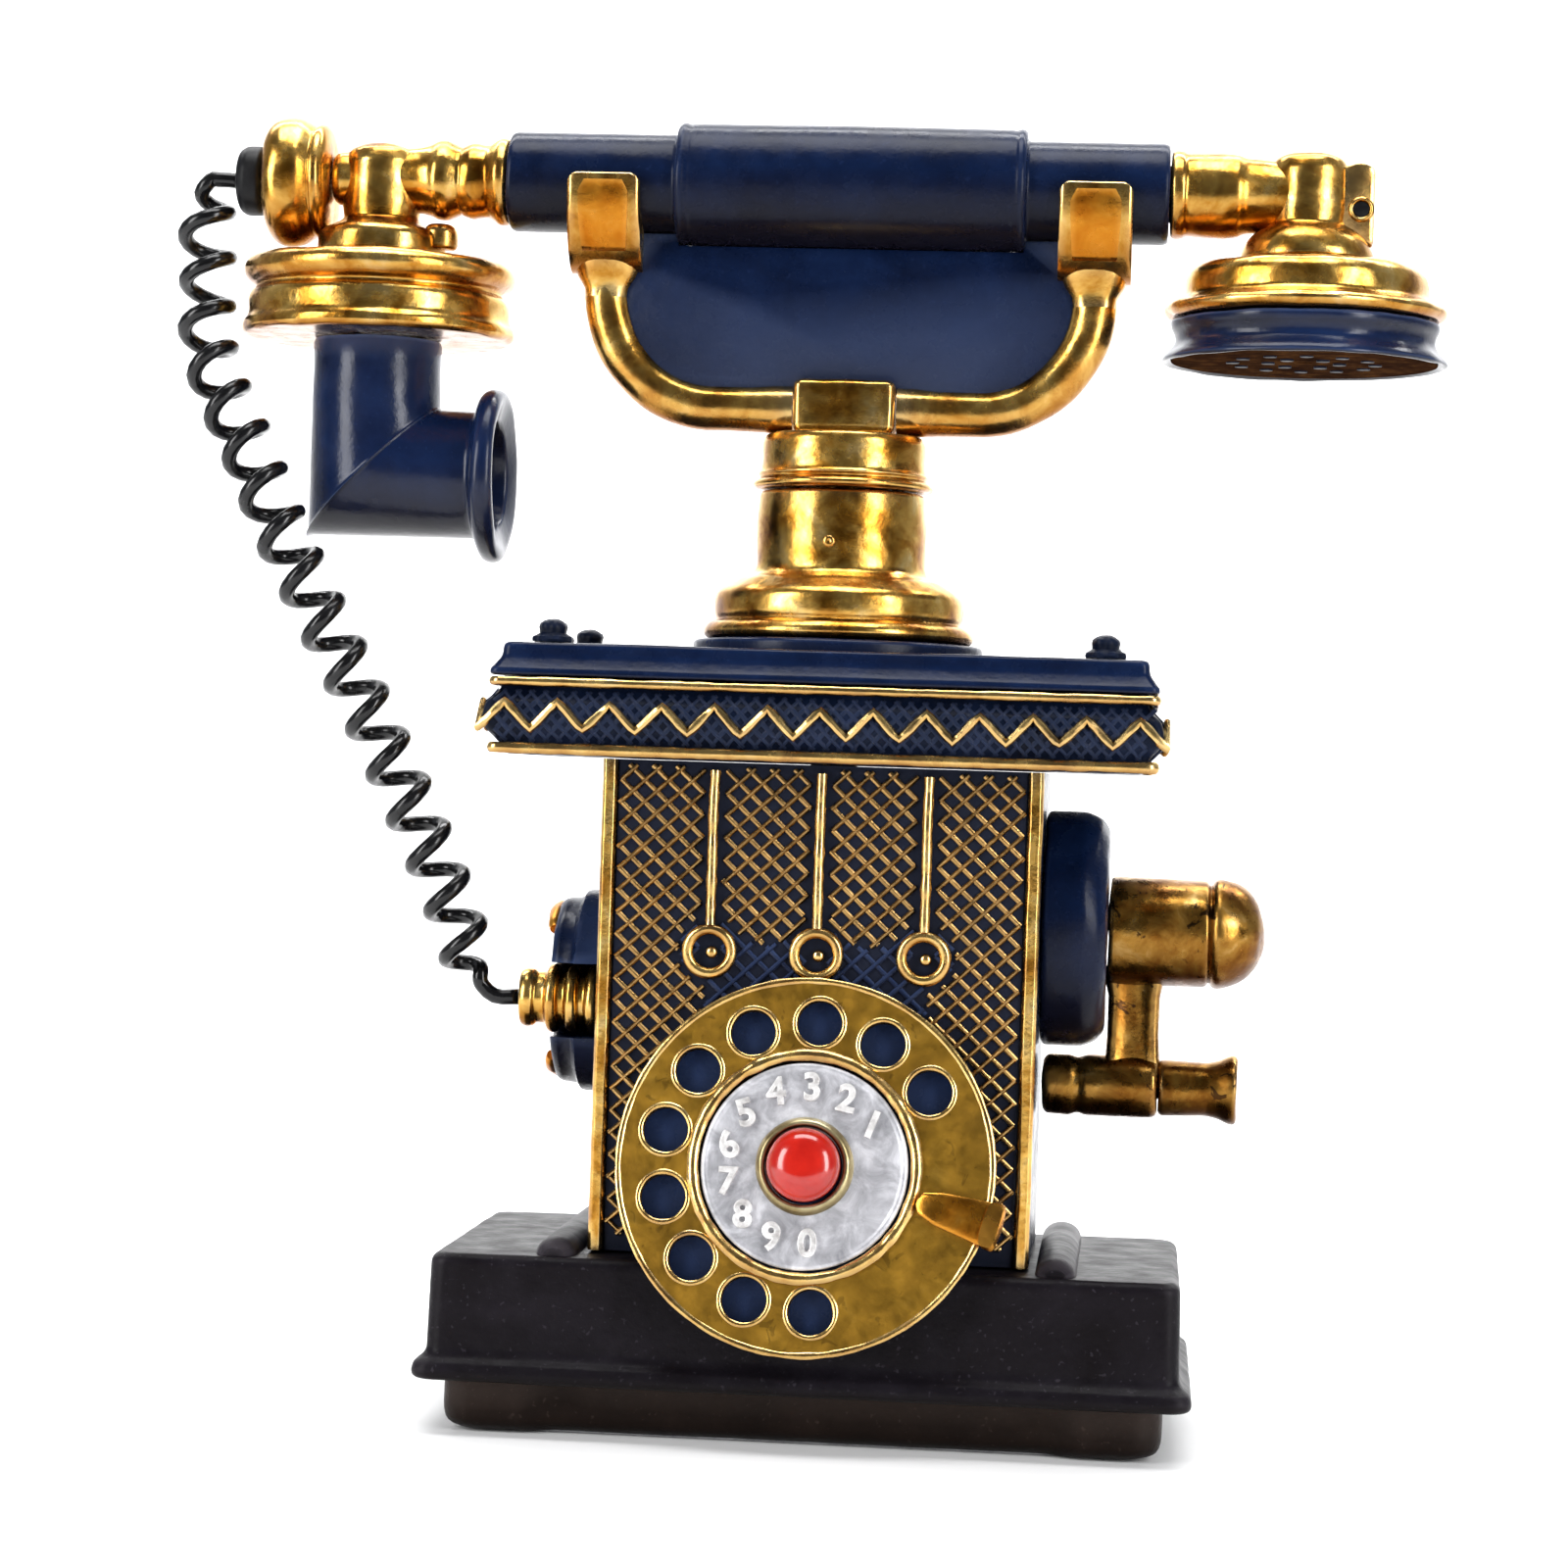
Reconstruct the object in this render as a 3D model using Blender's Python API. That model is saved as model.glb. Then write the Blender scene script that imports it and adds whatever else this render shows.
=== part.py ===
"""French-style cradle telephone: a dial phone with a fork cradle on a pillar.

Frame: metres, +Z up, the pillar's axis on X = Y = 0, the underside on Z = 0,
the dial facing -Y and the crank on the +X side.
"""

import math

import bmesh
import bpy
from mathutils import Vector

for old_object in list(bpy.data.objects):
    bpy.data.objects.remove(old_object, do_unlink=True)

# ---------------------------------------------------------------- clearances
GAP = 0.0003            # between pieces that touch
RUNNING = 0.0003        # between a shaft and its bore

# ------------------------------------------------- facets of the round pieces
WIDEST = 32
WIDE = 24
MIDDLE = 16
SMALL = 10
TINY = 8

# ---------------------------------------------------------------------- base
BASE_WIDTH = 0.1545
BASE_DEPTH = 0.0830
BASE_TOP = 0.0370
BASE_WALL = 0.0030
RIM_PROUD = 0.00275     # how far the rim bead stands out of the base all round
RIM_BOTTOM = 0.0110
RIM_HEIGHT = 0.0050
PLINTH_INSET = 0.0030   # plinth behind the base's wall
PLINTH_WALL = 0.0045
FOOT_LENGTH = 0.0190
FOOT_PROUD = 0.0012
PLATE_THICKNESS = 0.0020

# ---------------------------------------------------------------------- body
BODY_WIDTH = 0.0916
BODY_DEPTH = 0.0560
BODY_HEIGHT = 0.1030    # from the base's top to the cornice
BODY_WALL = 0.0025
PANEL_THICKNESS = 0.0008
TRIM_WIDTH = 0.0032
TRIM_PROUD = 0.0022
DROP_SPACING = 0.0222   # between the three hanging rings
DROP_RING_TUCK = 0.0036  # how far the rings reach down behind the dial's leaning rim
DROP_RING_RADIUS = 0.0046
DROP_WIRE = 0.0011

# ------------------------------------------------------------------- cornice
CORNICE_WIDTH = 0.1415
CORNICE_DEPTH = 0.0810
FRIEZE_HEIGHT = 0.0160
ROOF_HEIGHT = 0.0070
CORNICE_WALL = 0.0030
WAVES_FRONT = 12
WAVES_SIDE = 7
WAVE_HEIGHT = 0.0022
WAVE_WIRE = 0.0007
KNOB_RADIUS = 0.0047
KNOB_INSET = 0.0090

# -------------------------------------------------------------------- pillar
WASHER_RADIUS = 0.0310
WASHER_HEIGHT = 0.0027
FLANGE_RADIUS = 0.0292
COLUMN_RADIUS = 0.0180
PILLAR_HEIGHT = 0.0318
PILLAR_BORE = 0.0140
COLLAR_RADIUS = 0.0176
COLLAR_RING = 0.0194
COLLAR_HEIGHT = 0.0119

# -------------------------------------------------------------------- cradle
PLUNGER_RADIUS = 0.0050
PLUNGER_LENGTH = 0.0820
BLOCK_WIDTH = 0.0216
BLOCK_DEPTH = 0.0160
BLOCK_HEIGHT = 0.0116
ARM_RADIUS = 0.0050
ARM_BEND_X = 0.0300     # where an arm leaves the level and starts to rise
SADDLE_REACH = 0.0149   # from the grip's end to the middle of a saddle
SADDLE_WIDTH = 0.0155
SADDLE_WALL = 0.0025
SADDLE_CLEAR = 0.0003
SADDLE_STEM = 0.0097    # from the arm's bend up to the underside of the saddle
WEB_THICKNESS = 0.0050

# ------------------------------------------------------------------- handset
HANDLE_RISE = 0.0413    # from the cradle block's top to the handle's axis
GRIP_RADIUS = 0.0134
GRIP_LENGTH = 0.0746
SLEEVE_RADIUS = 0.0107
SLEEVE_LEFT = 0.0364
SLEEVE_RIGHT = 0.0302
HANDLE_BORE = 0.0060
TRANSMITTER_REACH = 0.0283  # from the handle's left end to the transmitter's axis
TRANSMITTER_RADIUS = 0.0294
TRANSMITTER_DROP = 0.0172   # from the handle's axis to the transmitter's top
TRANSMITTER_HEIGHT = 0.0176
PIPE_RADIUS = 0.0138
PIPE_WALL = 0.0030
PIPE_DROP = 0.0287      # from the transmitter's underside to the pipe's level axis
MOUTH_RADIUS = 0.0187
MOUTH_REACH = 0.0287    # from the transmitter's axis to the mouth
RECEIVER_REACH = 0.0295     # from the handle's right end to the receiver's axis
RECEIVER_RADIUS = 0.0300
RECEIVER_DROP = 0.0141  # from the handle's axis to the receiver's top
RECEIVER_HEIGHT = 0.0124
EAR_CAP_HEIGHT = 0.0097
ELBOW_RADIUS = 0.0082
END_KNOB_RADIUS = 0.0139
END_KNOB_LENGTH = 0.0145
BUSH_RADIUS = 0.0075
BUSH_LENGTH = 0.0060

# ---------------------------------------------------------------------- cord
CORD_COIL_RADIUS = 0.0065
CORD_ROUTE = (
    (-0.1403, 0.0000, 0.2620),
    (-0.1403, -0.0010, 0.2530),
    (-0.1392, -0.0030, 0.2430),
    (-0.1388, -0.0045, 0.2330),
    (-0.1372, -0.0070, 0.2240),
    (-0.1330, -0.0100, 0.2150),
    (-0.1280, -0.0130, 0.2060),
    (-0.1230, -0.0160, 0.1965),
    (-0.1180, -0.0185, 0.1860),
    (-0.1125, -0.0190, 0.1755),
    (-0.1070, -0.0185, 0.1650),
    (-0.1018, -0.0175, 0.1550),
    (-0.0970, -0.0165, 0.1455),
    (-0.0922, -0.0155, 0.1355),
    (-0.0877, -0.0145, 0.1260),
    (-0.0832, -0.0137, 0.1162),
    (-0.0795, -0.0130, 0.1072),
    (-0.0766, -0.0124, 0.0990),
    (-0.0738, -0.0120, 0.0925),
    (-0.0700, -0.0120, 0.0886),
    (-0.0647, -0.0120, 0.0885),
)
CORD_STEPS = 2          # spline points between two route points

# ----------------------------------------------------------------- left side
GLAND_Y = -0.0120
GLAND_HEIGHT = 0.0515   # above the base's top
GLAND_RIB = 0.0076
GLAND_CORE = 0.0058
GLAND_LENGTH = 0.0180
BOSS_RADIUS = 0.0216
BOSS_LENGTH = 0.0110

# ---------------------------------------------------------------- right side
CRANK_HEIGHT = 0.0698   # above the base's top
DRUM_RADIUS = 0.0250
DRUM_LENGTH = 0.0135
DRUM_WALL = 0.0025
CRANK_SHAFT = 0.0040
HUB_RADIUS = 0.0115
HUB_LENGTH = 0.0330
ARM_OFFSET = 0.0331     # crank axis to grip axis
ARM_WIDTH = 0.0110
GRIP_PIN = 0.0022
CRANK_GRIP_RADIUS = 0.0059
CRANK_GRIP_LENGTH = 0.0165
GEAR_MODULE = 0.0015
CRANK_TEETH = 24
ARMATURE_TEETH = 8
GEAR_INSET = 0.0103     # from the body's right face to the gears' near faces
GEAR_WIDTH = 0.0045
GEAR_SET_BACK = 0.0004  # how much narrower a pinion is at each face
ARMATURE_Y = 0.0100
ARMATURE_RADIUS = 0.0085
ARMATURE_LENGTH = 0.0320
MAGNET_WALL = 0.0040

# ---------------------------------------------------------------------- dial
DIAL_HEIGHT = 0.0200    # dial's centre above the base's top
DIAL_TILT = math.radians(12.0)
DIAL_RADIUS = 0.0390
DIAL_PLATE_RADIUS = 0.0365
DIAL_PLATE = 0.0015
DIAL_CUP_RADIUS = 0.0300
DIAL_CUP_DEPTH = 0.0240
DIAL_CUP_WALL = 0.0015
WHEEL_BACK = 0.0023     # height of the wheel's back over the dial's seat
WHEEL_THICKNESS = 0.0025
WHEEL_LIP = 0.0010
HOLE_CIRCLE = 0.0296
HOLE_RADIUS = 0.0046
FIRST_HOLE = math.radians(33.0)
HOLE_STEP = math.radians(26.9)
HOLES = 10
STOP_ANGLE = math.radians(-15.5)
NUMBER_PLATE_RADIUS = 0.0213
BUTTON_RADIUS = 0.0077
DIAL_SHAFT = 0.0045
DIAL_POST = 0.0028
DIAL_MODULE = 0.0013
DIAL_TEETH = 24
GOVERNOR_TEETH = 8

# -------------------------------------------------------------------- ringer
GONG_RADIUS = 0.0180
GONG_X = 0.0235
GONG_Y = 0.0000
GONG_HEIGHT = 0.0090
CLAPPER_Y = 0.0240
CLAPPER_BALL = 0.0035
COIL_RADIUS = 0.0065
COIL_X = 0.0115
COIL_HEIGHT = 0.0160

LEVER_REACH = 0.0160    # from the switch lever's pivot to the plunger's axis

# ------------------------------------------------- heights that follow these
CORNICE_BOTTOM = BASE_TOP + BODY_HEIGHT
FRIEZE_TOP = CORNICE_BOTTOM + FRIEZE_HEIGHT
ROOF_TOP = FRIEZE_TOP + GAP + ROOF_HEIGHT
PILLAR_BOTTOM = ROOF_TOP + WASHER_HEIGHT + GAP
PILLAR_TOP = PILLAR_BOTTOM + PILLAR_HEIGHT
COLLAR_TOP = PILLAR_TOP + GAP + COLLAR_HEIGHT
BLOCK_BOTTOM = COLLAR_TOP + GAP
BLOCK_TOP = BLOCK_BOTTOM + BLOCK_HEIGHT
SADDLE_RADIUS = SLEEVE_RADIUS + SADDLE_CLEAR
HANDLE_LEFT = -GRIP_LENGTH / 2 - SLEEVE_LEFT
HANDLE_RIGHT = GRIP_LENGTH / 2 + SLEEVE_RIGHT
PLATE_TOP = PLATE_THICKNESS + GAP
GLAND_Z = BASE_TOP + GLAND_HEIGHT
CRANK_Z = BASE_TOP + CRANK_HEIGHT
HANDLE_Z = BLOCK_TOP + HANDLE_RISE
TRANSMITTER_X = HANDLE_LEFT - TRANSMITTER_REACH
MOUTH_X = TRANSMITTER_X + MOUTH_REACH
RECEIVER_X = HANDLE_RIGHT + RECEIVER_REACH
SADDLE_X = GRIP_LENGTH / 2 + SADDLE_REACH
SADDLE_BOTTOM = HANDLE_Z - SADDLE_RADIUS - SADDLE_WALL
ARM_LEVEL = BLOCK_BOTTOM + BLOCK_HEIGHT * 0.45
ARM_RISE = SADDLE_BOTTOM - SADDLE_STEM - ARM_LEVEL

# The dial's seat just clears the base's top front edge.
DIAL_Z = BASE_TOP + DIAL_HEIGHT
DIAL_Y = -(BASE_DEPTH / 2 + 0.0005 / math.cos(DIAL_TILT)) + DIAL_HEIGHT * math.tan(DIAL_TILT)
DROP_RING_Z = DIAL_Z + DIAL_RADIUS * (1 + math.sin(DIAL_TILT)) - DROP_RING_TUCK
DIAL_PLACE = {
    "location": (0.0, DIAL_Y, DIAL_Z),
    "rotation": (math.pi / 2 - DIAL_TILT, 0.0, 0.0),
}

# finishes: colour, roughness, metallic
FINISHES = {
    "navy": ((0.015, 0.032, 0.085), 0.45, 0.0),
    "dark_navy": ((0.010, 0.012, 0.020), 0.55, 0.0),
    "gold": ((0.80, 0.48, 0.13), 0.32, 1.0),
    "bronze": ((0.36, 0.26, 0.10), 0.40, 1.0),
    "silver": ((0.62, 0.62, 0.62), 0.35, 1.0),
    "red": ((0.70, 0.02, 0.01), 0.20, 0.0),
    "black": ((0.008, 0.008, 0.009), 0.25, 0.0),
    "steel": ((0.45, 0.45, 0.46), 0.35, 1.0),
    "copper": ((0.60, 0.25, 0.12), 0.35, 1.0),
    "bakelite": ((0.05, 0.02, 0.01), 0.40, 0.0),
}

ALONG_X = (0.0, math.pi / 2, 0.0)
ALONG_MINUS_Y = (math.pi / 2, 0.0, 0.0)


def material_for(name, finish):
    """Give a piece a finish of its own."""
    colour, roughness, metallic = FINISHES[finish]
    material = bpy.data.materials.new(name + "_" + finish)
    material.use_nodes = True
    shader = material.node_tree.nodes["Principled BSDF"]
    shader.inputs["Base Color"].default_value = (*colour, 1.0)
    shader.inputs["Roughness"].default_value = roughness
    shader.inputs["Metallic"].default_value = metallic
    return material


def add_piece(name, bm, finish, location=(0, 0, 0), rotation=(0, 0, 0)):
    """Turn a finished bmesh into a named object."""
    bmesh.ops.remove_doubles(bm, verts=bm.verts, dist=1e-6)
    bmesh.ops.recalc_face_normals(bm, faces=bm.faces)
    mesh = bpy.data.meshes.new(name)
    bm.to_mesh(mesh)
    bm.free()
    mesh.shade_smooth()
    mesh.set_sharp_from_angle(angle=math.radians(35))
    piece = bpy.data.objects.new(name, mesh)
    piece.location = location
    piece.rotation_euler = rotation
    mesh.materials.append(material_for(name, finish))
    bpy.context.collection.objects.link(piece)
    return piece


def loft(name, loops, finish, closed=False, **place):
    """Skin a row of loops; a closed row makes a frame, an open one gets caps."""
    bm = bmesh.new()
    rows = [[bm.verts.new(point) for point in loop] for loop in loops]
    pairs = list(zip(rows, rows[1:]))
    if closed:
        pairs.append((rows[-1], rows[0]))
    else:
        bm.faces.new(rows[0])
        bm.faces.new(rows[-1])
    for lower, upper in pairs:
        for i in range(len(lower)):
            j = (i + 1) % len(lower)
            bm.faces.new((lower[i], lower[j], upper[j], upper[i]))
    return add_piece(name, bm, finish, **place)


def turned(name, outline, finish, segments=MIDDLE, **place):
    """Spin an outline of (radius, height) points about the local Z axis."""
    bm = bmesh.new()
    verts = [bm.verts.new((radius, 0.0, height)) for radius, height in outline]
    edges = [bm.edges.new((a, b)) for a, b in zip(verts, verts[1:])]
    if outline[0][0] > 0 or outline[-1][0] > 0:
        edges.append(bm.edges.new((verts[-1], verts[0])))
    bmesh.ops.spin(
        bm, geom=verts + edges, cent=(0, 0, 0), axis=(0, 0, 1),
        angle=2 * math.pi, steps=segments, use_merge=True, use_duplicate=False)
    return add_piece(name, bm, finish, **place)


def rounded_rect(width, depth, height, radius=0.002, steps=2, centre=(0, 0)):
    """Corner-rounded rectangle in the XY plane at one height."""
    points = []
    corners = ((1, 1, 0), (-1, 1, 90), (-1, -1, 180), (1, -1, 270))
    for side_x, side_y, start in corners:
        cx = centre[0] + side_x * (width / 2 - radius)
        cy = centre[1] + side_y * (depth / 2 - radius)
        for step in range(steps + 1):
            angle = math.radians(start + 90 * step / steps)
            points.append((cx + radius * math.cos(angle), cy + radius * math.sin(angle), height))
    return points


def block(name, low, high, finish, bevel=0.0, **place):
    """Box between two corners, with its edges eased."""
    bm = bmesh.new()
    bmesh.ops.create_cube(bm, size=1.0)
    size = Vector(high) - Vector(low)
    centre = (Vector(high) + Vector(low)) / 2
    for vert in bm.verts:
        vert.co = Vector((vert.co.x * size.x, vert.co.y * size.y, vert.co.z * size.z)) + centre
    if bevel > 0:
        bmesh.ops.bevel(bm, geom=bm.edges, offset=bevel, segments=2, profile=0.5, affect='EDGES')
    return add_piece(name, bm, finish, **place)


def extruded(name, outline, low, high, finish, plane="XY", **place):
    """Extrude a flat outline between two levels of the third axis."""
    order = {"XY": (0, 1, 2), "XZ": (0, 2, 1), "YZ": (1, 2, 0)}[plane]

    def at(point, level):
        place_in = [0.0, 0.0, 0.0]
        place_in[order[0]] = point[0]
        place_in[order[1]] = point[1]
        place_in[order[2]] = level
        return tuple(place_in)

    loops = [[at(point, level) for point in outline] for level in (low, high)]
    return loft(name, loops, finish, **place)


def rod(name, radius, start, end, finish, segments=SMALL, **place):
    """Straight cylinder along the local Z axis."""
    outline = [(0, start), (radius, start), (radius, end), (0, end)]
    return turned(name, outline, finish, segments=segments, **place)


def combine(target, tool, operation):
    """Join a helper shape to a piece, or cut it away."""
    tool.hide_render = True
    tool.display_type = 'WIRE'
    modifier = target.modifiers.new(tool.name, 'BOOLEAN')
    modifier.operation = operation
    modifier.solver = 'EXACT'
    modifier.object = tool


def join(target, *tools):
    for tool in tools:
        combine(target, tool, 'UNION')


def cut(target, *tools):
    for tool in tools:
        combine(target, tool, 'DIFFERENCE')


def arc(centre, radius, start, end, steps):
    """Points of a circular arc, angles in degrees."""
    points = []
    for step in range(steps + 1):
        angle = math.radians(start + (end - start) * step / steps)
        points.append((centre[0] + radius * math.cos(angle), centre[1] + radius * math.sin(angle)))
    return points


def gear_outline(teeth, module, phase):
    """Toothed outline with slim teeth, so that a pair runs with backlash."""
    pitch = 2 * math.pi / teeth
    root = module * (teeth / 2 - 0.9)
    tip = module * (teeth / 2 + 0.7)
    points = []
    for tooth in range(teeth):
        middle = phase + tooth * pitch
        for offset, radius in ((-0.20, root), (-0.09, tip), (0.09, tip), (0.20, root)):
            angle = middle + offset * pitch
            points.append((radius * math.cos(angle), radius * math.sin(angle)))
    return points


def on_dial(x, up, out=0.0):
    """World place of a point given on the dial's own tilted face."""
    sine = math.sin(DIAL_TILT)
    cosine = math.cos(DIAL_TILT)
    return (x, DIAL_Y + up * sine - out * cosine, DIAL_Z + up * cosine + out * sine)


def dial_opening(name):
    """Round cutter that leaves room for the dial's cup."""
    radius = DIAL_CUP_RADIUS + GAP
    return rod(name, radius, -0.045, 0.020, "steel", segments=WIDE, **DIAL_PLACE)


# ------------------------------------------------------------ base and plinth
def make_base():
    """Hollow base casting with its rim bead, open underneath."""
    rim_width = BASE_WIDTH + 2 * RIM_PROUD
    rim_depth = BASE_DEPTH + 2 * RIM_PROUD
    inner_width = BASE_WIDTH - 2 * BASE_WALL
    inner_depth = BASE_DEPTH - 2 * BASE_WALL
    rim_top = RIM_BOTTOM + RIM_HEIGHT
    loops = [
        rounded_rect(inner_width, inner_depth, BASE_TOP - BASE_WALL),
        rounded_rect(inner_width, inner_depth, RIM_BOTTOM),
        rounded_rect(rim_width - 0.002, rim_depth - 0.002, RIM_BOTTOM, 0.003),
        rounded_rect(rim_width, rim_depth, RIM_BOTTOM + 0.0012, 0.004),
        rounded_rect(rim_width, rim_depth, RIM_BOTTOM + 0.0026, 0.004),
        rounded_rect(BASE_WIDTH + 0.0006, BASE_DEPTH + 0.0006, rim_top, 0.003),
        rounded_rect(BASE_WIDTH, BASE_DEPTH, BASE_TOP - 0.0015, 0.003),
        rounded_rect(BASE_WIDTH - 0.003, BASE_DEPTH - 0.003, BASE_TOP, 0.0025),
    ]
    base = loft("base_shell", loops, "dark_navy")
    wiring = block(
        "base_wiring_way",
        (-BODY_WIDTH / 2 + 0.006, -BODY_DEPTH / 2 + 0.006, BASE_TOP - 2 * BASE_WALL),
        (BODY_WIDTH / 2 - 0.006, BODY_DEPTH / 2 - 0.006, BASE_TOP + BASE_WALL), "steel")
    cut(base, wiring, dial_opening("base_dial_way"))


def make_plinth():
    """Recessed apron under the base, with a foot standing proud at each corner."""
    width = BASE_WIDTH - 2 * PLINTH_INSET
    depth = BASE_DEPTH - 2 * PLINTH_INSET
    top = RIM_BOTTOM - GAP
    inner_width = width - 2 * (PLINTH_WALL + FOOT_PROUD)
    inner_depth = depth - 2 * (PLINTH_WALL + FOOT_PROUD)
    loops = [
        rounded_rect(inner_width, inner_depth, 0.0, 0.003),
        rounded_rect(width - 0.003, depth - 0.003, 0.0, 0.005),
        rounded_rect(width, depth, 0.0015, 0.006),
        rounded_rect(width, depth, top, 0.006),
        rounded_rect(inner_width, inner_depth, top, 0.003),
    ]
    plinth = loft("plinth", loops, "dark_navy", closed=True)
    for side in (-1, 1):
        reach_x = width / 2 - FOOT_LENGTH
        reach_y = depth / 2 - FOOT_LENGTH
        edges = sorted((side * (depth / 2 - FOOT_PROUD), side * depth))
        long_side = block("apron_long_%d" % side, (-reach_x, edges[0], -0.001),
                          (reach_x, edges[1], top + 0.001), "steel")
        edges = sorted((side * (width / 2 - FOOT_PROUD), side * width))
        short_side = block("apron_short_%d" % side, (edges[0], -reach_y, -0.001),
                           (edges[1], reach_y, top + 0.001), "steel")
        cut(plinth, long_side, short_side)

    inner = (inner_width - 2 * GAP, inner_depth - 2 * GAP)
    loops = [rounded_rect(*inner, 0.0, 0.0027), rounded_rect(*inner, PLATE_THICKNESS, 0.0027)]
    loft("bottom_plate", loops, "steel")


# ---------------------------------------------------------------------- body
def make_body():
    """Upright box between the base and the cornice, open at both ends."""
    bottom = BASE_TOP + GAP
    top = CORNICE_BOTTOM - GAP
    inner_width = BODY_WIDTH - 2 * BODY_WALL
    inner_depth = BODY_DEPTH - 2 * BODY_WALL
    loops = [
        rounded_rect(inner_width, inner_depth, bottom, 0.001),
        rounded_rect(BODY_WIDTH, BODY_DEPTH, bottom, 0.0012),
        rounded_rect(BODY_WIDTH, BODY_DEPTH, top, 0.0012),
        rounded_rect(inner_width, inner_depth, top, 0.001),
    ]
    body = loft("body_shell", loops, "navy", closed=True)
    shaft_way = rod("body_shaft_way", CRANK_SHAFT + RUNNING, BODY_WIDTH / 2 - 0.01,
                    BODY_WIDTH / 2 + 0.01, "steel", location=(0, 0, CRANK_Z), rotation=ALONG_X)
    cord_way = rod("body_cord_way", GLAND_CORE - 0.002, -BODY_WIDTH / 2 - 0.01,
                   -BODY_WIDTH / 2 + 0.01, "steel", segments=TINY,
                   location=(0, GLAND_Y, GLAND_Z), rotation=ALONG_X)
    cut(body, dial_opening("body_dial_way"), shaft_way, cord_way)

    front = -BODY_DEPTH / 2 - GAP
    panel_reach = BODY_WIDTH / 2 - TRIM_WIDTH - GAP
    panel = block("front_grille", (-panel_reach, front - PANEL_THICKNESS, bottom + GAP),
                  (panel_reach, front, top), "bronze")
    cut(panel, dial_opening("panel_dial_way"))
    for side, word in ((-1, "left"), (1, "right")):
        edges = sorted((side * (BODY_WIDTH / 2 - TRIM_WIDTH), side * BODY_WIDTH / 2))
        block("edge_trim_" + word, (edges[0], front - TRIM_PROUD, bottom + GAP),
              (edges[1], front, top), "gold", bevel=0.0008)
    make_drops(front - PANEL_THICKNESS - GAP - DROP_WIRE, top)


def make_drops(level, top):
    """Three rods down the front panel, each ending in a ring."""
    for index, word in ((-1, "left"), (0, "centre"), (1, "right")):
        centre = (index * DROP_SPACING, level, DROP_RING_Z)
        outline = arc((DROP_RING_RADIUS, 0.0), DROP_WIRE, 0, 315, 7)
        ring = turned("drop_ring_" + word, outline, "gold", segments=SMALL,
                      location=centre, rotation=ALONG_MINUS_Y)
        stem = rod("drop_stem_" + word, DROP_WIRE * 0.9, centre[2] + DROP_RING_RADIUS,
                   top - GAP, "gold", segments=TINY, location=(centre[0], level, 0))
        join(ring, stem)


# ------------------------------------------------------------------- cornice
def make_cornice():
    """Frieze tray with a bulging band, a low roof on it and four corner knobs."""
    width = CORNICE_WIDTH
    depth = CORNICE_DEPTH
    z = CORNICE_BOTTOM
    band = (
        (0.0045, 0.0), (0.0025, 0.0009), (0.0030, 0.0020), (0.0012, 0.0045), (0.0, 0.0080),
        (0.0012, 0.0115), (0.0030, 0.0138), (0.0005, 0.0150), (0.0018, FRIEZE_HEIGHT),
    )
    loops = [rounded_rect(width - inset, depth - inset, z + up, 0.0015) for inset, up in band]
    tray = (width - 0.0105, depth - 0.0105)
    way = (BODY_WIDTH - 0.010, BODY_DEPTH - 0.010)
    loops += [
        rounded_rect(*tray, FRIEZE_TOP, 0.001),
        rounded_rect(*tray, z + CORNICE_WALL, 0.001),
        rounded_rect(*way, z + CORNICE_WALL, 0.001),
        rounded_rect(*way, z, 0.001),
    ]
    loft("frieze", loops, "navy", closed=True)

    bottom = FRIEZE_TOP + GAP
    loops = [
        rounded_rect(width - 0.016, depth - 0.016, bottom + CORNICE_WALL, 0.001),
        rounded_rect(width - 0.016, depth - 0.016, bottom, 0.001),
        rounded_rect(width - 0.0035, depth - 0.0035, bottom, 0.0015),
        rounded_rect(width - 0.0045, depth - 0.0045, bottom + 0.0015, 0.0015),
        rounded_rect(width - 0.0075, depth - 0.0075, bottom + 0.0040, 0.0015),
        rounded_rect(width - 0.0085, depth - 0.0085, ROOF_TOP, 0.0015),
    ]
    roof = loft("roof", loops, "navy")
    washer = rod("roof_washer", WASHER_RADIUS, ROOF_TOP - 0.001, ROOF_TOP + WASHER_HEIGHT,
                 "navy", segments=WIDE)
    join(roof, washer)
    cut(roof, rod("roof_plunger_way", PLUNGER_RADIUS + 0.002, bottom - 0.01, ROOF_TOP + 0.02, "steel"))
    make_knobs()
    make_zigzag(z + FRIEZE_HEIGHT / 2)


def make_knobs():
    """Domed rosettes on the roof, one near each corner."""
    reach_x = (CORNICE_WIDTH - 0.0085) / 2 - KNOB_INSET
    reach_y = (CORNICE_DEPTH - 0.0085) / 2 - KNOB_INSET
    z = ROOF_TOP + GAP
    outline = [(0, 0), (KNOB_RADIUS, 0), (KNOB_RADIUS, 0.0010), (KNOB_RADIUS * 0.62, 0.0016),
               (KNOB_RADIUS * 0.70, 0.0030), (KNOB_RADIUS * 0.45, 0.0045), (0, 0.0050)]
    for y_side, y_word in ((-1, "front"), (1, "rear")):
        for x_side, x_word in ((-1, "left"), (1, "right")):
            turned("corner_knob_%s_%s" % (y_word, x_word), outline, "navy", segments=SMALL,
                   location=(x_side * reach_x, y_side * reach_y, z))


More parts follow.
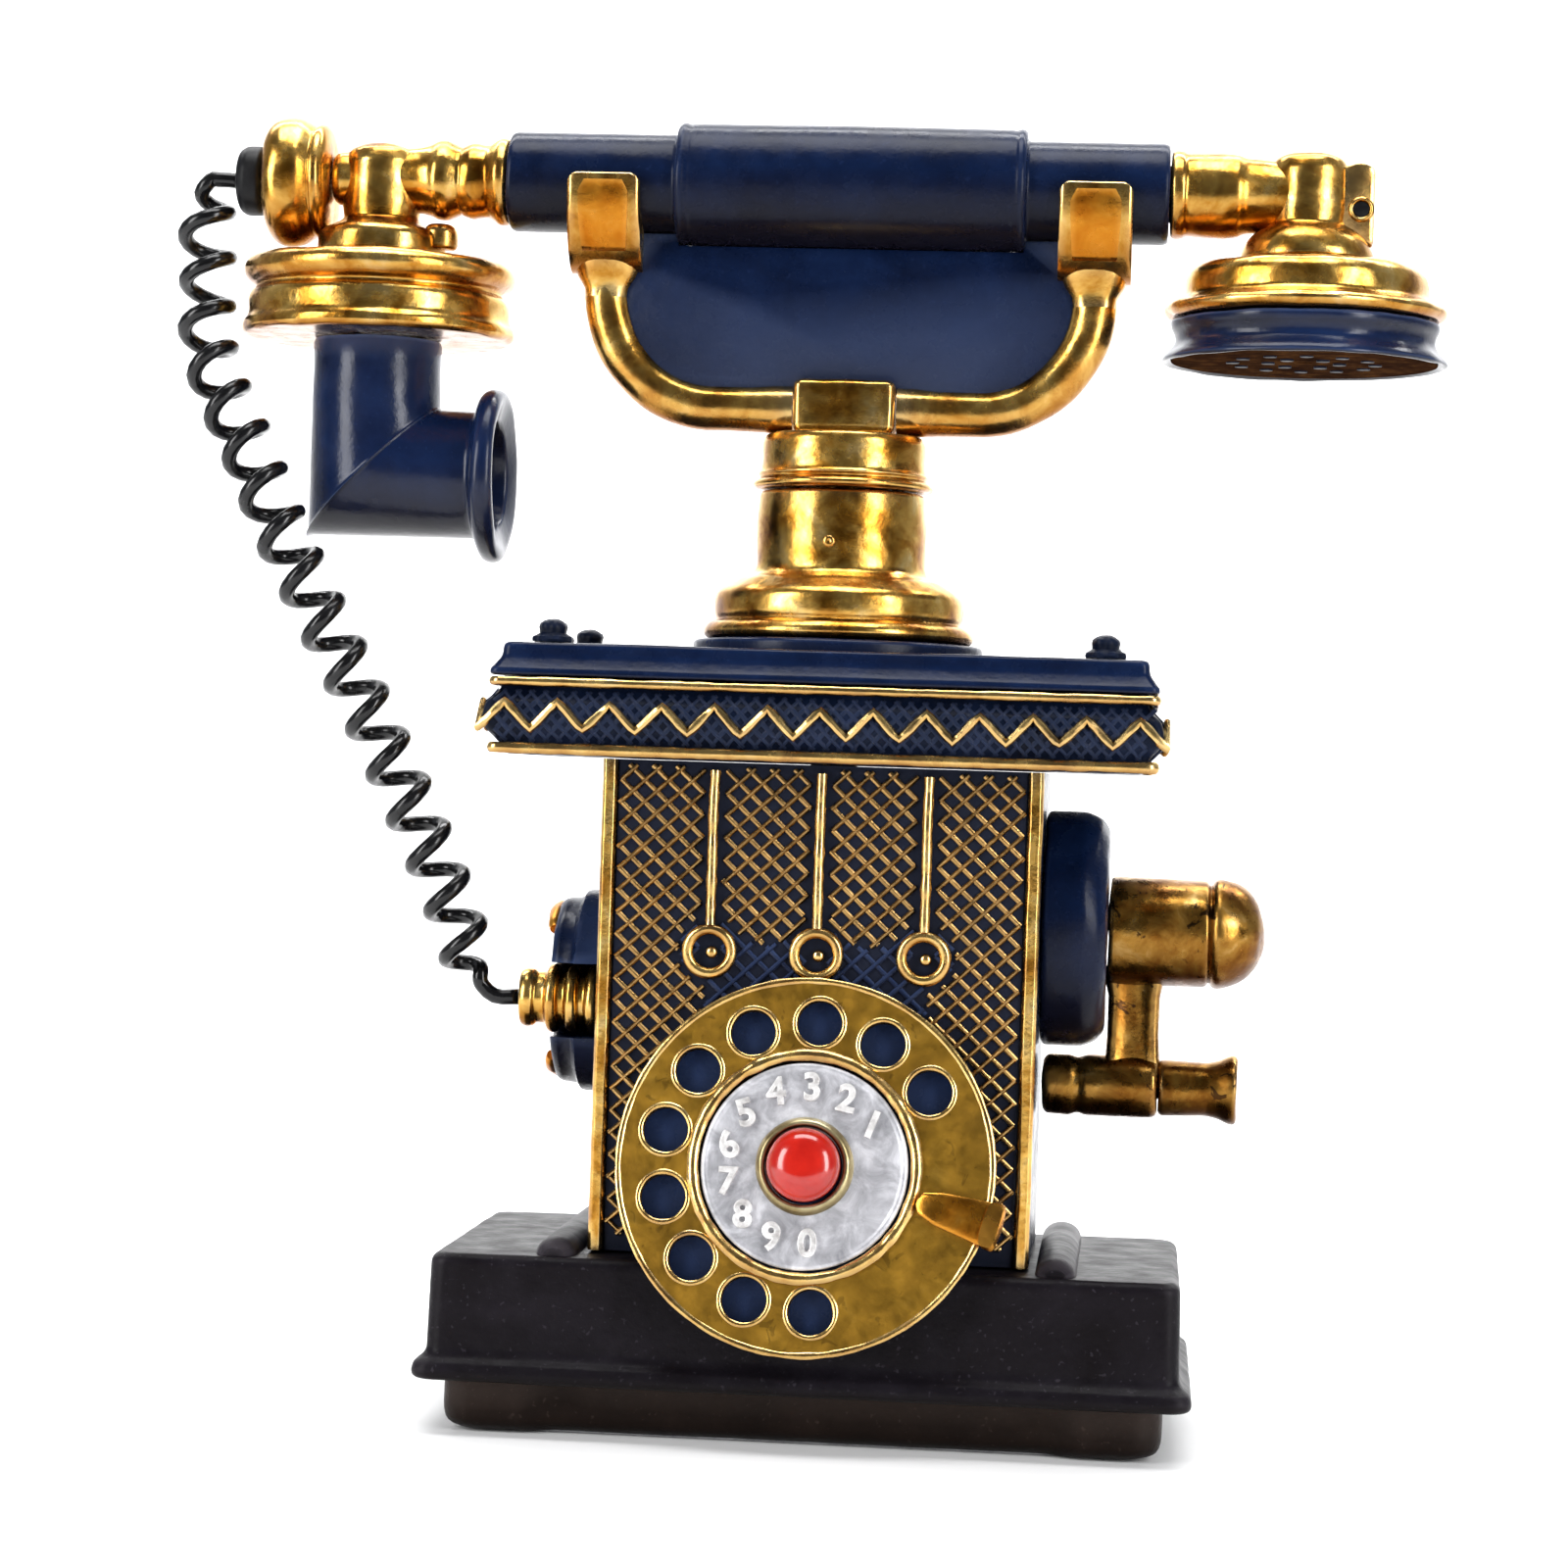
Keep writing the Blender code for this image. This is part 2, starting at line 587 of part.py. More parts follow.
def make_zigzag(middle):
    """Gold wave that runs round the middle of the frieze."""
    reach_x = CORNICE_WIDTH / 2 + GAP + WAVE_WIRE
    reach_y = CORNICE_DEPTH / 2 + GAP + WAVE_WIRE
    corners = ((-reach_x, -reach_y), (reach_x, -reach_y), (reach_x, reach_y), (-reach_x, reach_y))
    waves = (WAVES_FRONT, WAVES_SIDE, WAVES_FRONT, WAVES_SIDE)
    loops = []
    for side, count in enumerate(waves):
        start = corners[side]
        end = corners[(side + 1) % 4]
        along = Vector((end[0] - start[0], end[1] - start[1], 0)).normalized()
        outward = Vector((along.y, -along.x, 0))
        for step in range(2 * count):
            share = step / (2 * count)
            height = middle + (WAVE_HEIGHT if step % 2 else -WAVE_HEIGHT)
            point = Vector((start[0] + (end[0] - start[0]) * share,
                            start[1] + (end[1] - start[1]) * share, height))
            face = outward
            if step == 0:
                face = Vector((math.copysign(1, point.x), math.copysign(1, point.y), 0))
            up = Vector((0, 0, WAVE_WIRE))
            out = face * WAVE_WIRE
            loops.append([point + up, point + out, point - up, point - out])
    loft("zigzag_trim", loops, "gold", closed=True)


# -------------------------------------------------------------------- pillar
def make_pillar():
    """Turned gold pillar and the collar that guides the cradle's plunger."""
    z = PILLAR_BOTTOM
    outline = [
        (PILLAR_BORE, z), (FLANGE_RADIUS - 0.001, z), (FLANGE_RADIUS, z + 0.0015),
        (FLANGE_RADIUS - 0.0008, z + 0.0030), (FLANGE_RADIUS - 0.0024, z + 0.0036),
        (FLANGE_RADIUS - 0.0024, z + 0.0095), (FLANGE_RADIUS - 0.0040, z + 0.0115),
        (COLUMN_RADIUS + 0.0030, z + 0.0128), (COLUMN_RADIUS, z + 0.0150),
        (COLUMN_RADIUS, PILLAR_TOP), (PILLAR_BORE, PILLAR_TOP),
    ]
    turned("pillar", outline, "gold", segments=WIDE)
    low = PILLAR_TOP + GAP
    bore = PLUNGER_RADIUS + RUNNING
    outline = [
        (bore, low), (COLLAR_RING - 0.0006, low), (COLLAR_RING, low + 0.0007),
        (COLLAR_RING, low + 0.0020), (COLLAR_RING - 0.0006, low + 0.0027),
        (COLLAR_RADIUS, low + 0.0030), (COLLAR_RADIUS, COLLAR_TOP - 0.0010),
        (COLLAR_RADIUS - 0.0010, COLLAR_TOP), (bore, COLLAR_TOP),
    ]
    turned("pillar_collar", outline, "gold", segments=WIDE)


# -------------------------------------------------------------------- cradle
def arm_path(side):
    """Centre line of one fork arm, from the block out and up to its saddle."""
    points = [(side * (BLOCK_WIDTH / 2 + GAP), 0.0, ARM_LEVEL), (side * ARM_BEND_X * 0.65, 0.0, ARM_LEVEL)]
    for step in range(8):
        angle = math.radians(90 * step / 7)
        x = ARM_BEND_X + (SADDLE_X - ARM_BEND_X) * math.sin(angle)
        points.append((side * x, 0.0, ARM_LEVEL + ARM_RISE - ARM_RISE * math.cos(angle)))
    return points


def ring_of(centre, wide, deep):
    """Oval of points about a centre, given its two half axes."""
    angles = [2 * math.pi * k / TINY for k in range(TINY)]
    return [centre + wide * math.cos(angle) + deep * math.sin(angle) for angle in angles]


def make_arm(side, word):
    """Fork arm: a bent rod that widens into a saddle with a tab at front and rear."""
    path = [Vector(point) for point in arm_path(side)]
    deep_way = Vector((0, 1, 0))
    loops = []
    for index, point in enumerate(path):
        ahead = path[min(index + 1, len(path) - 1)] - path[max(index - 1, 0)]
        loops.append(ring_of(point, ahead.normalized().cross(deep_way) * ARM_RADIUS, deep_way * ARM_RADIUS))
    for drop, wide, deep in ((0.0065, 0.0050, 0.0050), (0.0022, 0.0068, 0.0050), (-0.0018, 0.0074, 0.0045)):
        centre = Vector((side * SADDLE_X, 0, SADDLE_BOTTOM - drop))
        loops.append(ring_of(centre, Vector((-wide, 0, 0)), deep_way * deep))
    arm = loft("cradle_arm_" + word, loops, "gold")
    tab_top = HANDLE_Z + 0.0007
    outer = SADDLE_RADIUS + SADDLE_WALL
    outline = [(-outer, tab_top)] + arc((0.0, HANDLE_Z), outer, 180, 360, 12) + [(outer, tab_top)]
    outline += [(SADDLE_RADIUS, tab_top)]
    outline += arc((0.0, HANDLE_Z), SADDLE_RADIUS, 360, 180, 12) + [(-SADDLE_RADIUS, tab_top)]
    low = side * SADDLE_X - SADDLE_WIDTH / 2
    saddle = extruded("saddle_" + word, outline, low, low + SADDLE_WIDTH, "gold", plane="YZ")
    join(arm, saddle)


def make_cradle():
    """Centre block with its plunger, two fork arms and the web between them."""
    half = BLOCK_WIDTH / 2
    head = block("cradle_block", (-half, -BLOCK_DEPTH / 2, BLOCK_BOTTOM),
                 (half, BLOCK_DEPTH / 2, BLOCK_TOP), "gold", bevel=0.0012)
    foot = BLOCK_BOTTOM - PLUNGER_LENGTH
    outline = [(0, foot), (0.0035, foot), (0.0040, foot + 0.0005), (0.0040, foot + 0.0030),
               (PLUNGER_RADIUS, foot + 0.0030), (PLUNGER_RADIUS, BLOCK_BOTTOM + 0.002),
               (0, BLOCK_BOTTOM + 0.002)]
    join(head, turned("plunger", outline, "gold", segments=SMALL))
    for side, word in ((-1, "left"), (1, "right")):
        make_arm(side, word)

    top = HANDLE_Z - GRIP_RADIUS - 0.0004
    clear = ARM_RADIUS + 0.0005
    low = ARM_LEVEL + clear
    right = [(half + GAP, BLOCK_TOP + GAP), (half + GAP, low), (ARM_BEND_X, low)]
    for step in range(1, 8):
        angle = math.radians(90 * step / 7)
        right.append((ARM_BEND_X + (SADDLE_X - ARM_BEND_X - clear) * math.sin(angle),
                      ARM_LEVEL + ARM_RISE - (ARM_RISE - clear) * math.cos(angle)))
    inner = SADDLE_X - SADDLE_WIDTH / 2 - 0.0008
    right += [(SADDLE_X - clear, ARM_LEVEL + ARM_RISE + 0.0010), (inner, top - 0.0050), (inner, top)]
    left = [(-x, z) for x, z in reversed(right)]
    extruded("cradle_web", right + left, -WEB_THICKNESS / 2, WEB_THICKNESS / 2, "navy", plane="XZ")


# ------------------------------------------------------------------- handset
def make_handle():
    """Stepped navy handle over a hollow core for the wires."""
    half = GRIP_LENGTH / 2
    ease = 0.0012
    left = HANDLE_LEFT
    right = HANDLE_RIGHT
    outline = [
        (HANDLE_BORE, left), (SLEEVE_RADIUS - ease, left), (SLEEVE_RADIUS, left + ease),
        (SLEEVE_RADIUS, -half), (GRIP_RADIUS - ease / 2, -half), (GRIP_RADIUS, -half + ease / 2),
        (GRIP_RADIUS, half - ease / 2), (GRIP_RADIUS - ease / 2, half), (SLEEVE_RADIUS, half),
        (SLEEVE_RADIUS, right - ease), (SLEEVE_RADIUS - ease, right), (HANDLE_BORE, right),
    ]
    turned("handle", outline, "navy", segments=MIDDLE, location=(0, 0, HANDLE_Z), rotation=ALONG_X)


def make_transmitter():
    """Speaking end: bracket, spun housing, capsule, elbow mouthpiece and end knob."""
    x = TRANSMITTER_X
    top = HANDLE_Z - TRANSMITTER_DROP
    barrel_end = HANDLE_LEFT - GAP
    spigot = HANDLE_BORE - RUNNING
    outline = [
        (0, barrel_end + 0.0080), (spigot, barrel_end + 0.0080), (spigot, barrel_end),
        (0.0092, barrel_end), (0.0092, barrel_end - 0.0030), (0.0078, barrel_end - 0.0050),
        (0.0076, barrel_end - 0.0110), (0.0084, barrel_end - 0.0150),
        (0.0070, barrel_end - 0.0190), (0.0055, x), (0.0048, x - 0.0104), (0, x - 0.0104),
    ]
    bracket = turned("transmitter_bracket", outline, "gold", segments=MIDDLE,
                     location=(0, 0, HANDLE_Z), rotation=ALONG_X)
    neck = turned("transmitter_neck", [
        (0, top + GAP), (0.0126, top + GAP), (0.0124, top + 0.0022), (0.0105, top + 0.0040),
        (ELBOW_RADIUS - 0.0006, top + 0.0062), (ELBOW_RADIUS, top + 0.0090),
        (ELBOW_RADIUS, top + 0.0215), (ELBOW_RADIUS - 0.0016, top + 0.0240), (0, top + 0.0247),
    ], "gold", segments=MIDDLE, location=(x, 0, 0))
    join(bracket, neck)

    rim = TRANSMITTER_RADIUS
    bottom = top - TRANSMITTER_HEIGHT
    cavity = rim - 0.0049
    turned("transmitter_housing", [
        (0, top), (0.0130, top), (rim - 0.0014, top - 0.0005), (rim - 0.0002, top - 0.0018),
        (rim, top - 0.0038), (rim - 0.0004, top - 0.0058), (rim - 0.0018, top - 0.0071),
        (rim - 0.0028, top - 0.0088), (rim - 0.0024, top - 0.0108), (rim - 0.0012, top - 0.0138),
        (rim, top - 0.0158), (rim, bottom + 0.0005), (rim - 0.0009, bottom),
        (PIPE_RADIUS - PIPE_WALL, bottom), (PIPE_RADIUS - PIPE_WALL, bottom + 0.0023),
        (cavity, bottom + 0.0023), (cavity, top - 0.0023), (0, top - 0.0023),
    ], "gold", segments=WIDE, location=(x, 0, 0))
    capsule = cavity - 0.0020
    turned("transmitter_capsule", [
        (0, bottom + 0.0035), (capsule - 0.001, bottom + 0.0035), (capsule, bottom + 0.0045),
        (capsule, top - 0.0040), (capsule * 0.7, top - 0.0032), (0, top - 0.0032),
    ], "steel", segments=MIDDLE, location=(x, 0, 0))

    make_mouthpiece(bottom - GAP, bottom - PIPE_DROP)

    knob_right = x - 0.0104 - GAP
    knob_left = knob_right - END_KNOB_LENGTH
    r = END_KNOB_RADIUS
    turned("end_knob", [
        (0, knob_right), (r * 0.62, knob_right), (r * 0.84, knob_right - 0.0014),
        (r * 0.95, knob_right - 0.0040), (r * 0.92, knob_right - 0.0062),
        (r, knob_right - 0.0088), (r * 0.96, knob_right - 0.0118), (r * 0.80, knob_left + 0.0008),
        (r * 0.62, knob_left), (0, knob_left),
    ], "gold", segments=MIDDLE, location=(0, 0, HANDLE_Z - 0.0009), rotation=ALONG_X)
    bush_left = knob_left - GAP - BUSH_LENGTH
    turned("cord_bush", [
        (0, bush_left), (BUSH_RADIUS - 0.0014, bush_left), (BUSH_RADIUS, bush_left + 0.0014),
        (BUSH_RADIUS, knob_left - GAP - 0.0010), (BUSH_RADIUS - 0.0010, knob_left - GAP),
        (0, knob_left - GAP),
    ], "black", segments=SMALL, location=(0, 0, HANDLE_Z - 0.0009), rotation=ALONG_X)


def make_mouthpiece(top, z):
    """Mitred elbow pipe that ends in a flared mouth facing +X."""
    x = TRANSMITTER_X
    turns = [(math.cos(2 * math.pi * k / MIDDLE), math.sin(2 * math.pi * k / MIDDLE)) for k in range(MIDDLE)]

    def upright(radius, height):
        return [(x + radius * cosine, radius * sine, height) for cosine, sine in turns]

    def mitre(radius):
        return [(x + radius * cosine, radius * sine, z + radius * cosine) for cosine, sine in turns]

    def level(radius, along):
        return [(along, radius * sine, z + radius * cosine) for cosine, sine in turns]

    outer = PIPE_RADIUS
    inner = PIPE_RADIUS - PIPE_WALL
    loops = [
        upright(outer, top), mitre(outer), level(outer, MOUTH_X - 0.0065),
        level(outer + 0.0010, MOUTH_X - 0.0045), level(outer + 0.0032, MOUTH_X - 0.0022),
        level(MOUTH_RADIUS, MOUTH_X - 0.0010), level(MOUTH_RADIUS - 0.0006, MOUTH_X),
        level(MOUTH_RADIUS - 0.0018, MOUTH_X - 0.0004), level(inner + 0.0014, MOUTH_X - 0.0040),
        level(inner, MOUTH_X - 0.0070), mitre(inner), upright(inner, top),
    ]
    loft("mouthpiece", loops, "navy", closed=True)


def make_receiver():
    """Listening end: bracket, domed housing, capsule and perforated ear cap."""
    x = RECEIVER_X
    top = HANDLE_Z - RECEIVER_DROP
    start = HANDLE_RIGHT + GAP
    spigot = HANDLE_BORE - RUNNING
    outline = [
        (0, start - 0.0080), (spigot, start - 0.0080), (spigot, start), (0.0092, start),
        (0.0092, start + 0.0030), (0.0086, start + 0.0045), (0.0089, start + 0.0120),
        (0.0080, start + 0.0165), (0.0070, start + 0.0215), (0.0052, x), (0.0045, x + 0.0060),
        (0, x + 0.0060),
    ]
    bracket = turned("receiver_bracket", outline, "gold", segments=MIDDLE,
                     location=(0, 0, HANDLE_Z), rotation=ALONG_X)
    neck = turned("receiver_neck", [
        (0, top + GAP), (0.0140, top + GAP), (0.0145, top + 0.0022), (0.0128, top + 0.0048),
        (0.0116, top + 0.0060), (ELBOW_RADIUS - 0.0004, top + 0.0088),
        (ELBOW_RADIUS, top + 0.0205), (ELBOW_RADIUS - 0.0012, top + 0.0224), (0, top + 0.0230),
    ], "gold", segments=MIDDLE, location=(x, 0, 0))
    lug = block("receiver_lug", (x + 0.0050, -0.0045, top + 0.0020),
                (x + 0.0138, 0.0045, top + 0.0210), "gold", bevel=0.0012)
    hook_hole = rod("receiver_lug_hole", 0.0013, -0.02, 0.02, "steel", segments=TINY,
                    location=(x + 0.0108, 0, top + 0.0112), rotation=ALONG_MINUS_Y)
    join(bracket, neck, lug)
    cut(bracket, hook_hole)

    r = RECEIVER_RADIUS
    seat = top - RECEIVER_HEIGHT
    cavity = r - 0.0070
    turned("receiver_housing", [
        (0, top), (0.0140, top), (r - 0.0095, top - 0.0014), (r - 0.0055, top - 0.0036),
        (r - 0.0041, top - 0.0066), (r - 0.0038, top - 0.0080), (r - 0.0010, top - 0.0088),
        (r, top - 0.0102), (r - 0.0002, top - 0.0116), (r - 0.0015, seat), (cavity, seat),
        (cavity, top - 0.0060), (cavity - 0.0030, top - 0.0045), (0, top - 0.0045),
    ], "gold", segments=WIDE, location=(x, 0, 0))
    rim = seat - GAP
    face = seat - EAR_CAP_HEIGHT
    cap = turned("ear_cap", [
        (0, face + 0.0008), (r * 0.75, face + 0.0002), (r - 0.0010, face), (r + 0.0002, face + 0.0006),
        (r, face + 0.0014), (r - 0.0014, face + 0.0030), (r - 0.0020, face + 0.0052),
        (r - 0.0016, face + 0.0074), (r - 0.0013, rim), (cavity - 0.0005, rim),
        (cavity - 0.0005, face + 0.0028), (0, face + 0.0028),
    ], "navy", segments=WIDE, location=(x, 0, 0))
    for ring, count in ((0.0, 1), (0.0075, 6)):
        for index in range(count):
            angle = 2 * math.pi * index / count
            spot = (x + ring * math.cos(angle), ring * math.sin(angle), 0)
            hole = rod("ear_hole_%d_%d" % (count, index), 0.0013, face - 0.01, face + 0.01, "steel",
                       segments=TINY, location=spot)
            cut(cap, hole)
    capsule = cavity - 0.0020
    turned("receiver_capsule", [
        (0, face + 0.0040), (capsule - 0.001, face + 0.0040), (capsule, face + 0.0050),
        (capsule, top - 0.0075), (capsule * 0.7, top - 0.0060), (0, top - 0.0060),
    ], "steel", segments=MIDDLE, location=(x, 0, 0))


# ---------------------------------------------------------------------- cord
def make_cord():
    """Outer shape of the curly cord, from the handset's bush to the gland."""
    route = [Vector(point) for point in CORD_ROUTE]
    route = [2 * route[0] - route[1]] + route + [2 * route[-1] - route[-2]]
    points = []
    for index in range(1, len(route) - 2):
        a, b, c, d = route[index - 1:index + 3]
        for step in range(CORD_STEPS):
            t = step / CORD_STEPS
            points.append(0.5 * (2 * b + (c - a) * t + (2 * a - 5 * b + 4 * c - d) * t ** 2
                                 + (3 * b - a - 3 * c + d) * t ** 3))
    points.append(route[-2])
    curve = bpy.data.curves.new("curly_cord", 'CURVE')
    curve.dimensions = '3D'
    curve.bevel_depth = CORD_COIL_RADIUS
    curve.bevel_resolution = 2
    curve.use_fill_caps = True
    spline = curve.splines.new('POLY')
    spline.points.add(len(points) - 1)
    for spot, point in zip(spline.points, points):
        spot.co = (*point, 1.0)
    cord = bpy.data.objects.new("curly_cord", curve)
    curve.materials.append(material_for("curly_cord", "black"))
    bpy.context.collection.objects.link(cord)


# ------------------------------------------------------------- cord entry side
def make_cord_entry():
    """Ribbed gland in a channel of the stepped boss on the left side."""
    side = -BODY_WIDTH / 2 - GAP
    outline = [
        (0, side), (BOSS_RADIUS, side), (BOSS_RADIUS, side - BOSS_LENGTH * 0.55),
        (BOSS_RADIUS - 0.0018, side - BOSS_LENGTH * 0.62),
        (BOSS_RADIUS - 0.0018, side - BOSS_LENGTH + 0.0012),
        (BOSS_RADIUS - 0.0032, side - BOSS_LENGTH), (0, side - BOSS_LENGTH),
    ]
    boss_z = GLAND_Z + 0.0015
    boss = turned("cord_boss", outline, "navy", segments=MIDDLE, location=(0, 0, boss_z), rotation=ALONG_X)
    clear = GLAND_RIB + GAP
    channel = block("boss_channel", (side - 0.03, -0.05, GLAND_Z - clear),
                    (side + 0.005, GLAND_Y, GLAND_Z + clear), "steel")
    round_end = rod("boss_channel_end", clear, side - 0.03, side + 0.005, "steel", segments=MIDDLE,
                    location=(0, GLAND_Y, GLAND_Z), rotation=ALONG_X)
    cut(boss, channel, round_end)

    outline = [(0, side), (GLAND_CORE, side)]
    rib_pitch = GLAND_LENGTH / 4
    for rib in range(3):
        start = side - 0.0012 - rib * rib_pitch
        outline += [(GLAND_CORE, start), (GLAND_RIB, start - 0.0006), (GLAND_RIB, start - 0.0022),
                    (GLAND_CORE, start - 0.0028)]
    end = side - GLAND_LENGTH
    outline += [(GLAND_CORE, end + 0.0032), (GLAND_CORE + 0.0006, end + 0.0024),
                (GLAND_CORE, end), (0.0022, end), (0.0022, end + 0.0060), (0, end + 0.0060)]
    turned("cord_gland", outline, "gold", segments=SMALL,
           location=(0, GLAND_Y, GLAND_Z), rotation=ALONG_X)


# ------------------------------------------------------------ crank and magneto
def make_crank():
    """Magneto drum, crank with its turning grip, gear, armature and magnet."""
    axis = {"location": (0, 0, CRANK_Z), "rotation": ALONG_X}
    side = BODY_WIDTH / 2 + GAP
    face = side + DRUM_LENGTH
    r = DRUM_RADIUS
    turned("magneto_drum", [
        (r - DRUM_WALL, side), (r, side), (r, face - 0.0038), (r - 0.0012, face - 0.0012),
        (r - 0.0040, face), (CRANK_SHAFT + RUNNING, face),
        (CRANK_SHAFT + RUNNING, face - DRUM_WALL), (r - DRUM_WALL - 0.001, face - DRUM_WALL),
        (r - DRUM_WALL, face - DRUM_WALL - 0.001),
    ], "navy", segments=WIDE, **axis)

    hub = face + GAP
    end = hub + HUB_LENGTH
    groove = hub + HUB_LENGTH * 0.645
    outline = [
        (0, hub), (HUB_RADIUS, hub), (HUB_RADIUS, groove - 0.0006), (HUB_RADIUS - 0.0008, groove),
        (HUB_RADIUS + 0.0005, groove + 0.0006), (HUB_RADIUS + 0.0005, end - 0.0070),
        (HUB_RADIUS - 0.0010, end - 0.0035), (HUB_RADIUS - 0.0040, end - 0.0010), (0, end),
    ]
    crank = turned("crank_arm", outline, "gold", segments=MIDDLE, **axis)
    arm_centre = hub + ARM_WIDTH / 2 + 0.0003
    web = block("crank_web", (ARM_OFFSET, -0.0045, arm_centre - ARM_WIDTH / 2),
                (HUB_RADIUS - 0.003, 0.0045, arm_centre + ARM_WIDTH / 2), "gold", **axis)
    pivot = {"location": (0, 0, CRANK_Z - ARM_OFFSET), "rotation": ALONG_X}
    stub = turned("crank_stub", [
        (0, side + 0.0006), (0.0060, side + 0.0006), (0.0066, side + 0.0012),
        (0.0066, hub + ARM_WIDTH + 0.0002), (GRIP_PIN, hub + ARM_WIDTH + 0.0002),
        (GRIP_PIN, hub + ARM_WIDTH + CRANK_GRIP_LENGTH), (0, hub + ARM_WIDTH + CRANK_GRIP_LENGTH),
    ], "gold", segments=SMALL, **pivot)
    join(crank, web, stub)

    start = hub + ARM_WIDTH + 0.0002 + GAP
    stop = start + CRANK_GRIP_LENGTH
    g = CRANK_GRIP_RADIUS
    turned("crank_grip", [
        (GRIP_PIN + RUNNING, start), (g, start), (g, stop - 0.0045), (g + 0.0012, stop - 0.0022),
        (g + 0.0014, stop - 0.0006), (g + 0.0008, stop), (GRIP_PIN + RUNNING, stop),
    ], "gold", segments=SMALL, **pivot)

    make_generator(axis, face)


def make_generator(axis, face):
    """Crank gear on its shaft, the armature it drives and the magnet astride."""
    gear_high = BODY_WIDTH / 2 - GEAR_INSET
    gear_low = gear_high - GEAR_WIDTH
    distance = GEAR_MODULE * (CRANK_TEETH + ARMATURE_TEETH) / 2
    drop = math.sqrt(distance ** 2 - ARMATURE_Y ** 2)
    spread = math.atan2(ARMATURE_Y, drop)
    gear = extruded("crank_gear", gear_outline(CRANK_TEETH, GEAR_MODULE, spread),
                    gear_low, gear_high, "steel", **axis)
    join(gear, rod("crank_shaft", CRANK_SHAFT, gear_low - 0.0020, face, "steel", **axis))

    place = {"location": (0, ARMATURE_Y, CRANK_Z - drop), "rotation": ALONG_X}
    phase = math.pi + math.pi / ARMATURE_TEETH + spread
    pinion = extruded("armature", gear_outline(ARMATURE_TEETH, GEAR_MODULE, phase),
                      gear_low + GEAR_SET_BACK, gear_high - GEAR_SET_BACK, "steel", **place)
    core_high = gear_low - 0.0070
    core_low = core_high - ARMATURE_LENGTH
    core = turned("armature_core", [
        (0, core_low - 0.0040), (0.0020, core_low - 0.0040), (0.0020, core_low),
        (ARMATURE_RADIUS, core_low), (ARMATURE_RADIUS, core_high), (0.0020, core_high),
        (0.0020, gear_high + 0.0025), (0, gear_high + 0.0025),
    ], "copper", segments=MIDDLE, **place)
    join(pinion, core)

    inner = ARMATURE_RADIUS + 0.0010
    outer = inner + MAGNET_WALL
    foot = CRANK_Z - drop - ARMATURE_RADIUS - 0.0020
    centre = (ARMATURE_Y, CRANK_Z + CRANK_SHAFT)
    outline = [(ARMATURE_Y + outer, foot)] + arc(centre, outer, 0, 180, 12)
    outline += [(ARMATURE_Y - outer, foot), (ARMATURE_Y - inner, foot)]
    outline += arc(centre, inner, 180, 0, 12) + [(ARMATURE_Y + inner, foot)]
    extruded("magnet", outline, core_low + 0.0020, core_high - 0.0020, "steel", plane="YZ")


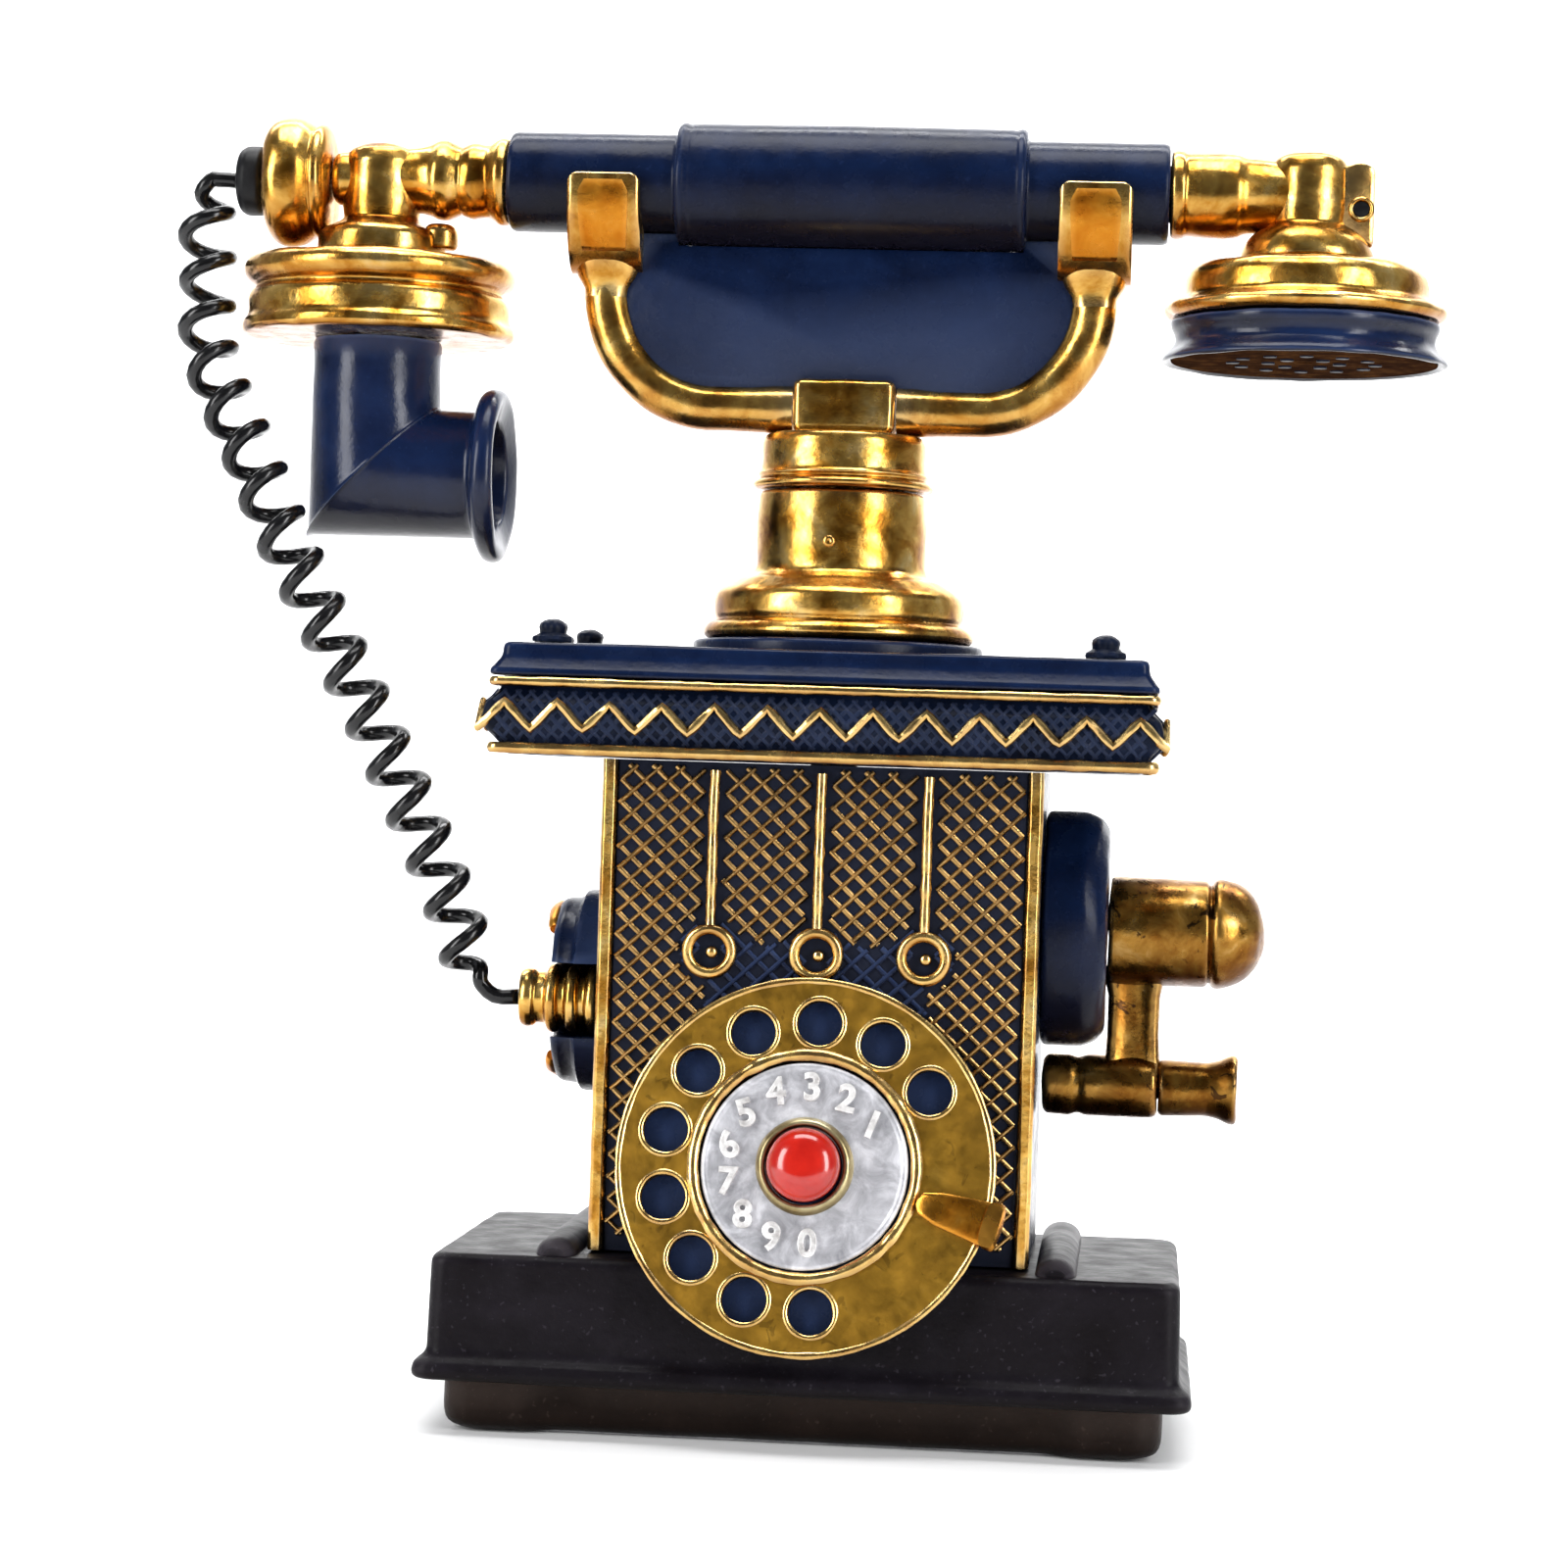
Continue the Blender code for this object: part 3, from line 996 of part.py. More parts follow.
# ---------------------------------------------------------------------- dial
def make_dial():
    """Fixed seat and cup, finger wheel, gear, governor, number plate and button."""
    bore = DIAL_SHAFT + RUNNING
    seat = turned("dial_plate", [
        (bore, GAP), (DIAL_PLATE_RADIUS, GAP), (DIAL_PLATE_RADIUS, DIAL_PLATE),
        (bore, DIAL_PLATE),
    ], "navy", segments=WIDE, **DIAL_PLACE)
    stop_turn = math.cos(STOP_ANGLE), math.sin(STOP_ANGLE)
    lug = radial_bar("dial_plate_lug", DIAL_PLATE_RADIUS - 0.005, DIAL_RADIUS + 0.0034,
                     0.0070, GAP, DIAL_PLATE, stop_turn)
    join(seat, lug)
    r = DIAL_CUP_RADIUS
    back = -DIAL_CUP_DEPTH
    wall = DIAL_CUP_WALL
    turned("dial_cup", [
        (r - wall, 0.0), (r, 0.0), (r, back), (DIAL_POST + RUNNING, back),
        (DIAL_POST + RUNNING, back + wall), (r - wall, back + wall),
    ], "steel", segments=WIDE, **DIAL_PLACE)

    back = WHEEL_BACK
    face = WHEEL_BACK + WHEEL_THICKNESS
    r = DIAL_RADIUS
    lip = NUMBER_PLATE_RADIUS + 0.0004
    wheel = turned("finger_wheel", [
        (bore, back), (r - 0.0008, back), (r, back + 0.0008), (r, face - 0.0008),
        (r - 0.0008, face), (lip + 0.0026, face), (lip + 0.0018, face + WHEEL_LIP),
        (lip + 0.0004, face + WHEEL_LIP), (lip, face + 0.0003), (lip, back + 0.0012),
        (bore, back + 0.0012),
    ], "bronze", segments=WIDEST, **DIAL_PLACE)
    for index in range(HOLES):
        angle = FIRST_HOLE + index * HOLE_STEP
        spot = on_dial(HOLE_CIRCLE * math.cos(angle), HOLE_CIRCLE * math.sin(angle))
        cut(wheel, rod("finger_hole_%d" % index, HOLE_RADIUS, -0.01, 0.02, "steel",
                       segments=SMALL, location=spot, rotation=DIAL_PLACE["rotation"]))
    stop = radial_bar("finger_stop", lip + 0.0032, DIAL_RADIUS + 0.0034, 0.0055,
                      face + WHEEL_LIP * 0.5, face + 0.0018, stop_turn)
    join(stop, radial_bar("finger_stop_root", DIAL_RADIUS + 0.0008, DIAL_RADIUS + 0.0034, 0.0055,
                          DIAL_PLATE + GAP, face + 0.0015, stop_turn))

    plate_low = back + 0.0012 + 0.0008
    plate_high = face + 0.0006
    post = DIAL_POST
    stem_bore = 0.0017
    cup_back = -DIAL_CUP_DEPTH
    turned("number_plate", [
        (stem_bore, cup_back), (post, cup_back), (post, plate_low),
        (NUMBER_PLATE_RADIUS, plate_low), (NUMBER_PLATE_RADIUS, plate_high - 0.0004),
        (NUMBER_PLATE_RADIUS - 0.0004, plate_high), (BUTTON_RADIUS + 0.0011, plate_high),
        (BUTTON_RADIUS + 0.0008, plate_high + 0.0016), (BUTTON_RADIUS + RUNNING, plate_high + 0.0016),
        (BUTTON_RADIUS + RUNNING, plate_high - 0.0006), (stem_bore, plate_high - 0.0006),
    ], "silver", segments=WIDE, **DIAL_PLACE)
    travel = 0.0020
    base = plate_high - 0.0006 + travel + 0.0003
    turned("call_button", [
        (0, -0.0100), (stem_bore - RUNNING, -0.0100), (stem_bore - RUNNING, base),
        (BUTTON_RADIUS, base), (BUTTON_RADIUS, base + 0.0010), (BUTTON_RADIUS * 0.93, base + 0.0026),
        (BUTTON_RADIUS * 0.72, base + 0.0040), (BUTTON_RADIUS * 0.40, base + 0.0050),
        (0, base + 0.0054),
    ], "red", segments=MIDDLE, **DIAL_PLACE)

    gear_low = -0.0090
    gear_high = -0.0065
    gear = extruded("dial_gear", gear_outline(DIAL_TEETH, DIAL_MODULE, math.pi / 2),
                    gear_low, gear_high, "steel", **DIAL_PLACE)
    join(gear, rod("dial_shaft", DIAL_SHAFT, -0.0200, back + 0.0012, "steel", **DIAL_PLACE))
    cut(gear, rod("dial_shaft_bore", DIAL_POST + RUNNING, -0.0300, 0.0200, "steel", **DIAL_PLACE))
    spread = DIAL_MODULE * (DIAL_TEETH + GOVERNOR_TEETH) / 2
    place = {"location": on_dial(0.0, spread), "rotation": DIAL_PLACE["rotation"]}
    phase = -math.pi / 2 + math.pi / GOVERNOR_TEETH
    governor = extruded("governor", gear_outline(GOVERNOR_TEETH, DIAL_MODULE, phase),
                        gear_low + 0.0003, gear_high - 0.0003, "steel", **place)
    join(governor, turned("governor_weights", [
        (0, -0.0220), (0.0015, -0.0220), (0.0015, -0.0150), (0.0066, -0.0150),
        (0.0066, -0.0110), (0.0015, -0.0110), (0.0015, -0.0040), (0, -0.0040),
    ], "steel", segments=SMALL, **place))


def radial_bar(name, inner, outer, width, low, high, turn):
    """Flat bar on the dial's face, pointing away from its centre."""
    cosine, sine = turn
    corners = ((inner, -width / 2), (outer, -width / 2), (outer, width / 2), (inner, width / 2))
    outline = [(x * cosine - y * sine, x * sine + y * cosine) for x, y in corners]
    return extruded(name, outline, low, high, "gold", **DIAL_PLACE)


# ------------------------------------------------------- works inside the base
def make_ringer():
    """Two gongs, the coil pair and the clapper that swings between the gongs."""
    top = PLATE_TOP + 0.0050 + GONG_HEIGHT
    r = GONG_RADIUS
    for side, word in ((-1, "left"), (1, "right")):
        turned("gong_" + word, [
            (0, PLATE_TOP), (0.0022, PLATE_TOP), (0.0022, top - 0.0012), (r - 0.0030, top - 0.0012),
            (r - 0.0012, top - 0.0035), (r - 0.0012, top - GONG_HEIGHT), (r, top - GONG_HEIGHT),
            (r, top - 0.0024), (r - 0.0020, top), (0, top),
        ], "steel", segments=MIDDLE, location=(side * GONG_X, GONG_Y, 0))
    foot = block("ringer_coils", (-COIL_X - COIL_RADIUS - 0.001, CLAPPER_Y - COIL_RADIUS, PLATE_TOP),
                 (COIL_X + COIL_RADIUS + 0.001, CLAPPER_Y + COIL_RADIUS, PLATE_TOP + 0.002), "copper")
    coil_top = PLATE_TOP + 0.0017 + COIL_HEIGHT
    for side in (-1, 1):
        coil = rod("ringer_coil_%d" % side, COIL_RADIUS - 0.0004, PLATE_TOP + 0.001, coil_top,
                   "copper", location=(side * COIL_X, CLAPPER_Y, 0))
        join(foot, coil)
    reach = GONG_Y - CLAPPER_Y
    strike = top - GONG_HEIGHT + 0.0030
    place = {"location": (0, CLAPPER_Y, 0)}
    clapper = block("clapper", (-COIL_X - 0.0050, -0.0020, coil_top + 0.0006),
                    (COIL_X + 0.0050, 0.0020, coil_top + 0.0022), "steel", **place)
    pin = rod("clapper_pin", 0.0015, PLATE_TOP + 0.0024, coil_top + 0.0030, "steel",
              segments=TINY, **place)
    wire = block("clapper_wire", (-0.0008, reach + 0.001, strike - 0.0008),
                 (0.0008, 0.0010, strike + 0.0008), "steel", **place)
    ball = turned("clapper_ball", [(CLAPPER_BALL * math.sin(math.radians(a)),
                                    -CLAPPER_BALL * math.cos(math.radians(a)))
                                   for a in range(0, 181, 30)],
                  "steel", segments=TINY, location=(0, GONG_Y, strike))
    join(clapper, pin, wire, ball)

    wall_x = BASE_WIDTH / 2 - 0.0120
    wall_y = BASE_DEPTH / 2 - 0.0125
    turned("induction_coil", [
        (0, -0.0150), (0.0070, -0.0150), (0.0070, -0.0130), (0.0055, -0.0130), (0.0055, 0.0130),
        (0.0070, 0.0130), (0.0070, 0.0150), (0, 0.0150),
    ], "copper", segments=SMALL, location=(-wall_x + 0.0150, -wall_y + 0.0070, PLATE_TOP + 0.0070),
        rotation=ALONG_X)
    block("capacitor", (wall_x - 0.0280, -wall_y, PLATE_TOP),
          (wall_x, -wall_y + 0.0140, PLATE_TOP + 0.0170), "silver", bevel=0.0010)
    block("terminal_block", (wall_x - 0.0190, wall_y - 0.0140, PLATE_TOP),
          (wall_x - 0.0010, wall_y, PLATE_TOP + 0.0090), "bakelite", bevel=0.0010)


def make_hook_switch():
    """Contact stack on the body's left wall and the lever under the plunger."""
    pivot_x = -LEVER_REACH
    foot = BLOCK_BOTTOM - PLUNGER_LENGTH
    pivot_z = foot - 0.0016
    wall = -BODY_WIDTH / 2 + BODY_WALL + GAP
    stack = block("switch_stack", (wall, -0.0070, pivot_z - 0.0030),
                  (pivot_x - 0.0035, 0.0070, pivot_z + 0.0090), "bakelite")
    for side in (-1, 1):
        edges = sorted((side * 0.0046, side * 0.0070))
        join(stack, block("switch_cheek_%d" % side, (pivot_x - 0.0045, edges[0], pivot_z - 0.0025),
                          (pivot_x + 0.0022, edges[1], pivot_z + 0.0025), "bakelite"))
    join(stack, rod("switch_pin", 0.0011, -0.0060, 0.0060, "steel", segments=TINY,
                    location=(pivot_x, 0, pivot_z), rotation=ALONG_MINUS_Y))
    place = {"location": (pivot_x, 0, pivot_z)}
    lever = block("switch_lever", (0.0015, -0.0030, -0.0008), (LEVER_REACH + 0.0030, 0.0030, 0.0008),
                  "steel", **place)
    hub = turned("switch_lever_hub", [(0.0014, -0.0042), (0.0024, -0.0042), (0.0024, 0.0042),
                                      (0.0014, 0.0042)], "steel", segments=SMALL,
                 location=(pivot_x, 0, pivot_z), rotation=ALONG_MINUS_Y)
    join(lever, hub)


make_base()
make_plinth()
make_body()
make_cornice()
make_pillar()
make_cradle()
make_handle()
make_transmitter()
make_receiver()
make_cord()
make_cord_entry()
make_crank()
make_dial()
make_ringer()
make_hook_switch()
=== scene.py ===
import math

import bmesh
import bpy
from mathutils import Matrix, Vector, noise


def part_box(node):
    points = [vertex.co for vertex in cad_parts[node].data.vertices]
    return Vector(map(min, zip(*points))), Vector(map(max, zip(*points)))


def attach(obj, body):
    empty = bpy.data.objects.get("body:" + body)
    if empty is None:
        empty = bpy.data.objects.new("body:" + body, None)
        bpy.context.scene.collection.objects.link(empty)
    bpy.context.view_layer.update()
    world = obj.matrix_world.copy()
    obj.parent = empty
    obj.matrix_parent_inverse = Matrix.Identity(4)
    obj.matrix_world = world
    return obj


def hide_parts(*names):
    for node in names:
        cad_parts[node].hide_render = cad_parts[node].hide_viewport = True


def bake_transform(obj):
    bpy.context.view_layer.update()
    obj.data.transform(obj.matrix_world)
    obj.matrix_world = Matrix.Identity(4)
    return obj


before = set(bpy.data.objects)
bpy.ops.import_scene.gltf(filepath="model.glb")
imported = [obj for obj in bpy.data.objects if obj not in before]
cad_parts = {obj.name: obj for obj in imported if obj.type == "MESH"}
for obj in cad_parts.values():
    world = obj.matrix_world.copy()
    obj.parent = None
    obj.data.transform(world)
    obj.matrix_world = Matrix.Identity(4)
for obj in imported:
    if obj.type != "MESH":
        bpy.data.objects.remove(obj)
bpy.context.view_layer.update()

# ------------------------------------------------------------ camera and studio
# A long lens stands a little to the right of the telephone, level with the top
# of its body. Two softboxes in front, one above and a pale sweep do the lighting.
camera_turn = math.radians(5.2)
camera_dip = math.radians(0.07)
camera_roll = math.radians(1.9)
ahead = Vector((-math.sin(camera_turn) * math.cos(camera_dip),
                math.cos(camera_turn) * math.cos(camera_dip), -math.sin(camera_dip)))
level = ahead.cross(Vector((0, 0, 1))).normalized()
upward = level.cross(ahead)
rolled_right = level * math.cos(camera_roll) + upward * math.sin(camera_roll)
rolled_up = upward * math.cos(camera_roll) - level * math.sin(camera_roll)
lens = bpy.data.cameras.new("product_lens")
lens.lens = 90
lens.sensor_width = 36
lens.clip_start = 0.01
lens.clip_end = 20
camera = bpy.data.objects.new("product_camera", lens)
bpy.context.scene.collection.objects.link(camera)
facing = Matrix((rolled_right, rolled_up, -ahead)).transposed().to_quaternion()
camera.matrix_world = Matrix.LocRotScale(Vector((0.0656, -0.8374, 0.1366)), facing, None)
bpy.context.scene.camera = camera
bpy.context.scene.view_settings.view_transform = 'Standard'


def softbox(name, place, aim, width, height, power, colour=(1, 1, 1)):
    """Rectangular studio light pointed at a spot on the telephone."""
    lamp = bpy.data.lights.new(name, 'AREA')
    lamp.shape = 'RECTANGLE'
    lamp.size = width
    lamp.size_y = height
    lamp.energy = power
    lamp.color = colour
    light = bpy.data.objects.new(name, lamp)
    bpy.context.scene.collection.objects.link(light)
    light.location = place
    light.rotation_euler = (Vector(aim) - Vector(place)).to_track_quat('-Z', 'Y').to_euler()


softbox("left_softbox", (-0.95, -0.80, 0.50), (0, 0, 0.14), 0.40, 0.9, 12)
softbox("right_softbox", (0.90, -0.75, 0.45), (0, 0, 0.14), 0.30, 0.9, 10)
softbox("top_softbox", (0.0, -0.10, 1.35), (0, 0, 0.1), 0.9, 0.6, 13)
softbox("sweep_light", (0.0, 0.75, 1.5), (0, 1.5, 0.4), 2.4, 0.5, 52)

world = bpy.data.worlds.new("studio_room")
world.use_nodes = True
world_tree = world.node_tree
direction = world_tree.nodes.new("ShaderNodeTexCoord")
parts_of = world_tree.nodes.new("ShaderNodeSeparateXYZ")
dark_front = world_tree.nodes.new("ShaderNodeMapRange")
dark_front.inputs["From Min"].default_value = -0.25
dark_front.inputs["From Max"].default_value = 0.55
dark_front.inputs["To Min"].default_value = 0.11
dark_front.inputs["To Max"].default_value = 0.60
world_tree.links.new(direction.outputs["Generated"], parts_of.inputs["Vector"])
world_tree.links.new(parts_of.outputs["Y"], dark_front.inputs["Value"])
world_tree.links.new(dark_front.outputs["Result"], world_tree.nodes["Background"].inputs["Strength"])
world_tree.nodes["Background"].inputs["Color"].default_value = (0.88, 0.92, 1.0, 1)
bpy.context.scene.world = world

sweep_mesh = bmesh.new()
sweep_line = [(-2.4, 0.0), (1.1, 0.0)]
for step in range(1, 13):
    angle = math.radians(90 * step / 12)
    sweep_line.append((1.1 + 0.6 * math.sin(angle), 0.6 - 0.6 * math.cos(angle)))
sweep_line.append((1.7, 2.6))
sweep_rows = [[sweep_mesh.verts.new((x, y, z - 0.0002)) for x in (-3.0, 3.0)] for y, z in sweep_line]
for near, far in zip(sweep_rows, sweep_rows[1:]):
    sweep_mesh.faces.new((near[0], near[1], far[1], far[0]))
sweep_data = bpy.data.meshes.new("pale_sweep")
sweep_mesh.to_mesh(sweep_data)
sweep_mesh.free()
sweep_data.shade_smooth()
sweep = bpy.data.objects.new("pale_sweep", sweep_data)
bpy.context.scene.collection.objects.link(sweep)
pale = bpy.data.materials.new("pale_paper")
pale.use_nodes = True
pale.node_tree.nodes["Principled BSDF"].inputs["Base Color"].default_value = (0.93, 0.93, 0.93, 1)
pale.node_tree.nodes["Principled BSDF"].inputs["Roughness"].default_value = 0.85
sweep_data.materials.append(pale)

# ------------------------------------------------------------ plinth and feet
# A low cast apron carries the telephone on four rounded corner feet, painted a
# browner near-black than the base above it. A steel plate closes it underneath.


def finish_of(name):
    """Start a finish: its material, its node tree and its shader."""
    material = bpy.data.materials.new(name)
    material.use_nodes = True
    return material, material.node_tree, material.node_tree.nodes["Principled BSDF"]


def clouds(tree, scale, detail=4.0, roughness=0.55, distortion=0.0, stretch=(1, 1, 1)):
    """Cloudy variation laid over a piece in its own coordinates."""
    place = tree.nodes.new("ShaderNodeTexCoord")
    mapping = tree.nodes.new("ShaderNodeMapping")
    mapping.inputs["Scale"].default_value = stretch
    cloud = tree.nodes.new("ShaderNodeTexNoise")
    cloud.inputs["Scale"].default_value = scale
    cloud.inputs["Detail"].default_value = detail
    cloud.inputs["Roughness"].default_value = roughness
    cloud.inputs["Distortion"].default_value = distortion
    tree.links.new(place.outputs["Object"], mapping.inputs["Vector"])
    tree.links.new(mapping.outputs["Vector"], cloud.inputs["Vector"])
    return cloud.outputs["Fac"]


def steps_of(tree, source, stops):
    """Colours or greys picked along a 0 to 1 value."""
    ramp = tree.nodes.new("ShaderNodeValToRGB")
    marks = ramp.color_ramp.elements
    while len(marks) < len(stops):
        marks.new(0.5)
    for mark, (position, colour) in zip(marks, stops):
        mark.position = position
        mark.color = (*colour, 1) if isinstance(colour, tuple) else (colour, colour, colour, 1)
    tree.links.new(source, ramp.inputs["Fac"])
    return ramp.outputs["Color"]


def laid_over(tree, share, under, over):
    """One colour over another; each is a socket or a plain colour."""
    mix = tree.nodes.new("ShaderNodeMix")
    mix.data_type = 'RGBA'
    tree.links.new(share, mix.inputs["Factor"])
    for socket, colour in ((mix.inputs[6], under), (mix.inputs[7], over)):
        if isinstance(colour, tuple):
            socket.default_value = (*colour, 1)
        else:
            tree.links.new(colour, socket)
    return mix.outputs[2]


def edges_and_hollows(tree):
    """Value above 0.5 on ridges and below it in hollows."""
    return tree.nodes.new("ShaderNodeNewGeometry").outputs["Pointiness"]


def facing_up(tree):
    """0 on a surface that faces the floor, 0.5 on an upright one, 1 on top."""
    surface = tree.nodes.new("ShaderNodeNewGeometry")
    split = tree.nodes.new("ShaderNodeSeparateXYZ")
    spread = tree.nodes.new("ShaderNodeMapRange")
    spread.inputs["From Min"].default_value = -1.0
    tree.links.new(surface.outputs["Normal"], split.inputs["Vector"])
    tree.links.new(split.outputs["Z"], spread.inputs["Value"])
    return spread.outputs["Result"]


def relief(tree, shader, heights):
    """Stack small bumps; each is a height socket, a strength and a depth in metres."""
    previous = None
    for height, strength, depth in heights:
        bump = tree.nodes.new("ShaderNodeBump")
        bump.inputs["Strength"].default_value = strength
        bump.inputs["Distance"].default_value = depth
        tree.links.new(height, bump.inputs["Height"])
        if previous is not None:
            tree.links.new(previous, bump.inputs["Normal"])
        previous = bump.outputs["Normal"]
    tree.links.new(previous, shader.inputs["Normal"])


def brushed_paint(name, colours, edge, edge_share, gloss, speckle, gleam, grain=1.0):
    """Hand-brushed paint: cloudy colour, rubbed edges, dusty specks, and painted shade on surfaces that face
    the floor.
    """
    material, tree, shader = finish_of(name)
    dark, middle, light = colours
    cloud = clouds(tree, 55, 5, 0.6, 0.4)
    base = steps_of(tree, cloud, ((0.30, dark), (0.52, middle), (0.74, light)))
    rubbed = steps_of(tree, edges_and_hollows(tree), ((0.515, 0.0), (0.575, edge_share)))
    base = laid_over(tree, rubbed, base, edge)
    dust = steps_of(tree, clouds(tree, 900, 2, 0.4), ((0.66, 0.0), (0.74, speckle)))
    base = laid_over(tree, dust, base, tuple(min(1.0, 3.2 * part + 0.02) for part in light))
    # Painted shade: surfaces that face the floor are darkened towards near-black.
    painted_underside_shade = steps_of(tree, facing_up(tree), ((0.10, 0.85), (0.46, 0.30), (0.60, 0.0)))
    base = laid_over(tree, painted_underside_shade, base, (0.0040, 0.0024, 0.0022))
    tree.links.new(base, shader.inputs["Base Color"])
    sheen = steps_of(tree, clouds(tree, 140, 4, 0.6), ((0.3, gloss[0]), (0.7, gloss[1])))
    tree.links.new(sheen, shader.inputs["Roughness"])
    shader.inputs["Specular IOR Level"].default_value = gleam
    relief(tree, shader, ((clouds(tree, 95, 4, 0.55), 0.35 * grain, 0.0006),
                          (clouds(tree, 420, 3, 0.6), 0.22 * (grain - 1), 0.0004),
                          (clouds(tree, 1100, 2, 0.5), 0.16 * grain, 0.0002)))
    return material


charcoal = brushed_paint(
    "charcoal_paint", ((0.0034, 0.0024, 0.0034), (0.0062, 0.0050, 0.0072), (0.0115, 0.0095, 0.0135)),
    (0.060, 0.052, 0.062), 0.75, (0.34, 0.50), 0.30, 0.09, grain=1.9)
brown_charcoal = brushed_paint(
    "brown_charcoal_paint", ((0.0060, 0.0030, 0.0018), (0.0115, 0.0062, 0.0040), (0.0200, 0.0120, 0.0085)),
    (0.070, 0.050, 0.042), 0.6, (0.34, 0.50), 0.25, 0.08, grain=1.9)


def eased(outline, radius=0.0006, steps=3):
    """Round the inner corners of an open outline."""
    points = [outline[0]]
    for before, corner, after in zip(outline, outline[1:], outline[2:]):
        before, corner, after = Vector(before), Vector(corner), Vector(after)
        back = before - corner
        on = after - corner
        first = corner + back.normalized() * min(radius, back.length * 0.45)
        last = corner + on.normalized() * min(radius, on.length * 0.45)
        for step in range(steps + 1):
            share = step / steps
            points.append(tuple(first * (1 - share) ** 2 + corner * 2 * share * (1 - share)
                                + last * share ** 2))
    points.append(outline[-1])
    return points


def box_ring(width, depth, radius, height, along=14):
    """Ring of points round a box with rounded corners, evenly spread along its sides."""
    ring = []
    for side_x, side_y, start in ((1, 1, 0), (-1, 1, 90), (-1, -1, 180), (1, -1, 270)):
        centre = Vector((side_x * (width / 2 - radius), side_y * (depth / 2 - radius), height))
        for step in range(7):
            angle = math.radians(start + 15 * step)
            ring.append(centre + radius * Vector((math.cos(angle), math.sin(angle), 0)))
        ahead_x = side_x if start in (90, 270) else -side_x
        ahead_y = side_y if start in (0, 180) else -side_y
        turned_to = Vector((ahead_x * (width / 2 - radius), ahead_y * (depth / 2 - radius), height))
        last = math.radians(start + 90)
        stop = turned_to + radius * Vector((math.cos(last), math.sin(last), 0))
        begin = ring[-1]
        ring += [begin.lerp(stop, step / along) for step in range(1, along)]
    return ring


def skinned(rings, closed=False, capped=True):
    """Skin of quads over a row of rings that have equal numbers of points."""
    bm = bmesh.new()
    rows = [[bm.verts.new(point) for point in ring] for ring in rings]
    pairs = list(zip(rows, rows[1:]))
    if closed:
        pairs.append((rows[-1], rows[0]))
    elif capped:
        bm.faces.new(list(reversed(rows[0])))
        bm.faces.new(rows[-1])
    for lower, upper in pairs:
        for i in range(len(lower)):
            j = (i + 1) % len(lower)
            bm.faces.new((lower[i], lower[j], upper[j], upper[i]))
    return bm


def hand_cast(bm, amount, size):
    """Push a surface in and out a little, as a hand-finished casting is."""
    bm.normal_update()
    for vert in bm.verts:
        vert.co += vert.normal * amount * noise.noise(vert.co / size)


def piece(name, bm, finish, body, stands_for=(), at=(0, 0, 0), turn=(0, 0, 0), sharp=38):
    """Make a shown piece and fix it to the body that it moves with."""
    bmesh.ops.recalc_face_normals(bm, faces=bm.faces)
    mesh = bpy.data.meshes.new(name)
    bm.to_mesh(mesh)
    bm.free()
    mesh.shade_smooth()
    mesh.set_sharp_from_angle(angle=math.radians(sharp))
    mesh.materials.append(finish)
    shown = bpy.data.objects.new(name, mesh)
    shown.location = at
    shown.rotation_euler = turn
    bpy.context.scene.collection.objects.link(shown)
    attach(shown, body)
    if stands_for:
        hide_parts(*([stands_for] if isinstance(stands_for, str) else stands_for))
    return shown


plinth_width = 0.1485
plinth_depth = 0.0770
plinth_top = 0.0107
foot_length = 0.0185
apron_set_back = 0.0027


def footed_ring(inset, height, recess):
    """Plinth outline at one height, set back between its corner feet."""
    ring = box_ring(plinth_width - 2 * inset, plinth_depth - 2 * inset, 0.0062, height, along=28)
    for point in ring:
        past_x = (plinth_width / 2 - foot_length) - abs(point.x)
        past_y = (plinth_depth / 2 - foot_length) - abs(point.y)
        on_long_side = abs(abs(point.y) - (plinth_depth / 2 - inset)) < 1e-5
        past = past_x if on_long_side else past_y
        back = recess * min(1.0, max(0.0, past / 0.0035)) ** 0.8
        if on_long_side:
            point.y -= math.copysign(back, point.y)
        elif abs(abs(point.x) - (plinth_width / 2 - inset)) < 1e-5:
            point.x -= math.copysign(back, point.x)
    return ring


plinth_rings = []
for inset, height in eased([(0.0120, 0.0), (0.0036, 0.0), (0.0009, 0.0012), (0.0, 0.0036), (0.0, plinth_top)],
                           0.002):
    plinth_rings.append(footed_ring(inset, height, apron_set_back))
plinth_skin = skinned(plinth_rings)
hand_cast(plinth_skin, 0.00012, 0.009)
piece("plinth_casting", plinth_skin, brown_charcoal, "housing", "plinth")

# ------------------------------------------------------------------ base casting
# One hollow casting with a bead round its lower edge, and a rounded moulding on
# its top along each side of the body.
base_width = 0.1545
base_depth = 0.0830
base_top = 0.0370
bead = ((base_width - 0.0080, 0.0110), (base_width + 0.0030, 0.0110), (base_width + 0.0050, 0.0117),
        (base_width + 0.0055, 0.0130), (base_width + 0.0046, 0.0146), (base_width + 0.0016, 0.0158),
        (base_width + 0.0002, 0.0170), (base_width - 0.0006, 0.0353), (base_width - 0.0014, 0.0362),
        (base_width - 0.0034, base_top), (base_width - 0.0500, base_top))
base_rings = [box_ring(width, width - base_width + base_depth, 0.0036, height, along=40)
              for width, height in eased(bead, 0.0009, 4)]
base_skin = skinned(base_rings)
hand_cast(base_skin, 0.00016, 0.013)
piece("base_casting", base_skin, charcoal, "housing", "base_shell")

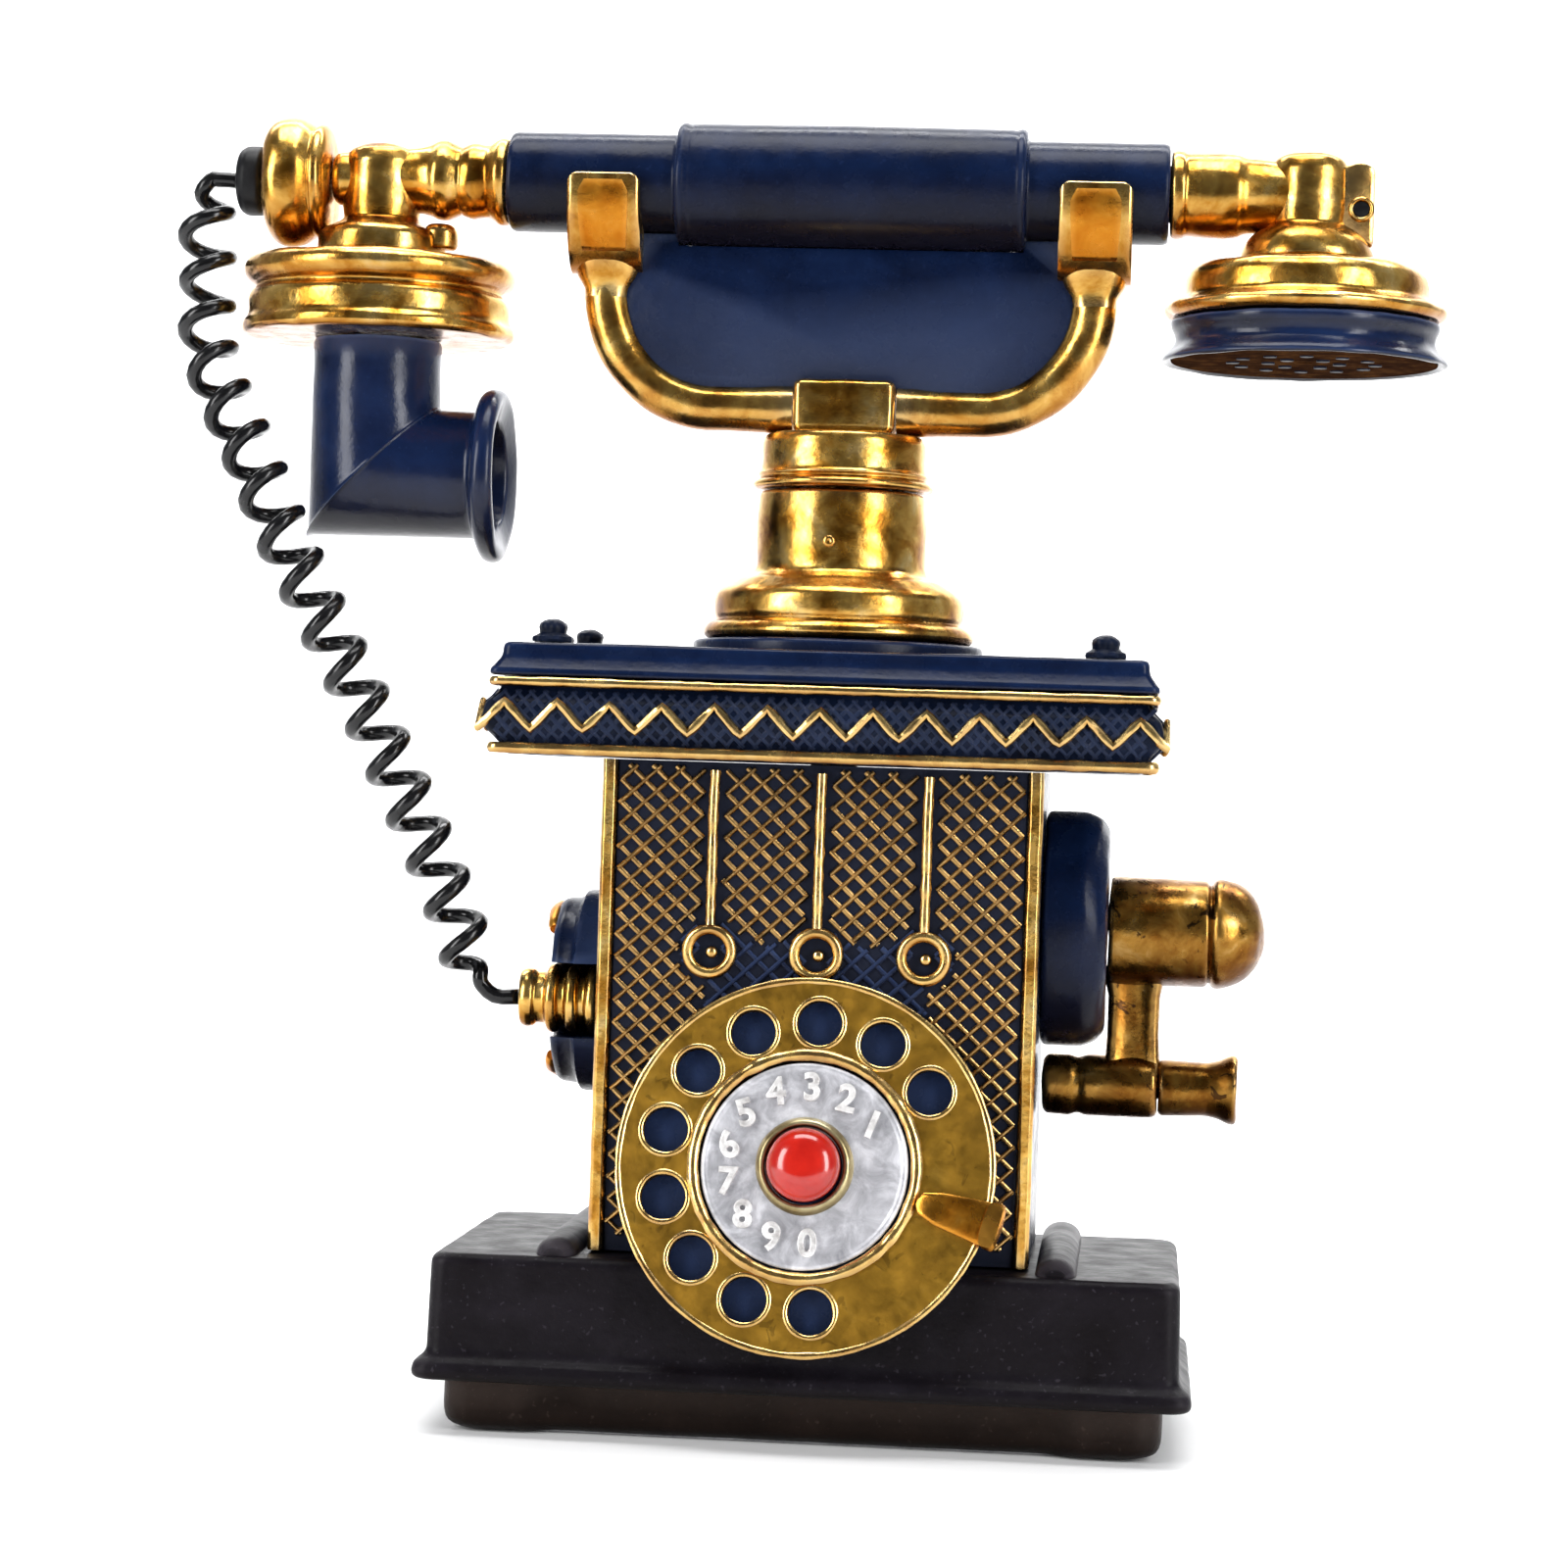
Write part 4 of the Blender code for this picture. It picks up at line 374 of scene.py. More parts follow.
for side, word in ((-1, "left"), (1, "right")):
    moulding_rings = []
    for y, swell in ((-0.0385, 0.0), (-0.0383, 0.55), (-0.0370, 0.85), (-0.0340, 1.0), (0.0, 1.0),
                     (0.0340, 1.0), (0.0370, 0.85), (0.0383, 0.55), (0.0385, 0.0)):
        ring = []
        for step in range(13):
            angle = math.radians(180 * step / 12)
            reach = 0.0043 * max(swell, 0.05)
            ring.append(Vector((side * 0.0515 + reach * math.cos(angle), y,
                                base_top - 0.0006 + 0.0042 * swell * math.sin(angle) ** 0.8)))
        moulding_rings.append(ring)
    moulding = skinned(moulding_rings)
    hand_cast(moulding, 0.00015, 0.006)
    piece("base_moulding_" + word, moulding, charcoal, "housing")

# ------------------------------------------------------------------- body walls
# The upright box of sheet metal in satin navy, with eased corners. The front
# wall carries the pierced panel; the other three are plain.
navy = brushed_paint(
    "satin_navy_paint", ((0.0016, 0.0046, 0.0185), (0.0030, 0.0084, 0.0320), (0.0056, 0.0145, 0.0500)),
    (0.045, 0.068, 0.150), 0.55, (0.20, 0.34), 0.08, 0.13)
shadowed_navy = brushed_paint(
    "shadowed_navy_paint", ((0.0006, 0.0014, 0.0050), (0.0011, 0.0026, 0.0092), (0.0020, 0.0046, 0.0150)),
    (0.030, 0.036, 0.060), 0.4, (0.40, 0.60), 0.05, 0.05)
body_low, body_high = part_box("body_shell")
body_width = body_high.x - body_low.x
body_depth = body_high.y - body_low.y
wall_rings = [box_ring(body_width - inset, body_depth - inset, 0.0014, height, along=24)
              for inset, height in ((0.0006, body_low.z), (0.0, body_low.z + 0.0004), (0.0, 0.062),
                                    (0.0, 0.088), (0.0, 0.114), (0.0, body_high.z))]
walls = skinned(wall_rings, capped=False)
hand_cast(walls, 0.00014, 0.016)
piece("body_walls", walls, navy, "housing", "body_shell")

# --------------------------------------------------------- front panel and bars
# A sheet of navy metal behind a diagonal lattice of cast bars. The lattice fills
# four bays between the edge strips and the three hanging rods, and runs on behind
# the dial. It is gilded except between the hanging rings and the dial.
panel_low, panel_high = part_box("front_grille")
panel_face = panel_low.y
panel = skinned([[Vector((x, y, z)) for x, z in ((panel_low.x, panel_low.z), (panel_high.x, panel_low.z),
                                                 (panel_high.x, panel_high.z), (panel_low.x, panel_high.z))]
                 for y in (panel_high.y, panel_face)])
piece("front_sheet", panel, shadowed_navy, "housing", "front_grille")


def gilt(name, colours, gloss, bright=0.55, spots=0.0, grain=1.0):
    """Antique gold: cloudy gilding, bright rubbed ridges, and brown painted shade in the hollows and on
    surfaces that face the floor.
    """
    material, tree, shader = finish_of(name)
    brown, deep, clear, pale_gold = colours
    cloud = clouds(tree, 120, 5, 0.62, 0.5)
    base = steps_of(tree, cloud, ((0.28, brown), (0.42, deep), (0.58, clear), (0.80, pale_gold)))
    ridge = edges_and_hollows(tree)
    # Painted shade: the hollows are darkened to the brown.
    painted_hollow_shade = steps_of(tree, ridge, ((0.425, 0.85), (0.488, 0.0)))
    base = laid_over(tree, painted_hollow_shade, base, brown)
    rubbed = steps_of(tree, ridge, ((0.512, 0.0), (0.565, bright)))
    base = laid_over(tree, rubbed, base, pale_gold)
    if spots:
        worn = steps_of(tree, clouds(tree, 260, 3, 0.6, 0.8), ((0.635, 0.0), (0.665, spots)))
        base = laid_over(tree, worn, base, (0.020, 0.012, 0.008))
    # Painted shade: surfaces that face the floor are darkened to the brown.
    under = steps_of(tree, facing_up(tree), ((0.06, 0.92), (0.42, 0.35), (0.62, 0.0)))
    base = laid_over(tree, under, base, brown)
    tree.links.new(base, shader.inputs["Base Color"])
    shader.inputs["Metallic"].default_value = 1.0
    sheen = steps_of(tree, clouds(tree, 210, 4, 0.6), ((0.30, gloss[0]), (0.72, gloss[1])))
    tree.links.new(sheen, shader.inputs["Roughness"])
    relief(tree, shader, ((clouds(tree, 130, 3, 0.5), 0.30 * grain, 0.0006),
                          (clouds(tree, 800, 3, 0.6), 0.20 * grain, 0.0002)))
    return material


antique_gold = gilt(
    "antique_gold", ((0.20, 0.066, 0.007), (0.52, 0.24, 0.030), (0.83, 0.51, 0.120), (1.00, 0.79, 0.38)),
    (0.16, 0.33))
lattice_gold = gilt(
    "lattice_gold", ((0.050, 0.021, 0.008), (0.20, 0.092, 0.022), (0.46, 0.235, 0.055), (0.86, 0.56, 0.22)),
    (0.22, 0.40), grain=1.6)


def bar(bm, start, end, width, height, out, sections=2):
    """Add a ridge-backed bar between two points, standing out of a face."""
    along = (end - start).normalized()
    across = along.cross(out)
    rows = []
    for section in range(sections + 1):
        share = section / sections
        middle = start.lerp(end, share)
        wander = 1 + 0.22 * noise.noise(middle * 420)
        ring = []
        for offset, rise in ((-0.5, 0.0), (-0.42, 0.62), (-0.15, 0.95), (0.15, 0.95), (0.42, 0.62),
                             (0.5, 0.0)):
            reach = across * offset * width + out * rise * height
            ring.append(bm.verts.new(middle + reach * wander))
        rows.append(ring)
    for first, second in zip(rows, rows[1:]):
        for i in range(6):
            j = (i + 1) % 6
            bm.faces.new((first[i], first[j], second[j], second[i]))
    bm.faces.new(list(reversed(rows[0])))
    bm.faces.new(rows[-1])


trim_width = 0.0032
drop_spacing = 0.0222
drop_ring_height = base_top + 0.0635
dial_low, dial_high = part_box("finger_wheel")
dial_middle_z = (dial_low.z + dial_high.z) / 2
hidden_by_dial = 0.0362
lattice_pitch = 0.00335
lattice_slope = math.radians(43)
lattice_bar_width = 0.00108


def on_panel(x, z):
    """Whether a bar may lie on a point of the front panel."""
    side = body_width / 2 - trim_width - 0.0004
    if not (abs(x) < side and panel_low.z + 0.003 < z < panel_high.z - 0.0008):
        return False
    nearest_rod = min(abs(x - place * drop_spacing) for place in (-1, 0, 1))
    if nearest_rod < 0.0021 and z > drop_ring_height - 0.006:
        return False
    return math.hypot(x, z - dial_middle_z) > hidden_by_dial


def is_gilded(x, z):
    """Whether the bars on a point of the panel are gold, or left navy."""
    if abs(x) < drop_spacing + 0.001:
        between = abs(abs(x) - drop_spacing / 2) / (drop_spacing / 2)
        return z > drop_ring_height + 0.0015 + 0.010 * between ** 2
    return math.hypot(abs(x) - drop_spacing, z - drop_ring_height) > 0.0066


def lay_bars(bm, covers, tall):
    """Lay two crossing sets of bars where a test says that they belong."""
    for lean in (1, -1):
        across_way = Vector((math.cos(lattice_slope), 0, lean * math.sin(lattice_slope)))
        step_way = Vector((-lean * math.sin(lattice_slope), 0, math.cos(lattice_slope)))
        for line in range(-40, 41):
            begin = None
            last_inside = None
            for tick in range(-110, 111):
                point = Vector((0, 0, 0.092)) + step_way * line * lattice_pitch + across_way * tick * 0.0009
                inside = covers(point.x, point.z)
                if inside:
                    begin = begin or point.copy()
                    last_inside = point.copy()
                if not inside and begin is not None:
                    if (last_inside - begin).length > 0.0016:
                        for spot in (begin, last_inside):
                            spot.y = panel_face
                        sections = max(2, int((last_inside - begin).length / 0.0022))
                        bar(bm, begin, last_inside, lattice_bar_width, tall + 0.0001 * lean,
                            out_of_front, sections)
                    begin = None


lattice = bmesh.new()
plain_lattice = bmesh.new()
out_of_front = Vector((0, -1, 0))
lay_bars(lattice, lambda x, z: on_panel(x, z) and is_gilded(x, z), 0.00075)
lay_bars(plain_lattice, lambda x, z: on_panel(x, z) and not is_gilded(x, z), 0.00062)
piece("lattice_bars_plain", plain_lattice, navy, "housing")
piece("lattice_bars", lattice, lattice_gold, "housing")

# ------------------------------------------------- edge strips and hanging rings
# Gold strips run down the panel's edges. Three gold rods hang over the lattice,
# each ending in a thick ring with a screw head inside.
for side, word in ((-1, "left"), (1, "right")):
    strip_low, strip_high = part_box("edge_trim_" + word)
    middle_x = (strip_low.x + strip_high.x) / 2
    half = (strip_high.x - strip_low.x) / 2
    strip_rings = []
    for step in range(31):
        height = strip_low.z + (strip_high.z - strip_low.z) * step / 30
        wander = 0.00012 * noise.noise(Vector((side * 5, 0, height * 160)))
        ring = []
        for reach, rise in eased([(-1.0, 0.0), (-1.0, 0.45), (-0.62, 0.96), (-0.2, 1.0), (0.25, 0.93),
                                  (0.62, 0.96), (1.0, 0.45), (1.0, 0.0)], 0.12, 2):
            ring.append(Vector((middle_x + half * reach + wander, strip_high.y - 0.0022 * rise, height)))
        strip_rings.append(ring)
    piece("edge_strip_" + word, skinned(strip_rings), antique_gold, "housing", "edge_trim_" + word)


def circle_of(count):
    """Cosine and sine at even steps round a circle."""
    return [(math.cos(2 * math.pi * k / count), math.sin(2 * math.pi * k / count)) for k in range(count)]


def swept(line, radius, around=12, taper=None, up=Vector((0, 1, 0))):
    """Rings of points round a line, for skinning a round bar along it."""
    rings = []
    side = None
    for index, point in enumerate(line):
        along = (line[min(index + 1, len(line) - 1)] - line[max(index - 1, 0)]).normalized()
        side = up if side is None else side
        side = (side - along * side.dot(along)).normalized()
        other = along.cross(side)
        reach = radius * (taper[index] if taper else 1.0)
        rings.append([point + reach * (side * cosine + other * sine) for cosine, sine in circle_of(around)])
    return rings


for place, word in ((-1, "left"), (0, "centre"), (1, "right")):
    ring_low, ring_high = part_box("drop_ring_" + word)
    level_y = (ring_low.y + ring_high.y) / 2
    middle = Vector((place * drop_spacing, level_y, drop_ring_height))
    rod_line = [Vector((middle.x + 0.00015 * noise.noise(Vector((place, 0, height * 90))), level_y, height))
                for height in [drop_ring_height + 0.0055 + 0.0008 * step for step in range(42)]
                if height < ring_high.z - 0.0008]
    widths = [1.12 + 0.16 * noise.noise(Vector((place * 7, 2, spot.z * 300))) for spot in rod_line]
    drop = skinned(swept(rod_line, 0.0010, 10, widths))
    hoop_rings = []
    for across, up in circle_of(36):
        outward = Vector((across, 0, up))
        spot = middle + 0.0046 * outward
        thick = 0.00118 + 0.0001 * noise.noise(spot * 300)
        hoop_rings.append([spot + outward * thick * cosine + Vector((0, 0.0011 * sine, 0))
                           for cosine, sine in circle_of(12)])
    hoop_skin = skinned(hoop_rings, closed=True)
    screw_rings = [[middle + Vector((0.0004 + reach * cosine, 0.0009 - rise, reach * sine - 0.0002))
                    for cosine, sine in circle_of(14)]
                   for reach, rise in ((0.0013, 0.0), (0.0012, 0.0006), (0.0008, 0.0010), (0.0002, 0.0011))]
    screw_skin = skinned(screw_rings)
    for extra in (hoop_skin, screw_skin):
        spare = bpy.data.meshes.new("drop_part")
        extra.to_mesh(spare)
        extra.free()
        drop.from_mesh(spare)
        bpy.data.meshes.remove(spare)
    piece("hanging_ring_" + word, drop, antique_gold, "housing", "drop_ring_" + word)

# ---------------------------------------------------------------------- cornice
# A bulging navy frieze, hatched by hand, between two gold beads. A gold wave
# runs round its middle, and a plain coved roof plate lies on it.
frieze_low, frieze_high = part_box("frieze")
cornice_width = frieze_high.x - frieze_low.x
cornice_depth = frieze_high.y - frieze_low.y
frieze_foot = frieze_low.z
hatched_navy, hatch_tree, hatch_shader = finish_of("hatched_navy_paint")
hatch_base = steps_of(hatch_tree, clouds(hatch_tree, 90, 5, 0.6, 0.4),
                      ((0.30, (0.0012, 0.0026, 0.0080)), (0.52, (0.0028, 0.0060, 0.0175)),
                       (0.76, (0.0070, 0.0125, 0.0340))))
hatch_ridge = steps_of(hatch_tree, edges_and_hollows(hatch_tree), ((0.515, 0.0), (0.62, 0.40)))
hatch_tree.links.new(laid_over(hatch_tree, hatch_ridge, hatch_base, (0.030, 0.042, 0.085)),
                     hatch_shader.inputs["Base Color"])
hatch_tree.links.new(steps_of(hatch_tree, clouds(hatch_tree, 150, 4), ((0.3, 0.30), (0.7, 0.48))),
                     hatch_shader.inputs["Roughness"])
hatch_shader.inputs["Specular IOR Level"].default_value = 0.08
relief(hatch_tree, hatch_shader, (
    (clouds(hatch_tree, 260, 2, 0.5, 0.0, (1.0, 1.0, 0.35)), 0.9, 0.0010),
    (clouds(hatch_tree, 900, 2, 0.5), 0.35, 0.0003)))
band_profile = eased(
    [(0.0300, 0.0000), (0.0052, 0.0000), (0.0040, 0.0010), (0.0038, 0.0028), (0.0014, 0.0052),
     (0.0006, 0.0080), (0.0014, 0.0108), (0.0038, 0.0132), (0.0040, 0.0144), (0.0052, 0.0158),
     (0.0300, 0.0158)], 0.0009, 3)
band_rings = [box_ring(cornice_width - 2 * inset, cornice_depth - 2 * inset, 0.0016, frieze_foot + rise,
                       along=60)
              for inset, rise in band_profile]
piece("frieze_band", skinned(band_rings), hatched_navy, "housing", "frieze")

# Short crossing cuts between the beads, raised like those of the front lattice.
cut_pitch = 0.0029
band_bulge = ((0.0028, 0.0038), (0.0052, 0.0014), (0.0080, 0.0006), (0.0108, 0.0014), (0.0132, 0.0038))
cuts = bmesh.new()
for out, half_out, half_along in ((Vector((0, -1, 0)), cornice_depth / 2, cornice_width / 2),
                                  (Vector((0, 1, 0)), cornice_depth / 2, cornice_width / 2),
                                  (Vector((-1, 0, 0)), cornice_width / 2, cornice_depth / 2),
                                  (Vector((1, 0, 0)), cornice_width / 2, cornice_depth / 2)):
    run_way = out.cross(Vector((0, 0, 1)))
    count = int(2 * half_along / cut_pitch)
    for lean in (1, -1):
        for index in range(-4, count + 4):
            foot_at = -half_along + 0.0016 + index * cut_pitch
            foot_at += 0.0005 * noise.noise(Vector((index * 1.7, lean, 2)))
            spots = []
            for rise, inset in band_bulge:
                place = foot_at + lean * (rise - 0.0080) * 0.95
                if abs(place) < half_along - 0.0022:
                    spots.append(out * (half_out - inset - 0.0001) + run_way * place
                                 + Vector((0, 0, frieze_foot + rise)))
            for start, stop in zip(spots, spots[1:]):
                bar(cuts, start, stop, 0.0011, 0.00042 + 0.00006 * lean, out, 1)
piece("frieze_cuts", cuts, hatched_navy, "housing")


def bead_round(name, height, drop, inset, finish):
    """Gold bead that runs round the cornice at one height, with a hand-laid edge."""
    line = box_ring(cornice_width - 2 * inset, cornice_depth - 2 * inset, 0.0016, height, along=80)
    rings = []
    for index, spot in enumerate(line):
        ahead_way = (line[(index + 1) % len(line)] - line[index - 1]).normalized()
        outward = ahead_way.cross(Vector((0, 0, 1))).normalized()
        wander = 1 + 0.20 * noise.noise(spot * 260)
        rings.append([spot + outward * 0.00085 * wander * cosine + Vector((0, 0, 1.25 * drop * wander * sine))
                      for cosine, sine in circle_of(10)])
    return piece(name, skinned(rings, closed=True), finish, "housing")


bead_round("cornice_bead_lower", frieze_foot + 0.0013, 0.00095, 0.0024, antique_gold)
bead_round("cornice_bead_upper", frieze_foot + 0.0150, 0.00080, 0.0024, antique_gold)


def squared(value, power):
    """A cosine or sine raised to a power with its sign kept, which squares a circle up."""
    return math.copysign(abs(value) ** power, value)


wave_height = 0.0027
wave_rings = []
wave_inset = 0.0002
corner_x = cornice_width / 2 - wave_inset
corner_y = cornice_depth / 2 - wave_inset
wave_corners = [Vector((-corner_x, -corner_y, 0)), Vector((corner_x, -corner_y, 0)),
                Vector((corner_x, corner_y, 0)), Vector((-corner_x, corner_y, 0))]
wave_middle = frieze_foot + 0.0080
wave_line = []
for side, count in enumerate((13, 7, 13, 7)):
    start = wave_corners[side]
    stop = wave_corners[(side + 1) % 4]
    for step in range(count * 12):
        share = step / (count * 12)
        phase = share * count
        swing = squared(2 * abs(2 * (phase % 1.0) - 1) - 1, 0.92)
        lift = 1 + 0.18 * noise.noise(Vector((side * 3, math.floor(phase * 2) * 1.7, 5)))
        spot = start.lerp(stop, share)
        spot.z = wave_middle - wave_height * swing * lift + 0.0004 * noise.noise(Vector((side, phase, 9)))
        wave_line.append(spot)
for index, spot in enumerate(wave_line):
    along = (wave_line[(index + 1) % len(wave_line)] - wave_line[index - 1]).normalized()
    on_end = abs(spot.x) > corner_x - 1e-4
    outward = Vector((spot.x / corner_x, 0, 0)) if on_end else Vector((0, spot.y / corner_y, 0))
    beside = along.cross(outward).normalized()
    broad = 0.00092 * (1 + 0.25 * noise.noise(spot * 350))
    wave_rings.append([spot + outward * 0.00078 * cosine + beside * broad * sine
                       for cosine, sine in circle_of(8)])
piece("frieze_wave", skinned(wave_rings, closed=True), antique_gold, "housing", "zigzag_trim")

roof_low, roof_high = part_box("roof")
washer_radius = 0.0310
plate_top = roof_high.z - 0.0027
roof_profile = eased(
    [(0.0500, roof_low.z), (0.0019, roof_low.z), (0.0019, roof_low.z + 0.0012), (0.0026, roof_low.z + 0.0020),
     (0.0040, roof_low.z + 0.0040), (0.0042, plate_top - 0.0006), (0.0050, plate_top), (0.0400, plate_top)],
    0.0008, 4)[1:-1]
roof_rings = [box_ring(cornice_width - 2 * inset, cornice_depth - 2 * inset, 0.0018, height, along=40)
              for inset, height in roof_profile]
roof_skin = skinned(roof_rings)
hand_cast(roof_skin, 0.00016, 0.014)
piece("roof_plate", roof_skin, navy, "housing", "roof")


def lathe(name, outline, finish, body, stands_for=(), at=(0, 0, 0), turn=(0, 0, 0),
          ease=0.0005, around=96, wave=0.0001, sharp=38):
    """Turned piece: an outline of (radius, height) spun about its own upright axis."""
    bm = bmesh.new()
    rings = []
    for radius, height in eased(outline, ease):
        if radius < 1e-7:
            rings.append([bm.verts.new((0, 0, height))])
        else:
            rings.append([bm.verts.new((radius * cosine, radius * sine, height))
                          for cosine, sine in circle_of(around)])
    for lower, upper in zip(rings, rings[1:]):
        for k in range(around):
            n = (k + 1) % around
            face = [ring[i % len(ring)] for ring, i in ((lower, k), (lower, n), (upper, n), (upper, k))]
            face = [vert for i, vert in enumerate(face) if vert not in face[:i]]
            if len(face) > 2:
                bm.faces.new(face)
    if len(rings[0]) > 1 and len(rings[-1]) > 1 and outline[0][0] == outline[-1][0]:
        for k in range(around):
            n = (k + 1) % around
            bm.faces.new((rings[-1][k], rings[-1][n], rings[0][n], rings[0][k]))
    hand_cast(bm, wave, 0.007)
    return piece(name, bm, finish, body, stands_for, at, turn, sharp)


lathe("roof_washer", [(0, plate_top - 0.0004), (washer_radius, plate_top - 0.0004),
                      (washer_radius, roof_high.z - 0.0006), (washer_radius - 0.0008, roof_high.z),
                      (0, roof_high.z)], navy, "housing")

# Four cast rosettes: a scalloped skirt, a groove and a small dome.
for corner in ("front_left", "front_right", "rear_left", "rear_right"):
    knob_low, knob_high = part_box("corner_knob_" + corner)
    knob_x = (knob_low.x + knob_high.x) / 2
    knob_y = (knob_low.y + knob_high.y) / 2
    knob_rings = []
    for radius, rise, scallop in ((0.0001, 0.0, 0), (0.0044, 0.0, 1), (0.0046, 0.0005, 1),
                                  (0.0044, 0.0011, 1), (0.0034, 0.0016, 0.6), (0.0029, 0.0019, 0.2),
                                  (0.0030, 0.0026, 0.2), (0.0031, 0.0031, 0.4), (0.0028, 0.0038, 0.4),
                                  (0.0020, 0.0044, 0.3), (0.0010, 0.0048, 0.0), (0.0001, 0.0049, 0.0)):
        ring = []
        for k, (cosine, sine) in enumerate(circle_of(64)):
            reach = radius * (1 - 0.10 * scallop * abs(math.cos(math.pi * k / 8)))
            ring.append(Vector((reach * cosine, reach * sine, rise)))
        knob_rings.append(ring)
    knob = skinned(knob_rings)
    hand_cast(knob, 0.0002, 0.0016)
    piece("rosette_" + corner, knob, hatched_navy, "housing", "corner_knob_" + corner,
          at=(knob_x, knob_y, knob_low.z))

# ----------------------------------------------------------- pillar and collar
# A turned gold pillar on a round flange, with a small grub screw low on the
# front, and the collar that guides the cradle's plunger.
pillar_low, pillar_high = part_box("pillar")
z = pillar_low.z
flange = 0.0291
column = 0.0180
lathe("pillar_turning", [
    (0.0140, z), (flange - 0.0008, z), (flange, z + 0.0012), (flange - 0.0002, z + 0.0022),
    (flange - 0.0012, z + 0.0034), (flange - 0.0030, z + 0.0040), (flange - 0.0024, z + 0.0052),
    (flange - 0.0024, z + 0.0088), (flange - 0.0032, z + 0.0104), (flange - 0.0052, z + 0.0118),
    (column + 0.0042, z + 0.0130), (column + 0.0008, z + 0.0140), (column, z + 0.0158),
    (column + 0.0001, pillar_high.z - 0.0060), (column - 0.0003, pillar_high.z), (0.0140, pillar_high.z),
], antique_gold, "housing", "pillar", ease=0.0011, around=128, wave=0.0002)
lathe("pillar_grub_screw", [(0, 0), (0.0013, 0), (0.0012, 0.0006), (0.0006, 0.0008), (0, 0.0005)],
      antique_gold, "housing", at=(-0.0012, -column + 0.0001, z + 0.0205),
      turn=(math.pi / 2, 0, 0), ease=0.0002, around=20, wave=0.00008)
collar_low, collar_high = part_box("pillar_collar")
z = collar_low.z
lathe("collar_turning", [
    (0.0053, z), (0.0184, z), (0.0193, z + 0.0006), (0.0193, z + 0.0015), (0.0184, z + 0.0022),
    (0.0178, z + 0.0024), (0.0180, z + 0.0029), (0.0184, z + 0.0034), (0.0178, z + 0.0040),
    (0.0175, z + 0.0058), (0.0175, collar_high.z - 0.0016), (0.0168, collar_high.z), (0.0053, collar_high.z),
], antique_gold, "housing", "pillar_collar", ease=0.0006, around=128, wave=0.00014)

# ---------------------------------------------------------------------- cradle
# A gold block with two bent arms. Each arm steps up into a tab that holds the
# handset's sleeve from in front and behind; a navy web fills the fork.
block_low, block_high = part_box("cradle_block")
block_foot = collar_high.z + 0.0003
block_half = block_high.x
block_depth = 0.0160
block_profile = eased([(0.0050, block_foot), (0.0006, block_foot), (0.0, block_foot + 0.0012),
                       (0.0, block_high.z - 0.0012), (0.0010, block_high.z - 0.0002),
                       (0.0050, block_high.z)], 0.0008, 3)
block_skin = skinned([box_ring(2 * block_half - 2 * inset, block_depth - 2 * inset, 0.0016, height, along=8)
                      for inset, height in block_profile])
hand_cast(block_skin, 0.0002, 0.005)
piece("cradle_centre", block_skin, antique_gold, "cradle", "cradle_block")
lathe("cradle_plunger", [(0, block_low.z), (0.0035, block_low.z), (0.0040, block_low.z + 0.0005),
                         (0.0040, block_low.z + 0.0030), (0.0050, block_low.z + 0.0034),
                         (0.0050, block_foot + 0.0010), (0, block_foot + 0.0010)],
      antique_gold, "cradle", around=40, wave=0.0)

